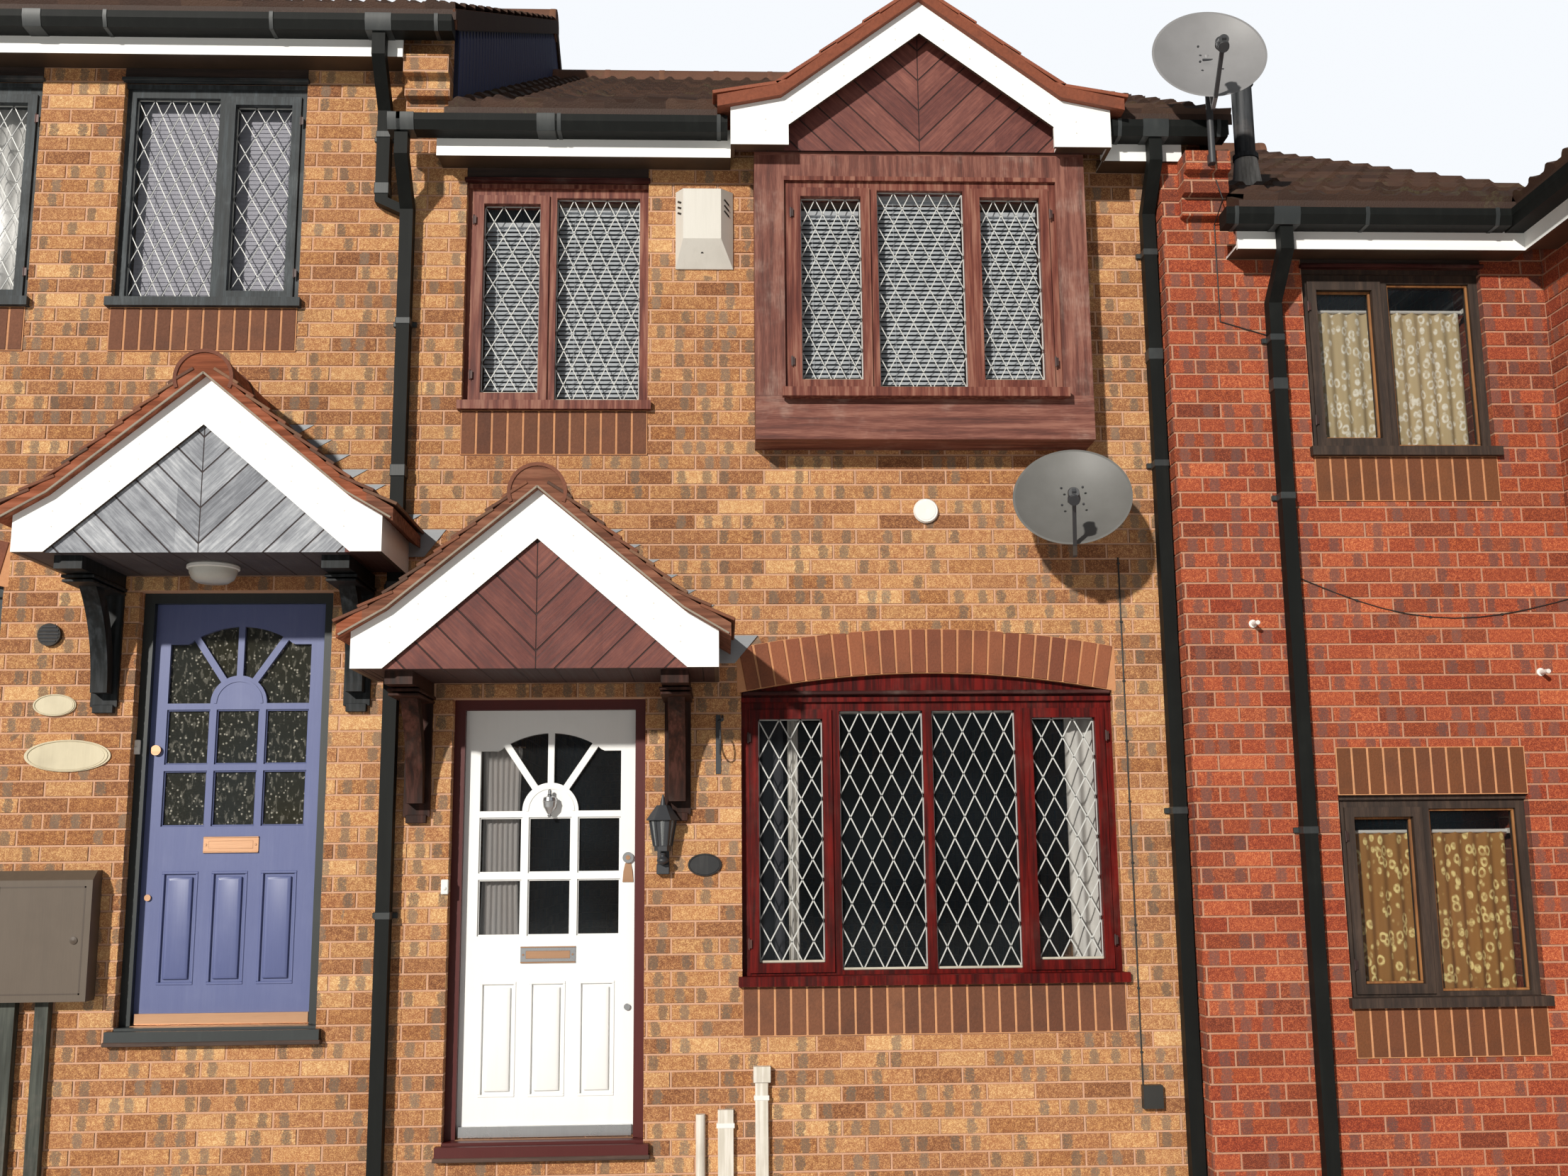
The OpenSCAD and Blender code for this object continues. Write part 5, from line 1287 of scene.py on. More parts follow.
@dataclass
class MainRoofs:
    """Rolled tiles, ridge joints and verge ends of the main roofs."""

    def gable_half(self, y: float) -> float:
        """Half the width that the gable's roof takes from the main slope at a line."""
        z = ROW.top(House.MIDDLE, y)
        top = GABLE_FOOT + GABLE_RISE + 0.06
        kink = GABLE_FOOT + GABLE_KINK + 0.06
        if z > kink:
            return max(0.0, (top - z) / math.tan(math.radians(37)))
        return 1.007

    def slope(self, shape: Shape, house: House, x0: float, x1: float, front: bool,
              ends: Optional[Callable[[float], list[Span]]] = None) -> None:
        """Tiles one slope.

        Args:
            shape: Takes the tiles.
            house: The house.
            x0: Left end.
            x1: Right end.
            front: Whether it is the street side.
            ends: Stretches of a course by its distance up the slope.
        """
        pitch = ROW.pitches[house.value]
        ey, ry = ROW.eave(house), ROW.ridge(house)
        y = ey if front else 2 * ry - ey
        up = Vector((0, math.cos(pitch) * (1 if front else -1), math.sin(pitch)))
        reach = (ry - ey) / math.cos(pitch) - 0.06
        RolledSlope(shape, Vector((0, y, ROW.top(house, ey))), Vector((1, 0, 0)), up, reach,
                    ends or (lambda d: [(x0, x1)]), seed=house.value * 2 + front).build()

    def build(self) -> None:
        """Tiles every slope and dresses the ridges."""
        left, middle, red = Shape(), Shape(), Shape()
        self.slope(left, House.LEFT, -4.054, 0.154, True)
        self.slope(left, House.LEFT, -4.054, 0.154, False)

        def split(d: float) -> list[Span]:
            """Stretches left and right of the gable."""
            half = self.gable_half(ROW.eave(House.MIDDLE) + d * math.cos(PITCH))
            if half < 0.02:
                return [(0.134, ROW.oriel), (ROW.oriel, 4.054)]
            return [(0.134, ROW.oriel - half), (ROW.oriel + half, 4.054)]

        self.slope(middle, House.MIDDLE, 0.134, 4.054, True, split)
        self.slope(middle, House.MIDDLE, 0.134, 4.054, False)

        def valley(d: float) -> list[Span]:
            """Stretch left of the wing's valley."""
            y = ROW.eave(House.RED) + d * math.cos(RED_PITCH)
            return [(4.034, min(5.847, y + 5.925 - 0.02))]

        self.slope(red, House.RED, 4.034, 5.847, True, valley)
        self.slope(red, House.RED, 4.034, 5.847, False)
        level, rise = math.cos(RED_PITCH), math.sin(RED_PITCH)
        RolledSlope(red, Vector((5.395, 0, 5.165)), Vector((0, 1, 0)), Vector((level, 0, rise)),
                    0.452 / level, lambda d: [(-1.542, 5.395 + d * level - 5.925)]).build()
        left.piece("left_roof_tiles", ROOF, "roof_tile", smooth=40)
        middle.piece("middle_roof_tiles", ROOF, "roof_tile", smooth=40)
        red.piece("red_roof_tiles", ROOF, "roof_tile", smooth=40)
        self.ridges()

    def ridges(self) -> None:
        """Adds ridge joints and the cut tile ends at the left house's verges."""
        shape = Shape()
        for house, x0, x1 in ((House.LEFT, -4.05, 0.15), (House.MIDDLE, 0.14, 4.05),
                              (House.RED, 4.04, 5.845)):
            y = ROW.ridge(house)
            z = ROW.top(house, y) - 0.125 * 0.35
            n = round((x1 - x0) / 0.45)
            for k in range(n + 1):
                x = x0 + (x1 - x0) * k / n
                a = min(max(x - 0.022, x0), x1 - 0.044)
                shape.ring([(0.0, 0.0), (0.1262, 0.0), (0.1275, 0.006), (0.1275, 0.038),
                            (0.1262, 0.044), (0.0, 0.044)], (a, y, z), (1, 0, 0), 20, None)
                shape.flush()
        clay = Pieces("ridge_collar_clay", tones=("7c5846", "896349", "6d4e40"),
                      specks=("40302a", "b08c74"), speck=0.5, moss=0.3)
        shape.piece("ridge_collars", clay, "ridge_tile", smooth=40)
        verge = Shape()
        for side in (1, -1):
            for k in range(15):
                d = 0.17 + k * 0.33
                y = ROW.eave(House.LEFT) + d * math.cos(PITCH)
                z = ROW.top(House.LEFT, y)
                y = y if side == 1 else 2 * ROW.ridge(House.LEFT) - y
                for x in (-4.0555, 0.1415):
                    verge.box((x, y - 0.15, z - 0.105), (x + 0.014, y + 0.15, z - 0.005),
                              Matrix.Rotation(side * PITCH, 4, "X"))
        verge.flush(0.002)
        verge.piece("verge_tile_ends", SMALL_TILE, "roof_tile")


@dataclass
class PlainTiles:
    """Small flat tiles on the canopies and the gable."""

    gauge: float = 0.1
    wide: float = 0.165
    thick: float = 0.014
    tilt: float = 0.125

    def slope(self, shape: Shape, foot: Vector, up: Vector, reach: float, y0: float,
              y1: Callable[[float], float]) -> None:
        """Lays the courses of one slope that rises across the row.

        Args:
            shape: Takes the tiles.
            foot: Lower end of the slope's line, at the front edge.
            up: Direction up the slope, in X and Z.
            reach: Length up the slope.
            y0: Front edge.
            y1: Back edge by the distance up the slope.
        """
        count = round(reach / self.gauge)
        step = reach / count
        angle = math.atan2(up.z, up.x)
        normal = Vector((-up.z, 0, up.x)) * (1 if up.x > 0 else -1)
        for k in range(count):
            y, odd = y0, k % 2
            end = y1((k + 0.5) * step)
            n = 0
            while y < end - 0.03:
                wide = self.wide / 2 if odd and n == 0 else self.wide
                b = min(end, y + wide)
                middle = foot + up * ((k + 0.62) * step) + normal * (self.thick / 2 + 0.004)
                tilt = self.tilt + shape.rand.uniform(-0.006, 0.006)
                half = Vector((step * 0.68, (b - y) / 2 - 0.0015, self.thick / 2))
                middle.y = (y + b) / 2
                turn = Matrix.Rotation(-angle + tilt * (1 if up.x > 0 else -1), 4, "Y")
                shape.box(middle - half, middle + half, turn)
                y, n = b, n + 1
            if k % 6 == 5:
                shape.flush(0.0018)
        shape.flush(0.0018)

    def build(self) -> None:
        """Tiles both canopies and the gable."""
        canopies, gable = Shape(), Shape()
        for x, floor in zip(ROW.doors, ROW.floors):
            z = floor + 2.1 + 0.06
            for s in SIDES:
                tip = Vector((x + s * (0.81 + 0.055), 0, z + 0.164 - 0.0327))
                bend = Vector((x + s * CANOPY_BEND, 0, z + 0.256))
                top = Vector((x, 0, z + CANOPY_RISE))
                for a, b, trim in ((tip, bend, 0.0), (bend, top, 0.085)):
                    run = b - a
                    self.slope(canopies, a, run.normalized(), run.length - trim, -0.797,
                               lambda d: -0.152)
        z = GABLE_FOOT + 0.06
        for s in SIDES:
            tip = Vector((ROW.oriel + s * 1.007, 0, z + 0.195 - 0.0132))
            bend = Vector((ROW.oriel + s * 0.693, 0, z + GABLE_KINK))
            top = Vector((ROW.oriel, 0, z + GABLE_RISE))
            rise = math.tan(PITCH)

            def back(a: Vector, up: Vector) -> Callable[[float], float]:
                """Makes the valley line of one part of the slope."""
                return lambda d: min(0.66, max(-0.15, ROW.eave(House.MIDDLE)
                                               + (a.z + up.z * d - 5.69) / rise))

            for a, b, trim in ((tip, bend, 0.0), (bend, top, 0.05)):
                run = b - a
                PlainTiles(0.3, 0.33, 0.018, 0.035).slope(gable, a, run.normalized(),
                                                          run.length - trim, -0.51,
                                                          back(a, run.normalized()))
        canopies.piece("canopy_plain_tiles", SMALL_TILE, "small_tile")
        for k in range(4):
            y = -0.508 + k * 0.3
            gable.sheet(10, 1, self.saddle(ROW.oriel, z + GABLE_RISE, y, y + 0.3, 0.105),
                        lambda u, v, k=k: (k * 0.37) % 1.0)
        gable.piece("gable_plain_tiles", GABLE_TILE, "small_tile")

    def saddle(self, x: float, z: float, y0: float, y1: float,
               half: float) -> Callable[[float, float], Vector]:
        """Makes the surface of one angled ridge tile.

        Args:
            x: The ridge's line.
            z: The ridge's height.
            y0: Front end.
            y1: Back end.
            half: Half its width.

        Returns:
            The surface.
        """
        def place(u: float, v: float) -> Vector:
            """Puts a grid point on the ridge tile."""
            s = (u - 0.5) * 2 * half
            flare = 0.006 if v < 0.5 else 0.0
            return Vector((x + s, y0 + (y1 - y0) * v, z + 0.018 + flare - abs(s) ** 1.25 * 1.05))
        return place


@dataclass
class LeadFlashing:
    """Stepped lead along the canopies' slopes, and lead in the gable's valleys."""

    reach: tuple[float, float] = (0.235, 0.245)

    def build(self) -> None:
        """Fixes the lead."""
        shape = Shape()
        for x, floor, reach in zip(ROW.doors, ROW.floors, self.reach):
            z = floor + 2.1
            for s in SIDES:
                def line(up: float, x: float = x, z: float = z, s: int = s) -> float:
                    """X of the tiles' upper face at a height."""
                    return x + s * (CANOPY_BEND - (up - z - 0.281) / 0.8397)

                low = math.ceil((z + 0.30) / COURSE) * COURSE
                for k in range(7):
                    up = low + k * COURSE
                    down = up - COURSE
                    shape.prism([(line(up) - s * 0.03, up), (line(up) + s * reach, up),
                                 (line(down) + s * 0.015, down), (line(down) - s * 0.04, down)],
                                -0.1545, -0.1575)
                    shape.flush()
                up = low - COURSE
                shape.prism([(line(up) - s * 0.02, up), (line(up) + s * (reach + 0.03), up),
                             (x + s * 0.885, up - 0.135), (x + s * 0.80, up - 0.135)],
                            -0.1545, -0.1575)
                shape.flush()
        for s in SIDES:
            a = Vector((ROW.oriel + s * 0.74, -0.13, 5.80))
            b = Vector((ROW.oriel + s * 0.02, 0.66, 6.30))
            run, half = b - a, 0.06

            def place(u: float, v: float, a: Vector = a, run: Vector = run) -> Vector:
                """Puts a grid point on the valley lead."""
                side = (u - 0.5) * 2
                return a + run * v + Vector((side * half, 0, abs(side) * 0.045 + 0.03))

            shape.sheet(6, 8, place)
            shape.flush()
        shape.piece("lead_flashings", LEAD, "flue_metal")


@dataclass
class WindowDress:
    """Leads, beads, hinges, blinds and curtains of the front windows."""

    def strips(self, x0: float, x1: float, z0: float, z1: float, dx: float,
               dz: float) -> Iterator[tuple[Span, Span]]:
        """Gives the diagonal leads of one light, cut at its edges.

        Args:
            x0: Left edge.
            x1: Right edge.
            z0: Lower edge.
            z1: Upper edge.
            dx: Width of a diamond.
            dz: Height of a diamond.

        Yields:
            Two ends of a lead.
        """
        w, h = x1 - x0, z1 - z0
        nx = max(1, round(w / dx))
        nz = max(1, round(h / dz))
        dx, dz = w / nx, h / nz
        for k in range(-nz, nx + nz + 1):
            for v0, dv in ((-k * dz, nx * dz), (k * dz, -nx * dz)):
                low, high = sorted((-v0 / dv, (h - v0) / dv))
                t0, t1 = max(0.0, low), min(1.0, high)
                if t1 - t0 > 0.01:
                    yield ((x0 + w * t0, z0 + v0 + dv * t0), (x0 + w * t1, z0 + v0 + dv * t1))

    def leads(self) -> None:
        """Fixes diamond leads on the glass."""
        shape = Shape()
        for name, w in ROW.windows().items():
            if name.startswith("red"):
                continue
            dx, dz = (0.1, 0.203) if w.arched else (0.083, 0.168)
            tone = {"left_ground": 0.1, "middle_ground": 0.85}.get(name, 0.9)
            wide = 0.006 if w.arched else 0.0042
            y = w.glass - 0.001
            for x0, x1, z0, z1, _ in w.panes():
                for a, b in self.strips(x0, x1, z0, z1, dx, dz):
                    # In the left upper windows the falling leads keep the pale tone as a painted
                    # glint, and the rising leads are dimmed as painted shade
                    rising_lead_shade = 0.35 if name in ("left_small", "left_wide") and b[1] > a[1] else 0.0
                    shape.bar((a[0], y, a[1]), (b[0], y, b[1]), wide, 0.003, tone - rising_lead_shade)
                for a, b in (((x0, z0), (x1, z0)), ((x0, z1), (x1, z1)),
                             ((x0, z0), (x0, z1)), ((x1, z0), (x1, z1))):
                    shape.bar((a[0], y, a[1]), (b[0], y, b[1]), 0.011, 0.003, tone - 0.1)
                shape.flush()
        cames = Pieces("lead_cames", tones=("3b3d3f", "6f7172", "a8aaaa", "e6e6e0"),
                       specks=("5c5e60", "d8d8d4"), speck=0.4, rough=0.5, depth=0.0004)
        shape.piece("window_leads", cames, "flue_metal")

    def beads(self) -> None:
        """Adds glazing beads and hinges to the frames."""
        putty, orange, hinges = Shape(), Shape(), Shape()
        for name, w in ROW.windows().items():
            shape = orange if name.startswith("red") else putty
            for x0, x1, z0, z1, opens in w.panes():
                y = w.glass - (0.04 if opens else 0.028)
                yg = w.glass
                t = 0.011
                for low, high in border(x0, x1, z0, z1, t):
                    if name.startswith("red") or low[1] == z0 and high[0] == x1:
                        shape.box((low[0], yg - 0.013, low[1]), (high[0], yg + 0.001, high[1]))
                if opens:
                    x = x0 - 0.049 if x0 - w.x + w.w / 2 < 0.12 else x1 + 0.049
                    for z in (z0 + 0.09, z1 - 0.09):
                        hinges.rod((x, y - 0.008, z - 0.026), (x, y - 0.008, z + 0.026), 0.0042, 10)
                        hinges.box((x - 0.005, y - 0.011, z - 0.02),
                                   (x + 0.013, y - 0.009, z + 0.02))
                shape.flush(0.002)
            hinges.flush()
        putty.piece("glazing_putty", Paint("putty", "c9c2b2", "6d675c", dirt_share=0.6),
                    "white_board")
        orange.piece("red_window_beads",
                     Wood("bead_wood", ("6b4326", "8f5e33", "a5713f"), "b9926a"), "maroon_frame")
        hinges.piece("casement_hinges", Paint("hinge_metal", "3a2a28", "8a4a3c",
                                              metal=0.3, dirt_share=0.7), "flue_metal")

    def blinds(self) -> None:
        """Hangs slatted blinds in the upper tan windows."""
        shape, lilac = Shape(), Shape()
        for name, drop, tilt in (("middle_small", 0.90, 56), ("oriel", 0.92, 54),
                                 ("left_small", 1.0, 80)):
            w = ROW.windows()[name]
            target = lilac if name == "left_small" else shape
            y = w.glass + 0.062
            turn = Matrix.Rotation(math.radians(tilt), 4, "X")
            for x0, x1, z0, z1, opens in w.panes():
                low = -0.03 if opens and name == "left_small" else 0.004
                x0, x1 = x0 + low, x1 - low
                top = z0 + (z1 - z0) * (drop if opens or name == "left_small" else drop + 0.05)
                for k in range(int((top - z0 + 0.03) / 0.0235)):
                    z = top - k * 0.0235
                    target.box((x0, y - 0.0125, z - 0.0006), (x1, y + 0.0125, z + 0.0006),
                               turn, 0.8)
                target.box((x0, y - 0.014, top + 0.012), (x1, y + 0.014, top + 0.034), None, 0.6)
                for share in (0.2, 0.8):
                    x = x0 + (x1 - x0) * share
                    target.box((x - 0.0008, y - 0.014, z0 - 0.03), (x + 0.0008, y - 0.0132, top),
                               None, 0.2)
                target.flush()
        shape.piece("white_blinds", Paint("blind_slat", "e2e7ec", "bcc5ce",
                                          rough=0.5, grain=Grain.X),
                    "white_plastic")
        lilac.piece("lilac_blind", Paint("lilac_slat", "c9c8d4", "abaabb",
                                         rough=0.5, grain=Grain.X), "white_plastic")
        rear, tubes = Shape(), Shape()
        for i, x, half, foot, head in ROW.rear_openings():
            z0, z1 = ROW.floors[i] + max(foot, 0.9), ROW.floors[i] + head
            a, b = x - half - 0.02, x + half + 0.02
            rear.box((a, 7.938, z0 - 0.02), (b, 7.94, z1))
            rear.box((a, 7.933, z0 - 0.045), (b, 7.945, z0 - 0.02))
            tubes.rod((a, 7.925, z1 + 0.01), (b, 7.925, z1 + 0.01), 0.0245, 16)
            rear.flush(0.001)
        rear.piece("rear_blinds", Paint("rear_blind_cloth", "c4bba8", "8e8674", rough=0.9,
                                        marks=1.5), "white_plastic")
        tubes.piece("rear_blind_tubes", WHITE_PLASTIC, "white_plastic", smooth=40)

    def curtain(self, name: str, finish: Finish, x0: float, x1: float, z0: float, z1: float,
                y: float, fullness: float) -> None:
        """Hangs one curtain with even folds.

        Args:
            name: The piece's name.
            finish: Its cloth.
            x0: Left edge.
            x1: Right edge.
            z0: Lower edge.
            z1: Upper edge.
            y: Middle of its folds.
            fullness: Depth of the folds.
        """
        folds = max(2, round((x1 - x0) / 0.075))
        columns, rows = folds * 10, 12

        def place(u: float, v: float) -> Vector:
            """Puts a grid point on the cloth."""
            deep = fullness * (0.55 + 0.45 * (1 - v))
            sway = math.sin(u * 9.1) * 0.004 * (1 - v)
            return Vector((x0 + (x1 - x0) * u, y + sway + deep * math.sin(u * folds * math.tau),
                           z0 + (z1 - z0) * v))

        shape = Shape()
        shape.sheet(columns, rows, place)
        made = shape.piece(name, finish, "white_plastic", smooth=80)

    def curtains(self) -> None:
        """Hangs the nets and curtains on their rails."""
        rails = Shape()
        for name in ("left_wide", "left_ground", "middle_ground", "red_lower", "red_upper"):
            w = ROW.windows()[name]
            z = w.z + w.h - (0.17 if name.startswith("red") else 0.06)
            a, b = w.x - w.w / 2 + 0.012, w.x + w.w / 2 - 0.012
            rails.rod((a, w.rod, z), (b, w.rod, z), 0.009, 10)
            for x in (a + 0.01, b - 0.01):
                rails.box((x - 0.012, w.y + 0.071, z - 0.012), (x + 0.012, w.y + 0.134, z + 0.012))
            rails.flush()
        rails.piece("curtain_rails", Paint("rail_white", "e4e2dc", "a9a69c"),
                    "white_plastic", smooth=40)
        net = Cloth("net_cloth", "f2f1ee", "c9c8c4")
        pale = Cloth("pale_cloth", "fdfbf6", "d8d2c8")
        grey = Cloth("grey_cloth", "4a4a50", "2c2c31")
        gold = Cloth("ring_net", "b98446", "7d5628", "ffeaa0")
        straw = Cloth("straw_net", "e0cba0", "ab9468", "fffaea")
        for name, fullness in (("left_wide", 0.02), ("left_ground", 0.018)):
            w = ROW.windows()[name]
            self.curtain(f"{name}_net", net, w.x - 0.70, w.x + 0.70, w.z + 0.07,
                         w.z + w.h - 0.06, w.rod, fullness)
        w = ROW.windows()["middle_ground"]
        lights = sorted((x0, x1) for x0, x1, *_ in w.panes())
        first, last = lights[0], lights[-1]
        d = first[1] - first[0]
        for n, a, b, cloth in (("left", first[0] - 0.035, first[0] + 0.40 * d, grey),
                               ("middle", first[0] + 0.47 * d, first[0] + 0.64 * d, pale),
                               ("right", last[0] + 0.60 * d, last[1] + 0.03, pale)):
            self.curtain(f"middle_ground_{n}_curtain", cloth, a, b, w.z + 0.06,
                         w.z + w.h - 0.06, w.rod, 0.02)
        for name in ("red_lower", "red_upper"):
            w = ROW.windows()[name]
            self.curtain(f"{name}_net", gold if name == "red_lower" else straw, w.x - 0.41,
                         w.x + 0.41, w.z + 0.06, w.z + w.h - 0.17, w.rod, 0.014)

    def eaves_shadow_boards_and_drips(self) -> None:
        """Adds dark boards between the upper windows and the soffit as painted shadow of the eaves,
        and the drip mouldings.
        """
        dark, drip = Shape(), Shape()
        for name in ("left_small", "left_wide", "middle_small", "red_upper"):
            w = ROW.windows()[name]
            face = ROW.red_face if name == "red_upper" else ROW.face
            top = {"red_upper": 4.95, "middle_small": 5.475}.get(name, 6.0)
            # Dark board from the window head up to the soffit: painted shadow of the eaves
            dark.box((w.x - w.w / 2, face - 0.006, w.z + w.h), (w.x + w.w / 2, face + 0.02, top))
            drip.box((w.x - w.w / 2 - 0.01, face - 0.03, w.z + w.h - 0.002),
                     (w.x + w.w / 2 + 0.01, face + 0.01, w.z + w.h + 0.016))
            dark.flush(0.001)
            drip.flush(0.003)
        w = ROW.windows()["middle_ground"]
        drip.box((w.x - 0.895, w.y - 0.032, 2.787), (w.x + 0.895, w.y + 0.01, 2.806))
        drip.flush(0.004)
        dark.piece("eaves_shadow_boards", Wood("eaves_shadow_wood", ("1f1511", "2d201b", "3d2c25"),
                                          "5a4a40", grain=Grain.X), "brown_wood")
        drip.piece("drip_mouldings", Dressed("drip_wood", left=("26292b", "34383a", "44494b"),
                                             right=("2a0f0e", "3d1a18", "57302c"), line=0.0,
                                             grain=Grain.X), "brown_wood")

    def build(self) -> None:
        """Dresses every front window."""
        self.leads()
        self.beads()
        self.blinds()
        self.curtains()
        self.eaves_shadow_boards_and_drips()


@dataclass
class DoorDress:
    """Mouldings, plates and small fittings of the two front doors."""

    gap: float = 0.007
    leaf: float = 0.838
    out: float = -0.047

    def panel(self, shape: Shape, x: float, z: float) -> None:
        """Adds the raised field and moulding of one door panel.

        Args:
            shape: Takes the panel.
            x: Its middle.
            z: Its underside.
        """
        w, h = 0.168, 0.52
        made = bmesh.ops.create_cube(shape.part, size=1.0, matrix=Matrix.Translation(
            (x, self.out + 0.0035, z + h / 2)) @ Matrix.Diagonal((w - 0.052, 0.011, h - 0.052, 1)))
        front = min(touched(made["verts"]), key=lambda f: f.calc_center_median().y)
        bmesh.ops.inset_region(shape.part, faces=[front], thickness=0.018, depth=0.0)
        bmesh.ops.translate(shape.part, verts=front.verts[:], vec=(0, -0.005, 0))
        t = 0.012
        for low, high in border(x - w / 2, x + w / 2, z, z + h, t):
            shape.block((low[0], self.out - 0.0035, low[1]), (high[0], self.out + 0.008, high[1]))
        shape.flush(0.0022)

    def letter(self, shape: Shape, x: float, z: float) -> None:
        """Adds the flap and rim of a letter plate."""
        y = self.out - 0.006
        shape.block((x - 0.104, y - 0.001, z + 0.02), (x + 0.104, y + 0.003, z + 0.056))
        for s in SIDES:
            shape.rod((x + s * 0.116, y - 0.003, z + 0.038), (x + s * 0.116, y, z + 0.038),
                      0.005, 12)
        for low, high in (((x - 0.129, z), (x + 0.129, z + 0.006)),
                          ((x - 0.129, z + 0.070), (x + 0.129, z + 0.076))):
            shape.block((low[0], y - 0.003, low[1]), (high[0], y + 0.001, high[1]))
        shape.flush(0.0012)

    def bars(self, shape: Shape, x: float, foot: float) -> None:
        """Adds beads round the square panes of a leaf."""
        pane = (self.leaf - 0.166 - 0.06) / 3
        for k in range(3):
            for r in range(2):
                x0 = x - self.leaf / 2 + 0.083 + k * (pane + 0.03)
                z0 = foot + 0.905 + r * 0.292
                for low, high in border(x0, x0 + pane, z0, z0 + 0.262, 0.007):
                    shape.block((low[0], self.out + 0.008, low[1]),
                                (high[0], self.out + 0.0185, high[1]))
        shape.flush(0.002)
        hub = foot + 0.905 + 2 * 0.262 + 0.06
        turns = [math.pi * k / 20 for k in range(21)]
        shape.prism(band(x, hub, 0.116, 0.104, turns), self.out - 0.0035, self.out + 0.001, 0.5)
        shape.flush()

    def door_curtain(self, x: float, foot: float) -> None:
        """Hangs a narrow curtain behind the left panes of the white leaf.

        Args:
            x: Middle of the leaf.
            foot: Underside of the leaf.
        """
        a, b, z0, z1 = x - 0.335, x - 0.145, foot + 0.86, foot + 1.80
        back = self.out + 0.044
        rods = Shape()
        for z in (z0 + 0.004, z1 - 0.004):
            rods.rod((a - 0.012, back + 0.010, z), (b + 0.012, back + 0.010, z), 0.0028, 8)
            for px in (a - 0.012, b + 0.012):
                rods.box((px - 0.004, back - 0.0005, z - 0.004),
                         (px + 0.004, back + 0.012, z + 0.004))
        rods.piece("door_curtain_rods", COPPER, "brass", "middle_door", 40)

        def place(u: float, v: float) -> Vector:
            """Puts a grid point on the cloth."""
            pinch = 1.0 - 0.10 * math.sin(v * math.pi)
            return Vector(((a + b) / 2 + (u - 0.5) * (b - a) * pinch,
                           back + 0.0105 + 0.0055 * math.sin(u * 7 * math.tau + v * 1.6),
                           z0 + (z1 - z0) * v))

        shape = Shape()
        shape.sheet(84, 16, place)
        made = shape.piece("door_curtain", Cloth("door_curtain_cloth", "ffffff", "f3ded0"),
                           "white_plastic", "middle_door", 80)
        area = sum(p.area for p in made.data.polygons)
        area / (z1 - z0)
        z1 - z0

    def build(self) -> None:
        """Dresses both leaves and their frames."""
        finishes = (("left_door", VIOLET, "violet_paint"), ("middle_door", WHITE, "white_paint"))
        for i, (body, finish, slot) in enumerate(finishes):
            x, foot = ROW.doors[i], ROW.floors[i] + self.gap
            shape = Shape()
            for k in (-1, 0, 1):
                self.panel(shape, x + k * 0.23, foot + 0.175)
            self.bars(shape, x, foot)
            shape.piece(f"{body}_mouldings", finish, slot, body, 30)
            shape = Shape()
            self.letter(shape, x, foot + 0.78)
            shape.piece(f"{body}_letter_flap", COPPER, "brass", body, 30)
        x, foot = ROW.doors[1], ROW.floors[1] + self.gap
        self.door_curtain(x, foot)
        shape = Shape()
        z = foot + 1.489 + 0.03
        shape.ring([(0.0, 0.0), (0.026, 0.0), (0.03, 0.003), (0.027, 0.006), (0.0, 0.007)],
                   (x, self.out - 0.001, z - 0.004), (0, -1, 0), 28)
        for h, r in ((-0.052, 0.012), (0.014, 0.0355), (0.045, 0.014), (0.068, 0.007)):
            shape.ring([(r - 0.004, -0.003), (r, 0.0), (r - 0.004, 0.003), (r - 0.004, -0.003)],
                       (x, self.out - 0.034, z + h), (0, 0, 1), 28)
        shape.piece("urn_knocker_bands", STEEL, "brass", "middle_door", 40)
        shape = Shape()
        lock_x = x + self.leaf / 2 - 0.0457
        shape.prism([(lock_x + a, foot + b) for a, b in (
            (-0.026, 1.15), (0.026, 1.15), (0.022, 1.20), (0.014, 1.238), (0, 1.246),
            (-0.014, 1.238), (-0.022, 1.20))], self.out - 0.0002, self.out - 0.005)
        shape.flush(0.001)
        shape.rod((lock_x, self.out - 0.014, foot + 1.265),
                  (lock_x, self.out - 0.017, foot + 1.265), 0.011, 24)
        shape.block((lock_x - 0.0012, self.out - 0.0178, foot + 1.259),
                    (lock_x + 0.0012, self.out - 0.0168, foot + 1.271))
        shape.piece("middle_door_plate", COPPER, "brass", "middle_door", 40)
        sills, strips, bell = Shape(), Shape(), Shape()
        for i in (0, 1):
            x, z = ROW.doors[i], ROW.floors[i]
            strips.block((x - 0.425, -0.056, z - 0.001), (x + 0.425, -0.05, z + 0.012))
            strips.block((x - 0.43, -0.09, z - 0.0005), (x + 0.43, -0.052, z + 0.0035))
            strips.flush(0.001)
            for k in range(5):
                sx = x - 0.38 + k * 0.19
                strips.rod((sx, -0.072, z + 0.003), (sx, -0.072, z + 0.0048), 0.004, 10)
            strips.flush()
            sills.block((x - 0.49, -0.199, z - 0.078), (x + 0.49, -0.151, z - 0.058))
            sills.flush(0.003)
        strips.piece("threshold_strips", COPPER, "brass", smooth=30)
        sills.piece("door_sill_noses", Wood("sill_wood", ("33231c", "46332a", "584036"), "7a6659",
                                            0.3, Grain.X), "brown_wood")
        for x, z, y in ((0.183, 1.895, -0.154), (-1.296, 2.56, -0.094)):
            bell.block((x - 0.017, y - 0.014, z - 0.034), (x + 0.017, y + 0.004, z + 0.034))
            bell.flush(0.003)
            bell.ring([(0.0, 0.0), (0.009, 0.0), (0.009, 0.003), (0.006, 0.005), (0.0, 0.0055)],
                      (x, y - 0.014, z - 0.006), (0, -1, 0), 20)
            bell.flush()
        bell.piece("bell_pushes", WHITE_PLASTIC, "white_plastic", smooth=30)


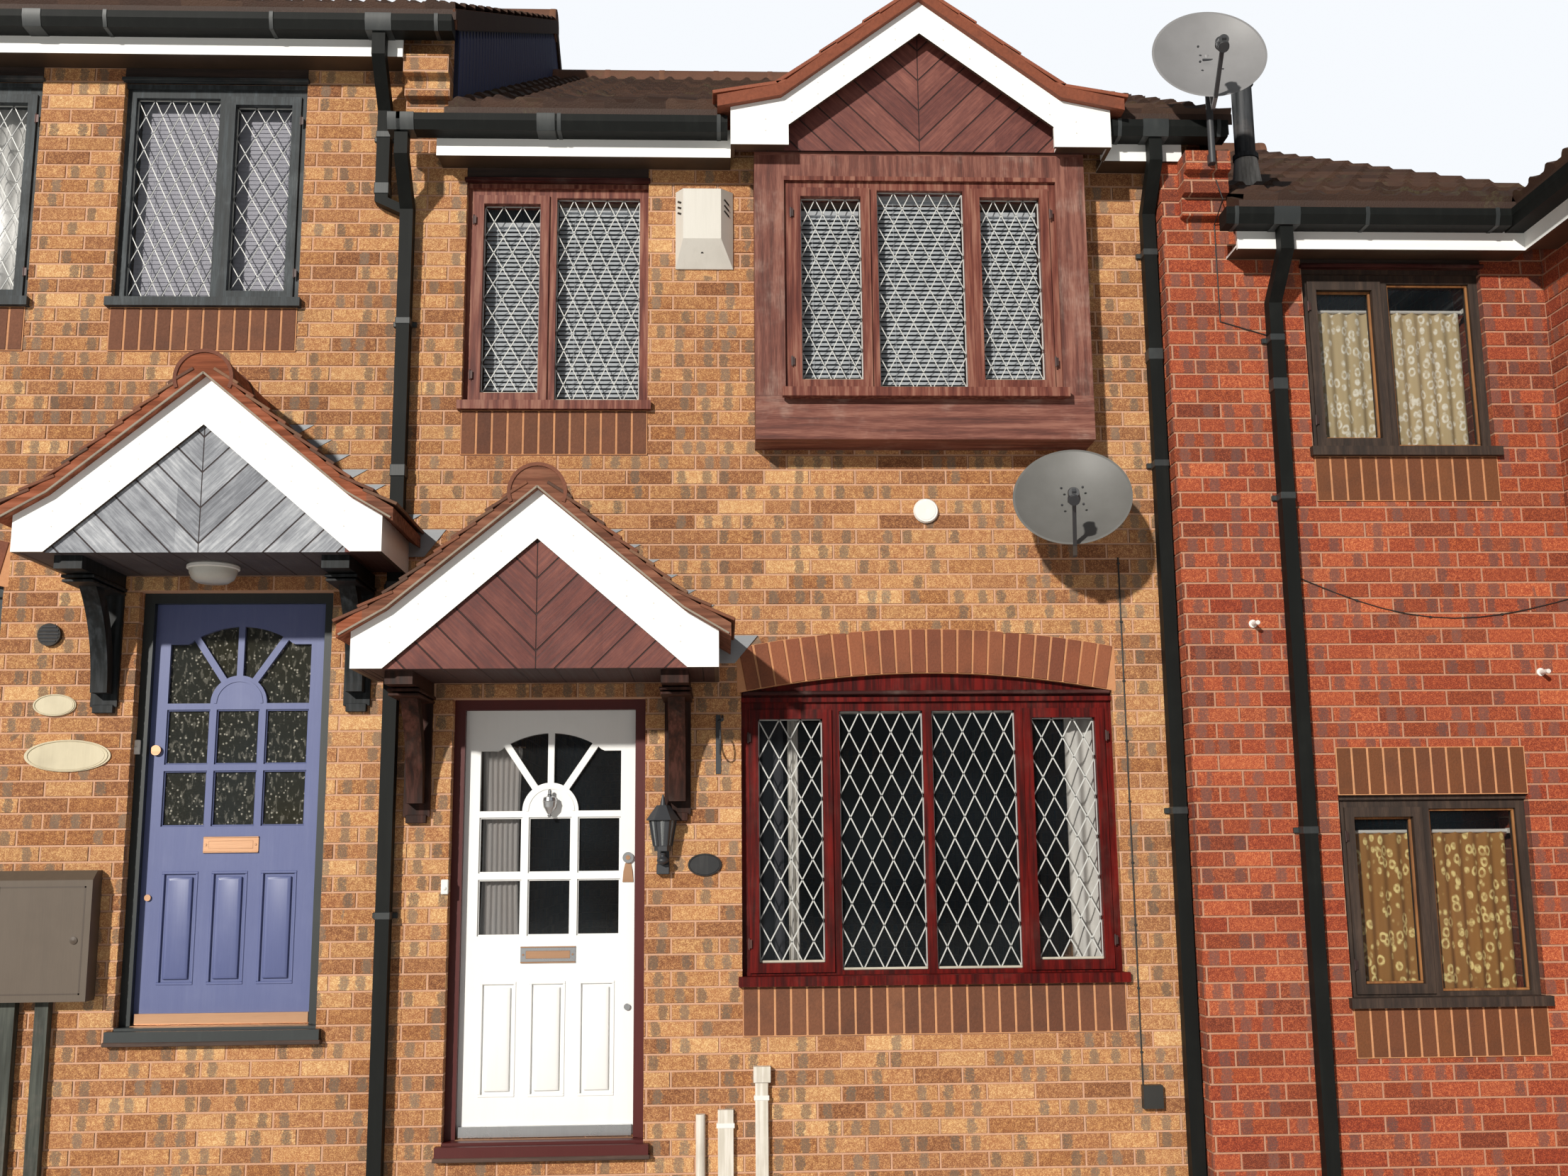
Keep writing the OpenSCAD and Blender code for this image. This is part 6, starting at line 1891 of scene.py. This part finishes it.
@dataclass
class CanopyDress:
    """Mouldings, nails, corbel stones and the saddle tiles of the canopies and the gable."""

    def build(self) -> None:
        """Dresses both canopies and the gable."""
        nails, mould, ridge, verge = Shape(), Shape(), Shape(), Shape()
        for i, (x, floor) in enumerate(zip(ROW.doors, ROW.floors)):
            z = floor + 2.1
            for s in SIDES:
                for k in range(5):
                    a = 0.16 + k * 0.12
                    nx = x + s * a
                    nz = z + CANOPY_RISE - 0.11 - a * math.tan(math.radians(40.5))
                    for d in (-0.035, 0.035):
                        nails.rod((nx, -0.7515, nz + d), (nx, -0.7495, nz + d), 0.0035, 8)
                nails.flush()
                bx = x + s * (0.59, 0.612)[i]
                w = 0.062
                for k, (t, out) in enumerate(((0.014, 0.012), (0.012, 0.007))):
                    zz = z - 0.06 - 0.02 - k * 0.02
                    mould.box((bx - w - out, -0.56, zz), (bx + w + out, -0.16, zz + t), None, None)
                mould.box((bx - 0.048, -0.183, floor + 1.44), (bx + 0.048, -0.152, floor + 1.478))
                mould.flush(0.002)
            top = z + CANOPY_RISE - 0.018
            for y in (-0.796, -0.48):
                self.arc(ridge, x, top, y)
            z += 0.06
            for s in SIDES:
                for a, b, c, d in ((0.0, 0.752, CANOPY_BEND, 0.202),
                                   (CANOPY_BEND, 0.202, 0.855, 0.085)):
                    verge.bar((x + s * a, -0.792, z + b), (x + s * c, -0.792, z + d), 0.008, 0.012)
            verge.flush()
        for s in SIDES:
            for k in range(6):
                a = 0.12 + k * 0.13
                nx = ROW.oriel + s * a
                nz = GABLE_FOOT + GABLE_RISE - 0.085 - a * math.tan(math.radians(37))
                for d in (-0.03, 0.03):
                    nails.rod((nx, -0.4765, nz + d), (nx, -0.4745, nz + d), 0.0035, 8)
            nails.flush()
        nails.piece("board_nails", Paint("nail_paint", "d9d7cf", "8d857a",
                                         dirt_share=0.3), "flue_metal")
        mould.piece("bracket_mouldings", BRACKET_PAINT_AND_SHADE, "brown_wood")
        verge.piece("verge_undercloaks", Paint("undercloak_grey", "9b8f80", "4d4238",
                                               dirt_share=0.5, rough=0.9), "flue_metal")
        clay = Pieces("canopy_ridge_clay", tones=("6b4434", "8a5640", "7d5a45"),
                      specks=("3c2a22", "ad866a"), speck=0.5, moss=0.3)
        ridge.piece("canopy_ridge_collars", clay, "ridge_tile", smooth=40)

    def arc(self, shape: Shape, x: float, z: float, y: float) -> None:
        """Bends a flat band over a canopy's apex, down to both slopes.

        Args:
            shape: Takes the band.
            x: The arc's middle.
            z: Its height.
            y: Front face.
        """
        turns = [math.radians(-22 + 224 * k / 22) for k in range(23)]
        shape.prism(band(x, z, 0.134, 0.118, turns), y, y + 0.03)
        shape.flush()


@dataclass
class Rainwater:
    """Brackets, unions, collars and outlets of the gutters and downpipes."""

    def clip(self, shape: Shape, house: House, x: float, rear: bool = False,
             wide: float = 0.02) -> None:
        """Adds a band round the gutter at one place.

        Args:
            shape: Takes the band.
            house: The house.
            x: The place.
            rear: Whether it is at the garden side.
            wide: The band's width.
        """
        y0, z = ROW.front(house) - 0.175, ROW.soffits[house.value] + 0.155
        line = [(0.0, -0.083), (-0.0965, -0.083), (-0.1155, -0.034), (-0.1155, 0.003),
                (-0.109, 0.003), (-0.109, -0.0315), (-0.0915, -0.0765), (0.0, -0.0765)]
        if rear:
            line = [(2 * ROW.ridge(house) - y0 - max(a, -0.111), b) for a, b in line]
        else:
            line = [(y0 + a, b) for a, b in line]
        shape.extrude([(x - wide / 2, a, z + b) for a, b in line], (wide, 0, 0), 0.0)
        shape.flush(0.0008)

    def collar(self, shape: Shape, x: float, house: House, z: float, lugs: bool = True) -> None:
        """Adds a socket or clip round a downpipe."""
        y = ROW.front(house) - 0.012 - 0.0325
        h = 0.035 if lugs else 0.06
        shape.block((x - 0.037, y - 0.037, z), (x + 0.037, y + 0.037, z + h))
        if lugs:
            shape.block((x - 0.058, y + 0.026, z + 0.004), (x + 0.058, y + 0.0445, z + h - 0.004))
        shape.flush(0.003)

    def build(self) -> None:
        """Fixes the gutter and pipe fittings."""
        shape = Shape()
        runs = ((House.LEFT, -4.0, 0.1), (House.MIDDLE, -0.13, 1.5), (House.MIDDLE, 3.44, 4.0),
                (House.RED, 3.95, 5.3))
        for house, a, b in runs:
            n = max(2, math.ceil((b - a) / 0.95) + 1)
            for k in range(n):
                self.clip(shape, house, a + 0.03 + (b - a - 0.06) * k / (n - 1))
        self.clip(shape, House.LEFT, -1.9, wide=0.09)
        self.clip(shape, House.MIDDLE, 0.62, wide=0.09)
        for x, house in ((-0.215, House.LEFT), (-0.088, House.MIDDLE), (3.652, House.MIDDLE),
                         (4.228, House.RED)):
            self.clip(shape, house, x, wide=0.13)
        for house, a, b in ((House.LEFT, -4.0, 0.1), (House.MIDDLE, 0.13, 4.0),
                            (House.RED, 4.03, 5.84)):
            for k in range(5):
                self.clip(shape, house, a + 0.03 + (b - a - 0.06) * k / 4, True)
        for x, house, marks in ((-0.088, House.MIDDLE, (0.35, 1.75, 3.3, 4.62)),
                                (3.652, House.MIDDLE, (0.5, 2.2, 3.9, 5.0)),
                                (4.218, House.RED, (0.4, 2.1, 3.7, 4.5))):
            for z in marks:
                self.collar(shape, x, house, z)
            self.collar(shape, x, house, marks[2] + 0.55, False)
        self.collar(shape, -0.215, House.LEFT, 5.60)
        self.collar(shape, -0.215, House.LEFT, 5.30, False)
        shape.piece("rainwater_fittings", Paint("fitting_black", "2b2f30", "6b6e6a",
                                                dirt_share=0.3, rough=0.4), "black_plastic",
                    smooth=30)


@dataclass
class Cladding:
    """Upright boards of the cladding between two roofs."""

    def build(self) -> None:
        """Fixes the cover strips."""
        shape = Shape()
        for x, high, low in ((0.1325, House.LEFT, House.MIDDLE), (4.0325, House.MIDDLE, House.RED)):
            for k in range(84):
                y = -0.13 + k * 0.1
                top, foot = ROW.over(high, y) - 0.118, ROW.over(low, y) + 0.01
                if top - foot > 0.04:
                    shape.box((x - 0.002, y, foot), (x + 0.006, y + 0.082, top), None)
                if k % 30 == 29:
                    shape.flush(0.002)
        shape.flush(0.002)
        # Blue tint on the dark cladding boards is a painted sky reflection
        shape.piece("cladding_boards", Paint("cladding_sky_tint", "3b4268", "565c7c",
                                             dirt_share=0.5, rough=0.5), "dark_cladding")


@dataclass
class WallFittings:
    """Small fittings on the walls: box slots, lantern glass, plaques, bracket, cables and clips."""

    def oval(self, shape: Shape, x: float, z: float, w: float, h: float, y: float) -> None:
        """Adds a bare oval plaque with a raised rim."""
        for rx, deep in ((1.0, 0.008), (0.86, 0.0095)):
            corners = [(x + math.cos(a) * w / 2 * rx, z + math.sin(a) * h / 2 * rx)
                       for a in (math.tau * k / 40 for k in range(40))]
            shape.prism(corners, y - deep, y + 0.002 if rx == 1.0 else y - 0.007, 0.5)
            shape.flush()
        rim = [(math.cos(math.tau * k / 40), math.sin(math.tau * k / 40)) for k in range(41)]
        for (a, b), (c, d) in zip(rim, rim[1:]):
            shape.rod((x + a * w / 2 * 0.93, y - 0.0095, z + b * h / 2 * 0.93),
                      (x + c * w / 2 * 0.93, y - 0.0095, z + d * h / 2 * 0.93), 0.003, 6)
        shape.flush()

    def alarm(self) -> None:
        """Adds three slanted dark bars to each cheek of the alarm box as painted shade of its
        slots, and a screw head on its cover.
        """
        shape = Shape()
        x, z = 1.395, 5.141
        for side, foot, top in ((-1, 0.145, 0.105), (1, 0.145, 0.085)):
            a, b = Vector((x + side * foot, -0.162)), Vector((x + side * top, -0.235))
            way = (b - a).normalized()
            turn = (Matrix.Rotation(math.atan2(way.y, way.x), 4, "Z")
                    @ Matrix.Rotation(math.radians(-28 * side), 4, "Y"))
            for k in range(3):
                centre = Vector((*a.lerp(b, 0.55), z + 0.075 + k * 0.03))
                half = Vector((0.02, 0.003, 0.0045))
                # Dark bars standing for slots: painted shade of the slot hollows
                shape.box(centre - half, centre + half, turn, 0.5)
        shape.rod((x - 0.01, -0.200, z - 0.135), (x - 0.01, -0.196, z - 0.13), 0.007, 12)
        shape.piece("alarm_slots", Paint("alarm_slot_shade_and_screw", "2c2c2a", "5e5d58"), "black_plastic")

    def bulkhead(self) -> None:
        """Fixes the round light under the left canopy's ceiling."""
        shape = Shape()
        x, y, z = -0.876, -0.42, 3.375
        shape.ring([(0.0, 0.0), (0.112, 0.0), (0.118, 0.006), (0.118, 0.018), (0.112, 0.022),
                    (0.0, 0.022)], (x, y, z), (0, 0, -1), 36)
        shape.piece("bulkhead_base", WHITE_PLASTIC, "white_plastic", smooth=30)
        shape = Shape()
        shape.ring([(0.0, 0.018), (0.110, 0.018), (0.106, 0.04), (0.094, 0.066), (0.07, 0.082),
                    (0.0, 0.086)], (x, y, z), (0, 0, -1), 36)
        shape.piece("bulkhead_glass", Paint("opal_glass", "c9c7bf", "9a978c", rough=0.2,
                                            coat=0.4), "white_plastic", smooth=50)

    def lantern(self) -> None:
        """Glazes the lantern and adds its bars and lower body."""
        x, y, z = 1.2, -0.225, 1.945
        shape, glass = Shape(), Shape()
        for k in range(6):
            a = math.tau * k / 6
            shape.rod((x + math.cos(a) * 0.043, y + math.sin(a) * 0.043, z + 0.127),
                      (x + math.cos(a) * 0.063, y + math.sin(a) * 0.063, z + 0.247), 0.0035, 6)
        shape.ring([(0.0, -0.012), (0.024, 0.0), (0.03, 0.012), (0.018, 0.024), (0.01, 0.03),
                    (0.016, 0.045), (0.0, 0.05)], (x, y, z + 0.052), (0, 0, 1), 16)
        shape.ring([(0.0, 0.0), (0.012, 0.0), (0.016, 0.02), (0.006, 0.034), (0.0, 0.036)],
                   (x, y, z + 0.262), (0, 0, 1), 16)
        shape.block((x - 0.03, -0.20, z - 0.002), (x + 0.03, -0.151, z + 0.045))
        shape.flush(0.003)
        glass.rod((x, y, z + 0.13), (x, y, z + 0.245), 0.039, 6, 0.059)
        shape.piece("lantern_bars", BLACK_METAL, "black_metal", smooth=35)
        glass.piece("lantern_glass", Glass("lantern_pane", tone="cfd3d2", see=0.35), "window_glass")
        bulb = Shape()
        bulb.ball((x, y, z + 0.175), (0.019, 0.019, 0.034), 16)
        bulb.rod((x, y, z + 0.128), (x, y, z + 0.15), 0.011, 12)
        bulb.piece("lantern_bulb", WHITE_PLASTIC, "white_plastic", smooth=60)

    def plaques(self) -> None:
        """Fixes the bare oval plaques and the basket bracket."""
        shape = Shape()
        self.oval(shape, -1.59, 2.517, 0.40, 0.15, ROW.face - 0.004)
        self.oval(shape, -1.666, 2.755, 0.20, 0.105, ROW.face - 0.004)
        shape.piece("oval_plaques", Paint("plaque_cream", "cfc3a4", "6d6046",
                                          dirt_share=0.4, coat=0.4), "white_plastic", smooth=30)
        shape = Shape()
        self.oval(shape, 1.395, 1.985, 0.16, 0.105, ROW.face - 0.004)
        shape.piece("dark_plaque", Paint("plaque_dark", "1d1d1f", "8f8c84",
                                         dirt_share=0.25, coat=0.5), "black_metal", smooth=30)
        iron = Shape()
        x, z = 1.46, 2.66
        iron.block((x - 0.012, -0.160, z - 0.25), (x + 0.012, -0.1535, z + 0.03))
        points = [(x, -0.16, z)]
        for k in range(1, 13):
            a = math.pi * k / 12
            points.append((x + 0.02, -0.16 - 0.115 * k / 12, z + 0.02 * math.sin(a)))
        iron.path(points, 0.006, 8)
        for k in range(14):
            a, b = (-0.5 + k * 0.16), (-0.5 + (k + 1) * 0.16)
            iron.rod((x + 0.01, -0.225 - 0.06 * math.cos(a * 2), z - 0.10 - 0.06 * math.sin(a * 2)),
                     (x + 0.01, -0.225 - 0.06 * math.cos(b * 2), z - 0.10 - 0.06 * math.sin(b * 2)),
                     0.0045, 8)
        iron.piece("basket_bracket", BLACK_METAL, "black_metal", smooth=40)

    def pipes(self) -> None:
        """Adds overflow pipes, clips and clipped cables."""
        pale, clips, wire = Shape(), Shape(), Shape()
        for x, z in ((4.03, 3.10), (5.42, 2.86)):
            pale.rod((x, -0.298, z), (x, -0.38, z - 0.004), 0.011, 14)
            pale.rod((x, -0.301, z), (x, -0.309, z), 0.02, 16)
        for x0, x1, y, top in ((1.454, 1.525, -0.185, 0.88), (1.626, 1.684, -0.19, 1.0)):
            for k in range(3):
                z = 0.12 + k * (top - 0.2) / 2
                pale.block((x0 - 0.006, y - 0.0025, z), (x1 + 0.006, y + 0.03, z + 0.022))
        pale.flush(0.002)
        pale.piece("pipe_clips", WHITE_PLASTIC, "pipe_plastic", smooth=30)
        for k in range(9):
            z = 1.1 + k * 0.29
            clips.block((3.423, -0.1605, z), (3.437, -0.149, z + 0.009))
        wire.path([(3.93, -0.458, 5.30), (3.96, -0.455, 5.2), (3.96, -0.3065, 5.13),
                   (3.96, -0.3065, 4.62), (4.19, -0.3065, 4.55), (4.19, -0.3065, 3.42),
                   (4.19, -0.3065, 0.9)], 0.0032, 8)
        sag = [(4.19, -0.3065, 3.36)]
        for k in range(1, 13):
            t = k / 12
            sag.append((4.19 + 1.42 * t, -0.3065, 3.36 - 0.16 * math.sin(math.pi * t) - 0.14 * t))
        wire.path(sag, 0.0028, 8)
        for p in sag[::3]:
            clips.block((p[0] - 0.005, -0.3115, p[2] - 0.005), (p[0] + 0.005, -0.299, p[2] + 0.005))
        clips.flush(0.001)
        wire.flush()
        clips.piece("cable_clips", Paint("clip_black", "2b2b29", "66645c"), "black_cable")
        wire.piece("red_wall_wires", Paint("wire_black", "232322", "5a5850"),
                   "black_cable", smooth=60)

    def dishes(self) -> None:
        """Adds receivers' ends, bolts and mast clamps to the dishes."""
        shape = Shape()
        for x, y, z, lean, twist in DishCoat.heads:
            turn = (Matrix.Rotation(math.radians(-twist), 4, "Z")
                    @ Matrix.Rotation(math.radians(-lean), 4, "X"))
            base = Vector((x, y, z))

            def at(p: Sequence[float], base: Vector = base, turn: Matrix = turn) -> Vector:
                """Places a point of the dish's own frame."""
                return base + turn @ (Vector(p) + Vector((0, -0.082, 0)))

            shape.rod(at((0, -0.268, -0.228)), at((0, -0.226, -0.148)), 0.0265, 20)
            shape.rod(at((0, -0.262, -0.216)), at((0, -0.256, -0.205)), 0.029, 20)
            for s in SIDES:
                for t in SIDES:
                    shape.rod(at((s * 0.05, -0.004, t * 0.05)), at((s * 0.05, 0.004, t * 0.05)),
                              0.006, 8)
            for dz in (-0.03, 0.02):
                shape.block((x - 0.026, y - 0.024, z + dz - 0.006),
                            (x + 0.026, y + 0.024, z + dz + 0.006))
        shape.flush(0.0012)
        shape.piece("dish_fittings", Paint("dish_dark", "3a3b3e", "7c7c7c", metal=0.2),
                    "dish_grey", smooth=35)

    def vents(self) -> None:
        """Adds louvres to the wall vents and a door line to the meter box."""
        shape, line = Shape(), Shape()
        x, z = 2.484, 3.689
        shape.ring([(0.0, 0.026), (0.02, 0.0275), (0.046, 0.0275), (0.048, 0.026)],
                   (x, -0.15, z), (0, -1, 0), 28)
        shape.piece("white_vent_cap", WHITE_PLASTIC, "white_plastic", smooth=30)
        shape = Shape()
        x, z = -1.71, 3.09
        for k in range(5):
            h = -0.034 + k * 0.017
            half = math.sqrt(max(0.0, 0.048 ** 2 - h * h))
            shape.box((x - half, -0.1795, z + h - 0.002), (x + half, -0.1755, z + h + 0.0055),
                      Matrix.Rotation(0.5, 4, "X"), 0.5)
        shape.flush(0.0008)
        shape.piece("vent_louvres", BLACK_METAL, "black_plastic", smooth=30)
        x, z = -1.6181, 1.405
        for low, high in (((x - 0.196, z + 0.03), (x + 0.196, z + 0.037)),
                          ((x - 0.196, z + 0.505), (x + 0.196, z + 0.512)),
                          ((x - 0.196, z + 0.03), (x - 0.189, z + 0.512)),
                          ((x + 0.189, z + 0.03), (x + 0.196, z + 0.512))):
            line.block((low[0], -0.2605, low[1]), (high[0], -0.2585, high[1]))
        line.flush()
        line.ring([(0.0, 0.0), (0.017, 0.0), (0.017, 0.004), (0.0, 0.006)],
                  (x + 0.155, -0.26, z + 0.27), (0, -1, 0), 24)
        line.piece("meter_box_lines", Paint("meter_line", "4a3c30", "362c24"),
                   "meter_plastic", smooth=30)

    def build(self) -> None:
        """Fixes every wall fitting."""
        self.alarm()
        self.bulkhead()
        self.lantern()
        self.plaques()
        self.pipes()
        self.dishes()
        self.vents()


WHITE = Paint("white_door_paint", "f4f4f2", "a9a69c", dirt_share=0.14, rough=0.3, coat=0.2)
VIOLET = Paint("violet_door_paint", "5a6390", "7f86a8", dirt_share=0.35, rough=0.36, coat=0.15)
COPPER = Paint("copper_plate", "c49a7a", "8a5f45", dirt_share=0.5, rough=0.28,
               metal=0.85, grain=Grain.X)
STEEL = Paint("polished_steel", "c3c4c6", "8c8d8f", dirt_share=0.3, rough=0.2, metal=0.95)
BLACK_METAL = Paint("lantern_black", "34363a", "5f6166", dirt_share=0.4, rough=0.42)
WHITE_PLASTIC = Paint("pale_plastic", "ecebe6", "a8a498", dirt_share=0.3, rough=0.4)
# Near-black bracket wood: dark paint, darkened further as painted shade under the canopies
BRACKET_PAINT_AND_SHADE = Dressed("bracket_wood_and_shade", left=("121415", "1d2022", "2e3134"),
                   right=("1f0f0a", "31180f", "472820"), line=-0.1, rough=0.45, worn=0.06)


@dataclass
class NodeFinishes:
    """Finishes of the solids that the row is built from."""

    def table(self) -> dict[str, Finish]:
        """Gives each solid's finish by its name."""
        tan = Brick("tan_brickwork", TAN)
        split = Brick("party_brickwork", TAN, RED, 3.95)
        red = Brick("red_brickwork", RED)
        # White boards: their undersides carry a brown stain deepened as painted shade
        board = Paint("white_board", "fbfbf8", "a3a596", dirt_share=0.2, grain=Grain.X,
                      underside_stain_and_shade="5a4636")
        black = Paint("black_plastic", "141615", "3a3c38", dirt_share=0.25, rough=0.5, sheen=0.15)
        slab = Paint("floor_concrete", "8f8c86", "6b6862", dirt_share=0.7, rough=0.9, marks=3.0)
        clay = Pieces("gable_verge_clay", tones=("8f5a42", "a5654a"), specks=("3f261c", "c99878"),
                      speck=0.75, scale=60.0)
        canopy = Dressed("canopy_verge_clay", left=("6f3c28", "8c4f36", "a3634a"),
                         right=("5f3c2e", "7c4f3d", "91634e"), line=-0.1, grain=Grain.X,
                         rough=0.8, worn=0.3, faded="5d4a3a")
        return {
            "left_front_lower": tan, "left_front_upper": tan, "door_pier": tan,
            "middle_front_lower": tan, "middle_front_upper": tan, "red_front_wall": red,
            "end_walls": split, "party_walls": split, "rear_wall": split,
            "window_arches": MORTAR, "floors": slab, "left_roof": ROOF, "middle_roof": ROOF,
            "red_roof": ROOF,
            "ridge_tiles": Pieces("ridge_clay", tones=("7a5947", "846350"),
                                  specks=("3e2f28", "ab8c78"), speck=0.6, moss=0.4),
            # Near-black cladding with a blue tint as painted sky reflection
            "party_wall_cladding": Paint("cladding_base_sky_tint", "1b2038", "3a3e50"),
            "oriel_bay": Wood("oriel_wood", ("4a2219", "6f3d31", "936151"), "b59c8e", 0.45,
                              upright=(4.22, 5.46)),
            "gable_bargeboards": board, "eaves_boards": board, "canopy_boards": board,
            "gable_boarding": VBoards("gable_boards", (ROW.oriel,)),
            "canopy_boarding": VBoards("canopy_v_boards", ROW.doors,
                                       other=("54575e", "7b7e85", "9fa2a8", "c9cbcf")),
            "gable_roof": clay, "canopy_roofs": canopy,
            "canopy_brackets": BRACKET_PAINT_AND_SHADE,
            "left_windows": Wood("left_frames", ("1f2325", "2f3437", "454c50"), "7c8488", 0.3),
            "middle_windows": Dressed("middle_frames", left=("300100", "520300", "6c0c05"),
                                      right=("552a24", "784438", "966857"), line=3.9, on_z=True,
                                      worn=0.05, faded="a08478", rough=0.42),
            "red_windows": Wood("red_frames", ("231a14", "33261e", "47372c"), "6b5a4e", 0.2),
            "rear_joinery": WHITE, "window_glass": Glass("window_pane"),
            "left_door": VIOLET, "middle_door": WHITE,
            "left_door_frame": Paint("left_frame_paint", "23292a", "565d5c", rough=0.4),
            "middle_door_frame": Paint("maroon_paint", "4d0e0a", "6e2a20", rough=0.36),
            # Patterned door glass with painted glints
            "left_door_glass": Glass("streaky_pane", tone="3a382c", see=0.55, pattern=0.55,
                                     glint_tone="cfcabb"),
            "middle_door_glass": Glass("door_pane", tone="1f1e1d", see=0.3),
            "left_door_furniture": COPPER, "middle_door_furniture": STEEL,
            "gutters": black, "downpipes": black,
            "alarm_box": Paint("alarm_cover", "d9d5cc", "8f8a7c", dirt_share=0.3),
            "satellite_dishes": DishCoat("dish_coat"),
            "wall_lantern": BLACK_METAL,
            "meter_box": Paint("meter_cover", "5c4f42", "40372e", dirt_share=0.35,
                               rough=0.5),
            "roof_flue": Dressed("flue_coat", left=("8f8b86", "b4b0aa", "cdc9c4"),
                                 right=("2b2d2f", "3c3e41", "4c4e51"), line=5.745, on_z=True,
                                 rough=0.45),
            "wall_vents": Dressed("vent_plastic", left=("161616", "222222", "303030"),
                                  right=("e6e5e0", "f0efea", "f6f5f1"), line=0.0, worn=0.08),
            "service_pipes": Dressed("trunking", left=("33352f", "424540", "53564f"),
                                     right=("c9c2b4", "dcd6cb", "e9e4db"), line=0.0),
            "dish_cable": Paint("cable_coat", "2a2a28", "565450")}

    def build(self) -> None:
        """Gives every solid its finish."""
        for name, finish in self.table().items():
            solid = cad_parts[name]
            solid.data.materials.clear()
            solid.data.materials.append(finish.material())
        log.info("%d solids dressed", len(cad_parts))


@dataclass
class Studio:
    """Plain floor, soft light and the camera at the photograph's place."""

    stand: tuple[float, float, float] = (1.48054, -7.539, 2.01822)
    axes: tuple[tuple[float, float, float], ...] = (
        (0.999191923, -0.039025608, -0.009617875),
        (0.002760283, -0.172099372, 0.985075727),
        (-0.040098409, -0.984306257, -0.171852581))
    focal: float = 2173.55

    def camera(self) -> None:
        """Stands the camera where the photograph was taken."""
        lens = bpy.data.cameras.new("row_camera")
        lens.sensor_width = 36.0
        lens.lens = self.focal / 2212 * 36.0
        lens.clip_end = 200.0
        made = bpy.data.objects.new("row_camera", lens)
        turn = Matrix(self.axes).transposed().to_4x4()
        made.matrix_world = Matrix.Translation(self.stand) @ turn
        bpy.context.scene.collection.objects.link(made)
        bpy.context.scene.camera = made

    def floor(self) -> None:
        """Lays a pale floor under the row."""
        ground = bmesh.new()
        bmesh.ops.create_grid(ground, x_segments=4, y_segments=4, size=45.0,
                              matrix=Matrix.Translation((1.0, 0.0, -0.002)))
        mesh = bpy.data.meshes.new("studio_floor")
        ground.to_mesh(mesh)
        ground.free()
        made = bpy.data.objects.new("studio_floor", mesh)
        bpy.context.scene.collection.objects.link(made)
        mesh.materials.append(Paint("floor_paper", "dcdcda", "cfcfcc", dirt_share=0.2,
                                    rough=0.8).material())

    def light(self) -> None:
        """Lights the row softly from the left and above, under an even sky."""
        world = bpy.data.worlds.new("studio_sky")
        bpy.context.scene.world = world
        world.use_nodes = True
        net = Net(world.node_tree)
        path = world.node_tree.nodes.new("ShaderNodeLightPath")
        seen = Wire(net, path.outputs["Is Camera Ray"])
        sky = world.node_tree.nodes["Background"]
        white = net.add("ShaderNodeBackground", None, {0: (0.93, 0.96, 1.0, 1.0), 1: 1.0})
        sky.inputs[0].default_value = (0.90, 0.95, 1.0, 1.0)
        sky.inputs[1].default_value = 0.13
        both = net.add("ShaderNodeMixShader", None,
                       {0: seen, 1: Wire(net, sky.outputs[0]), 2: white})
        net.tree.links.new(both.socket, world.node_tree.nodes["World Output"].inputs[0])
        for name, turn, power, angle, tint in (
                ("key_sun", (69, 0, -28), 3.75, 2.0, (1.0, 0.96, 0.89)),
                ("fill_sun", (60, 0, 30), 0.12, 30.0, (0.95, 0.97, 1.0)),
                ("rear_sun", (66, 0, 210), 1.7, 10.0, (1.0, 0.98, 0.95))):
            lamp = bpy.data.lights.new(name, "SUN")
            lamp.energy, lamp.angle, lamp.color = power, math.radians(angle), tint
            made = bpy.data.objects.new(name, lamp)
            made.rotation_euler = [math.radians(a) for a in turn]
            bpy.context.scene.collection.objects.link(made)

    def build(self) -> None:
        """Sets up the studio."""
        bpy.context.scene.view_settings.view_transform = "Standard"
        self.camera()
        self.floor()
        self.light()


def main() -> None:
    """Builds and dresses the whole row."""
    logging.basicConfig(level=logging.INFO, format="%(name)s: %(message)s")
    Studio().build()
    NodeFinishes().build()
    for part in (BrickFaces(), Soldiers(), MainRoofs(), PlainTiles(), LeadFlashing(), WindowDress(),
                 DoorDress(), CanopyDress(), Rainwater(), Cladding(), WallFittings()):
        part.build()
        log.info("built %s", type(part).__name__)


if __name__ == "__main__":
    main()
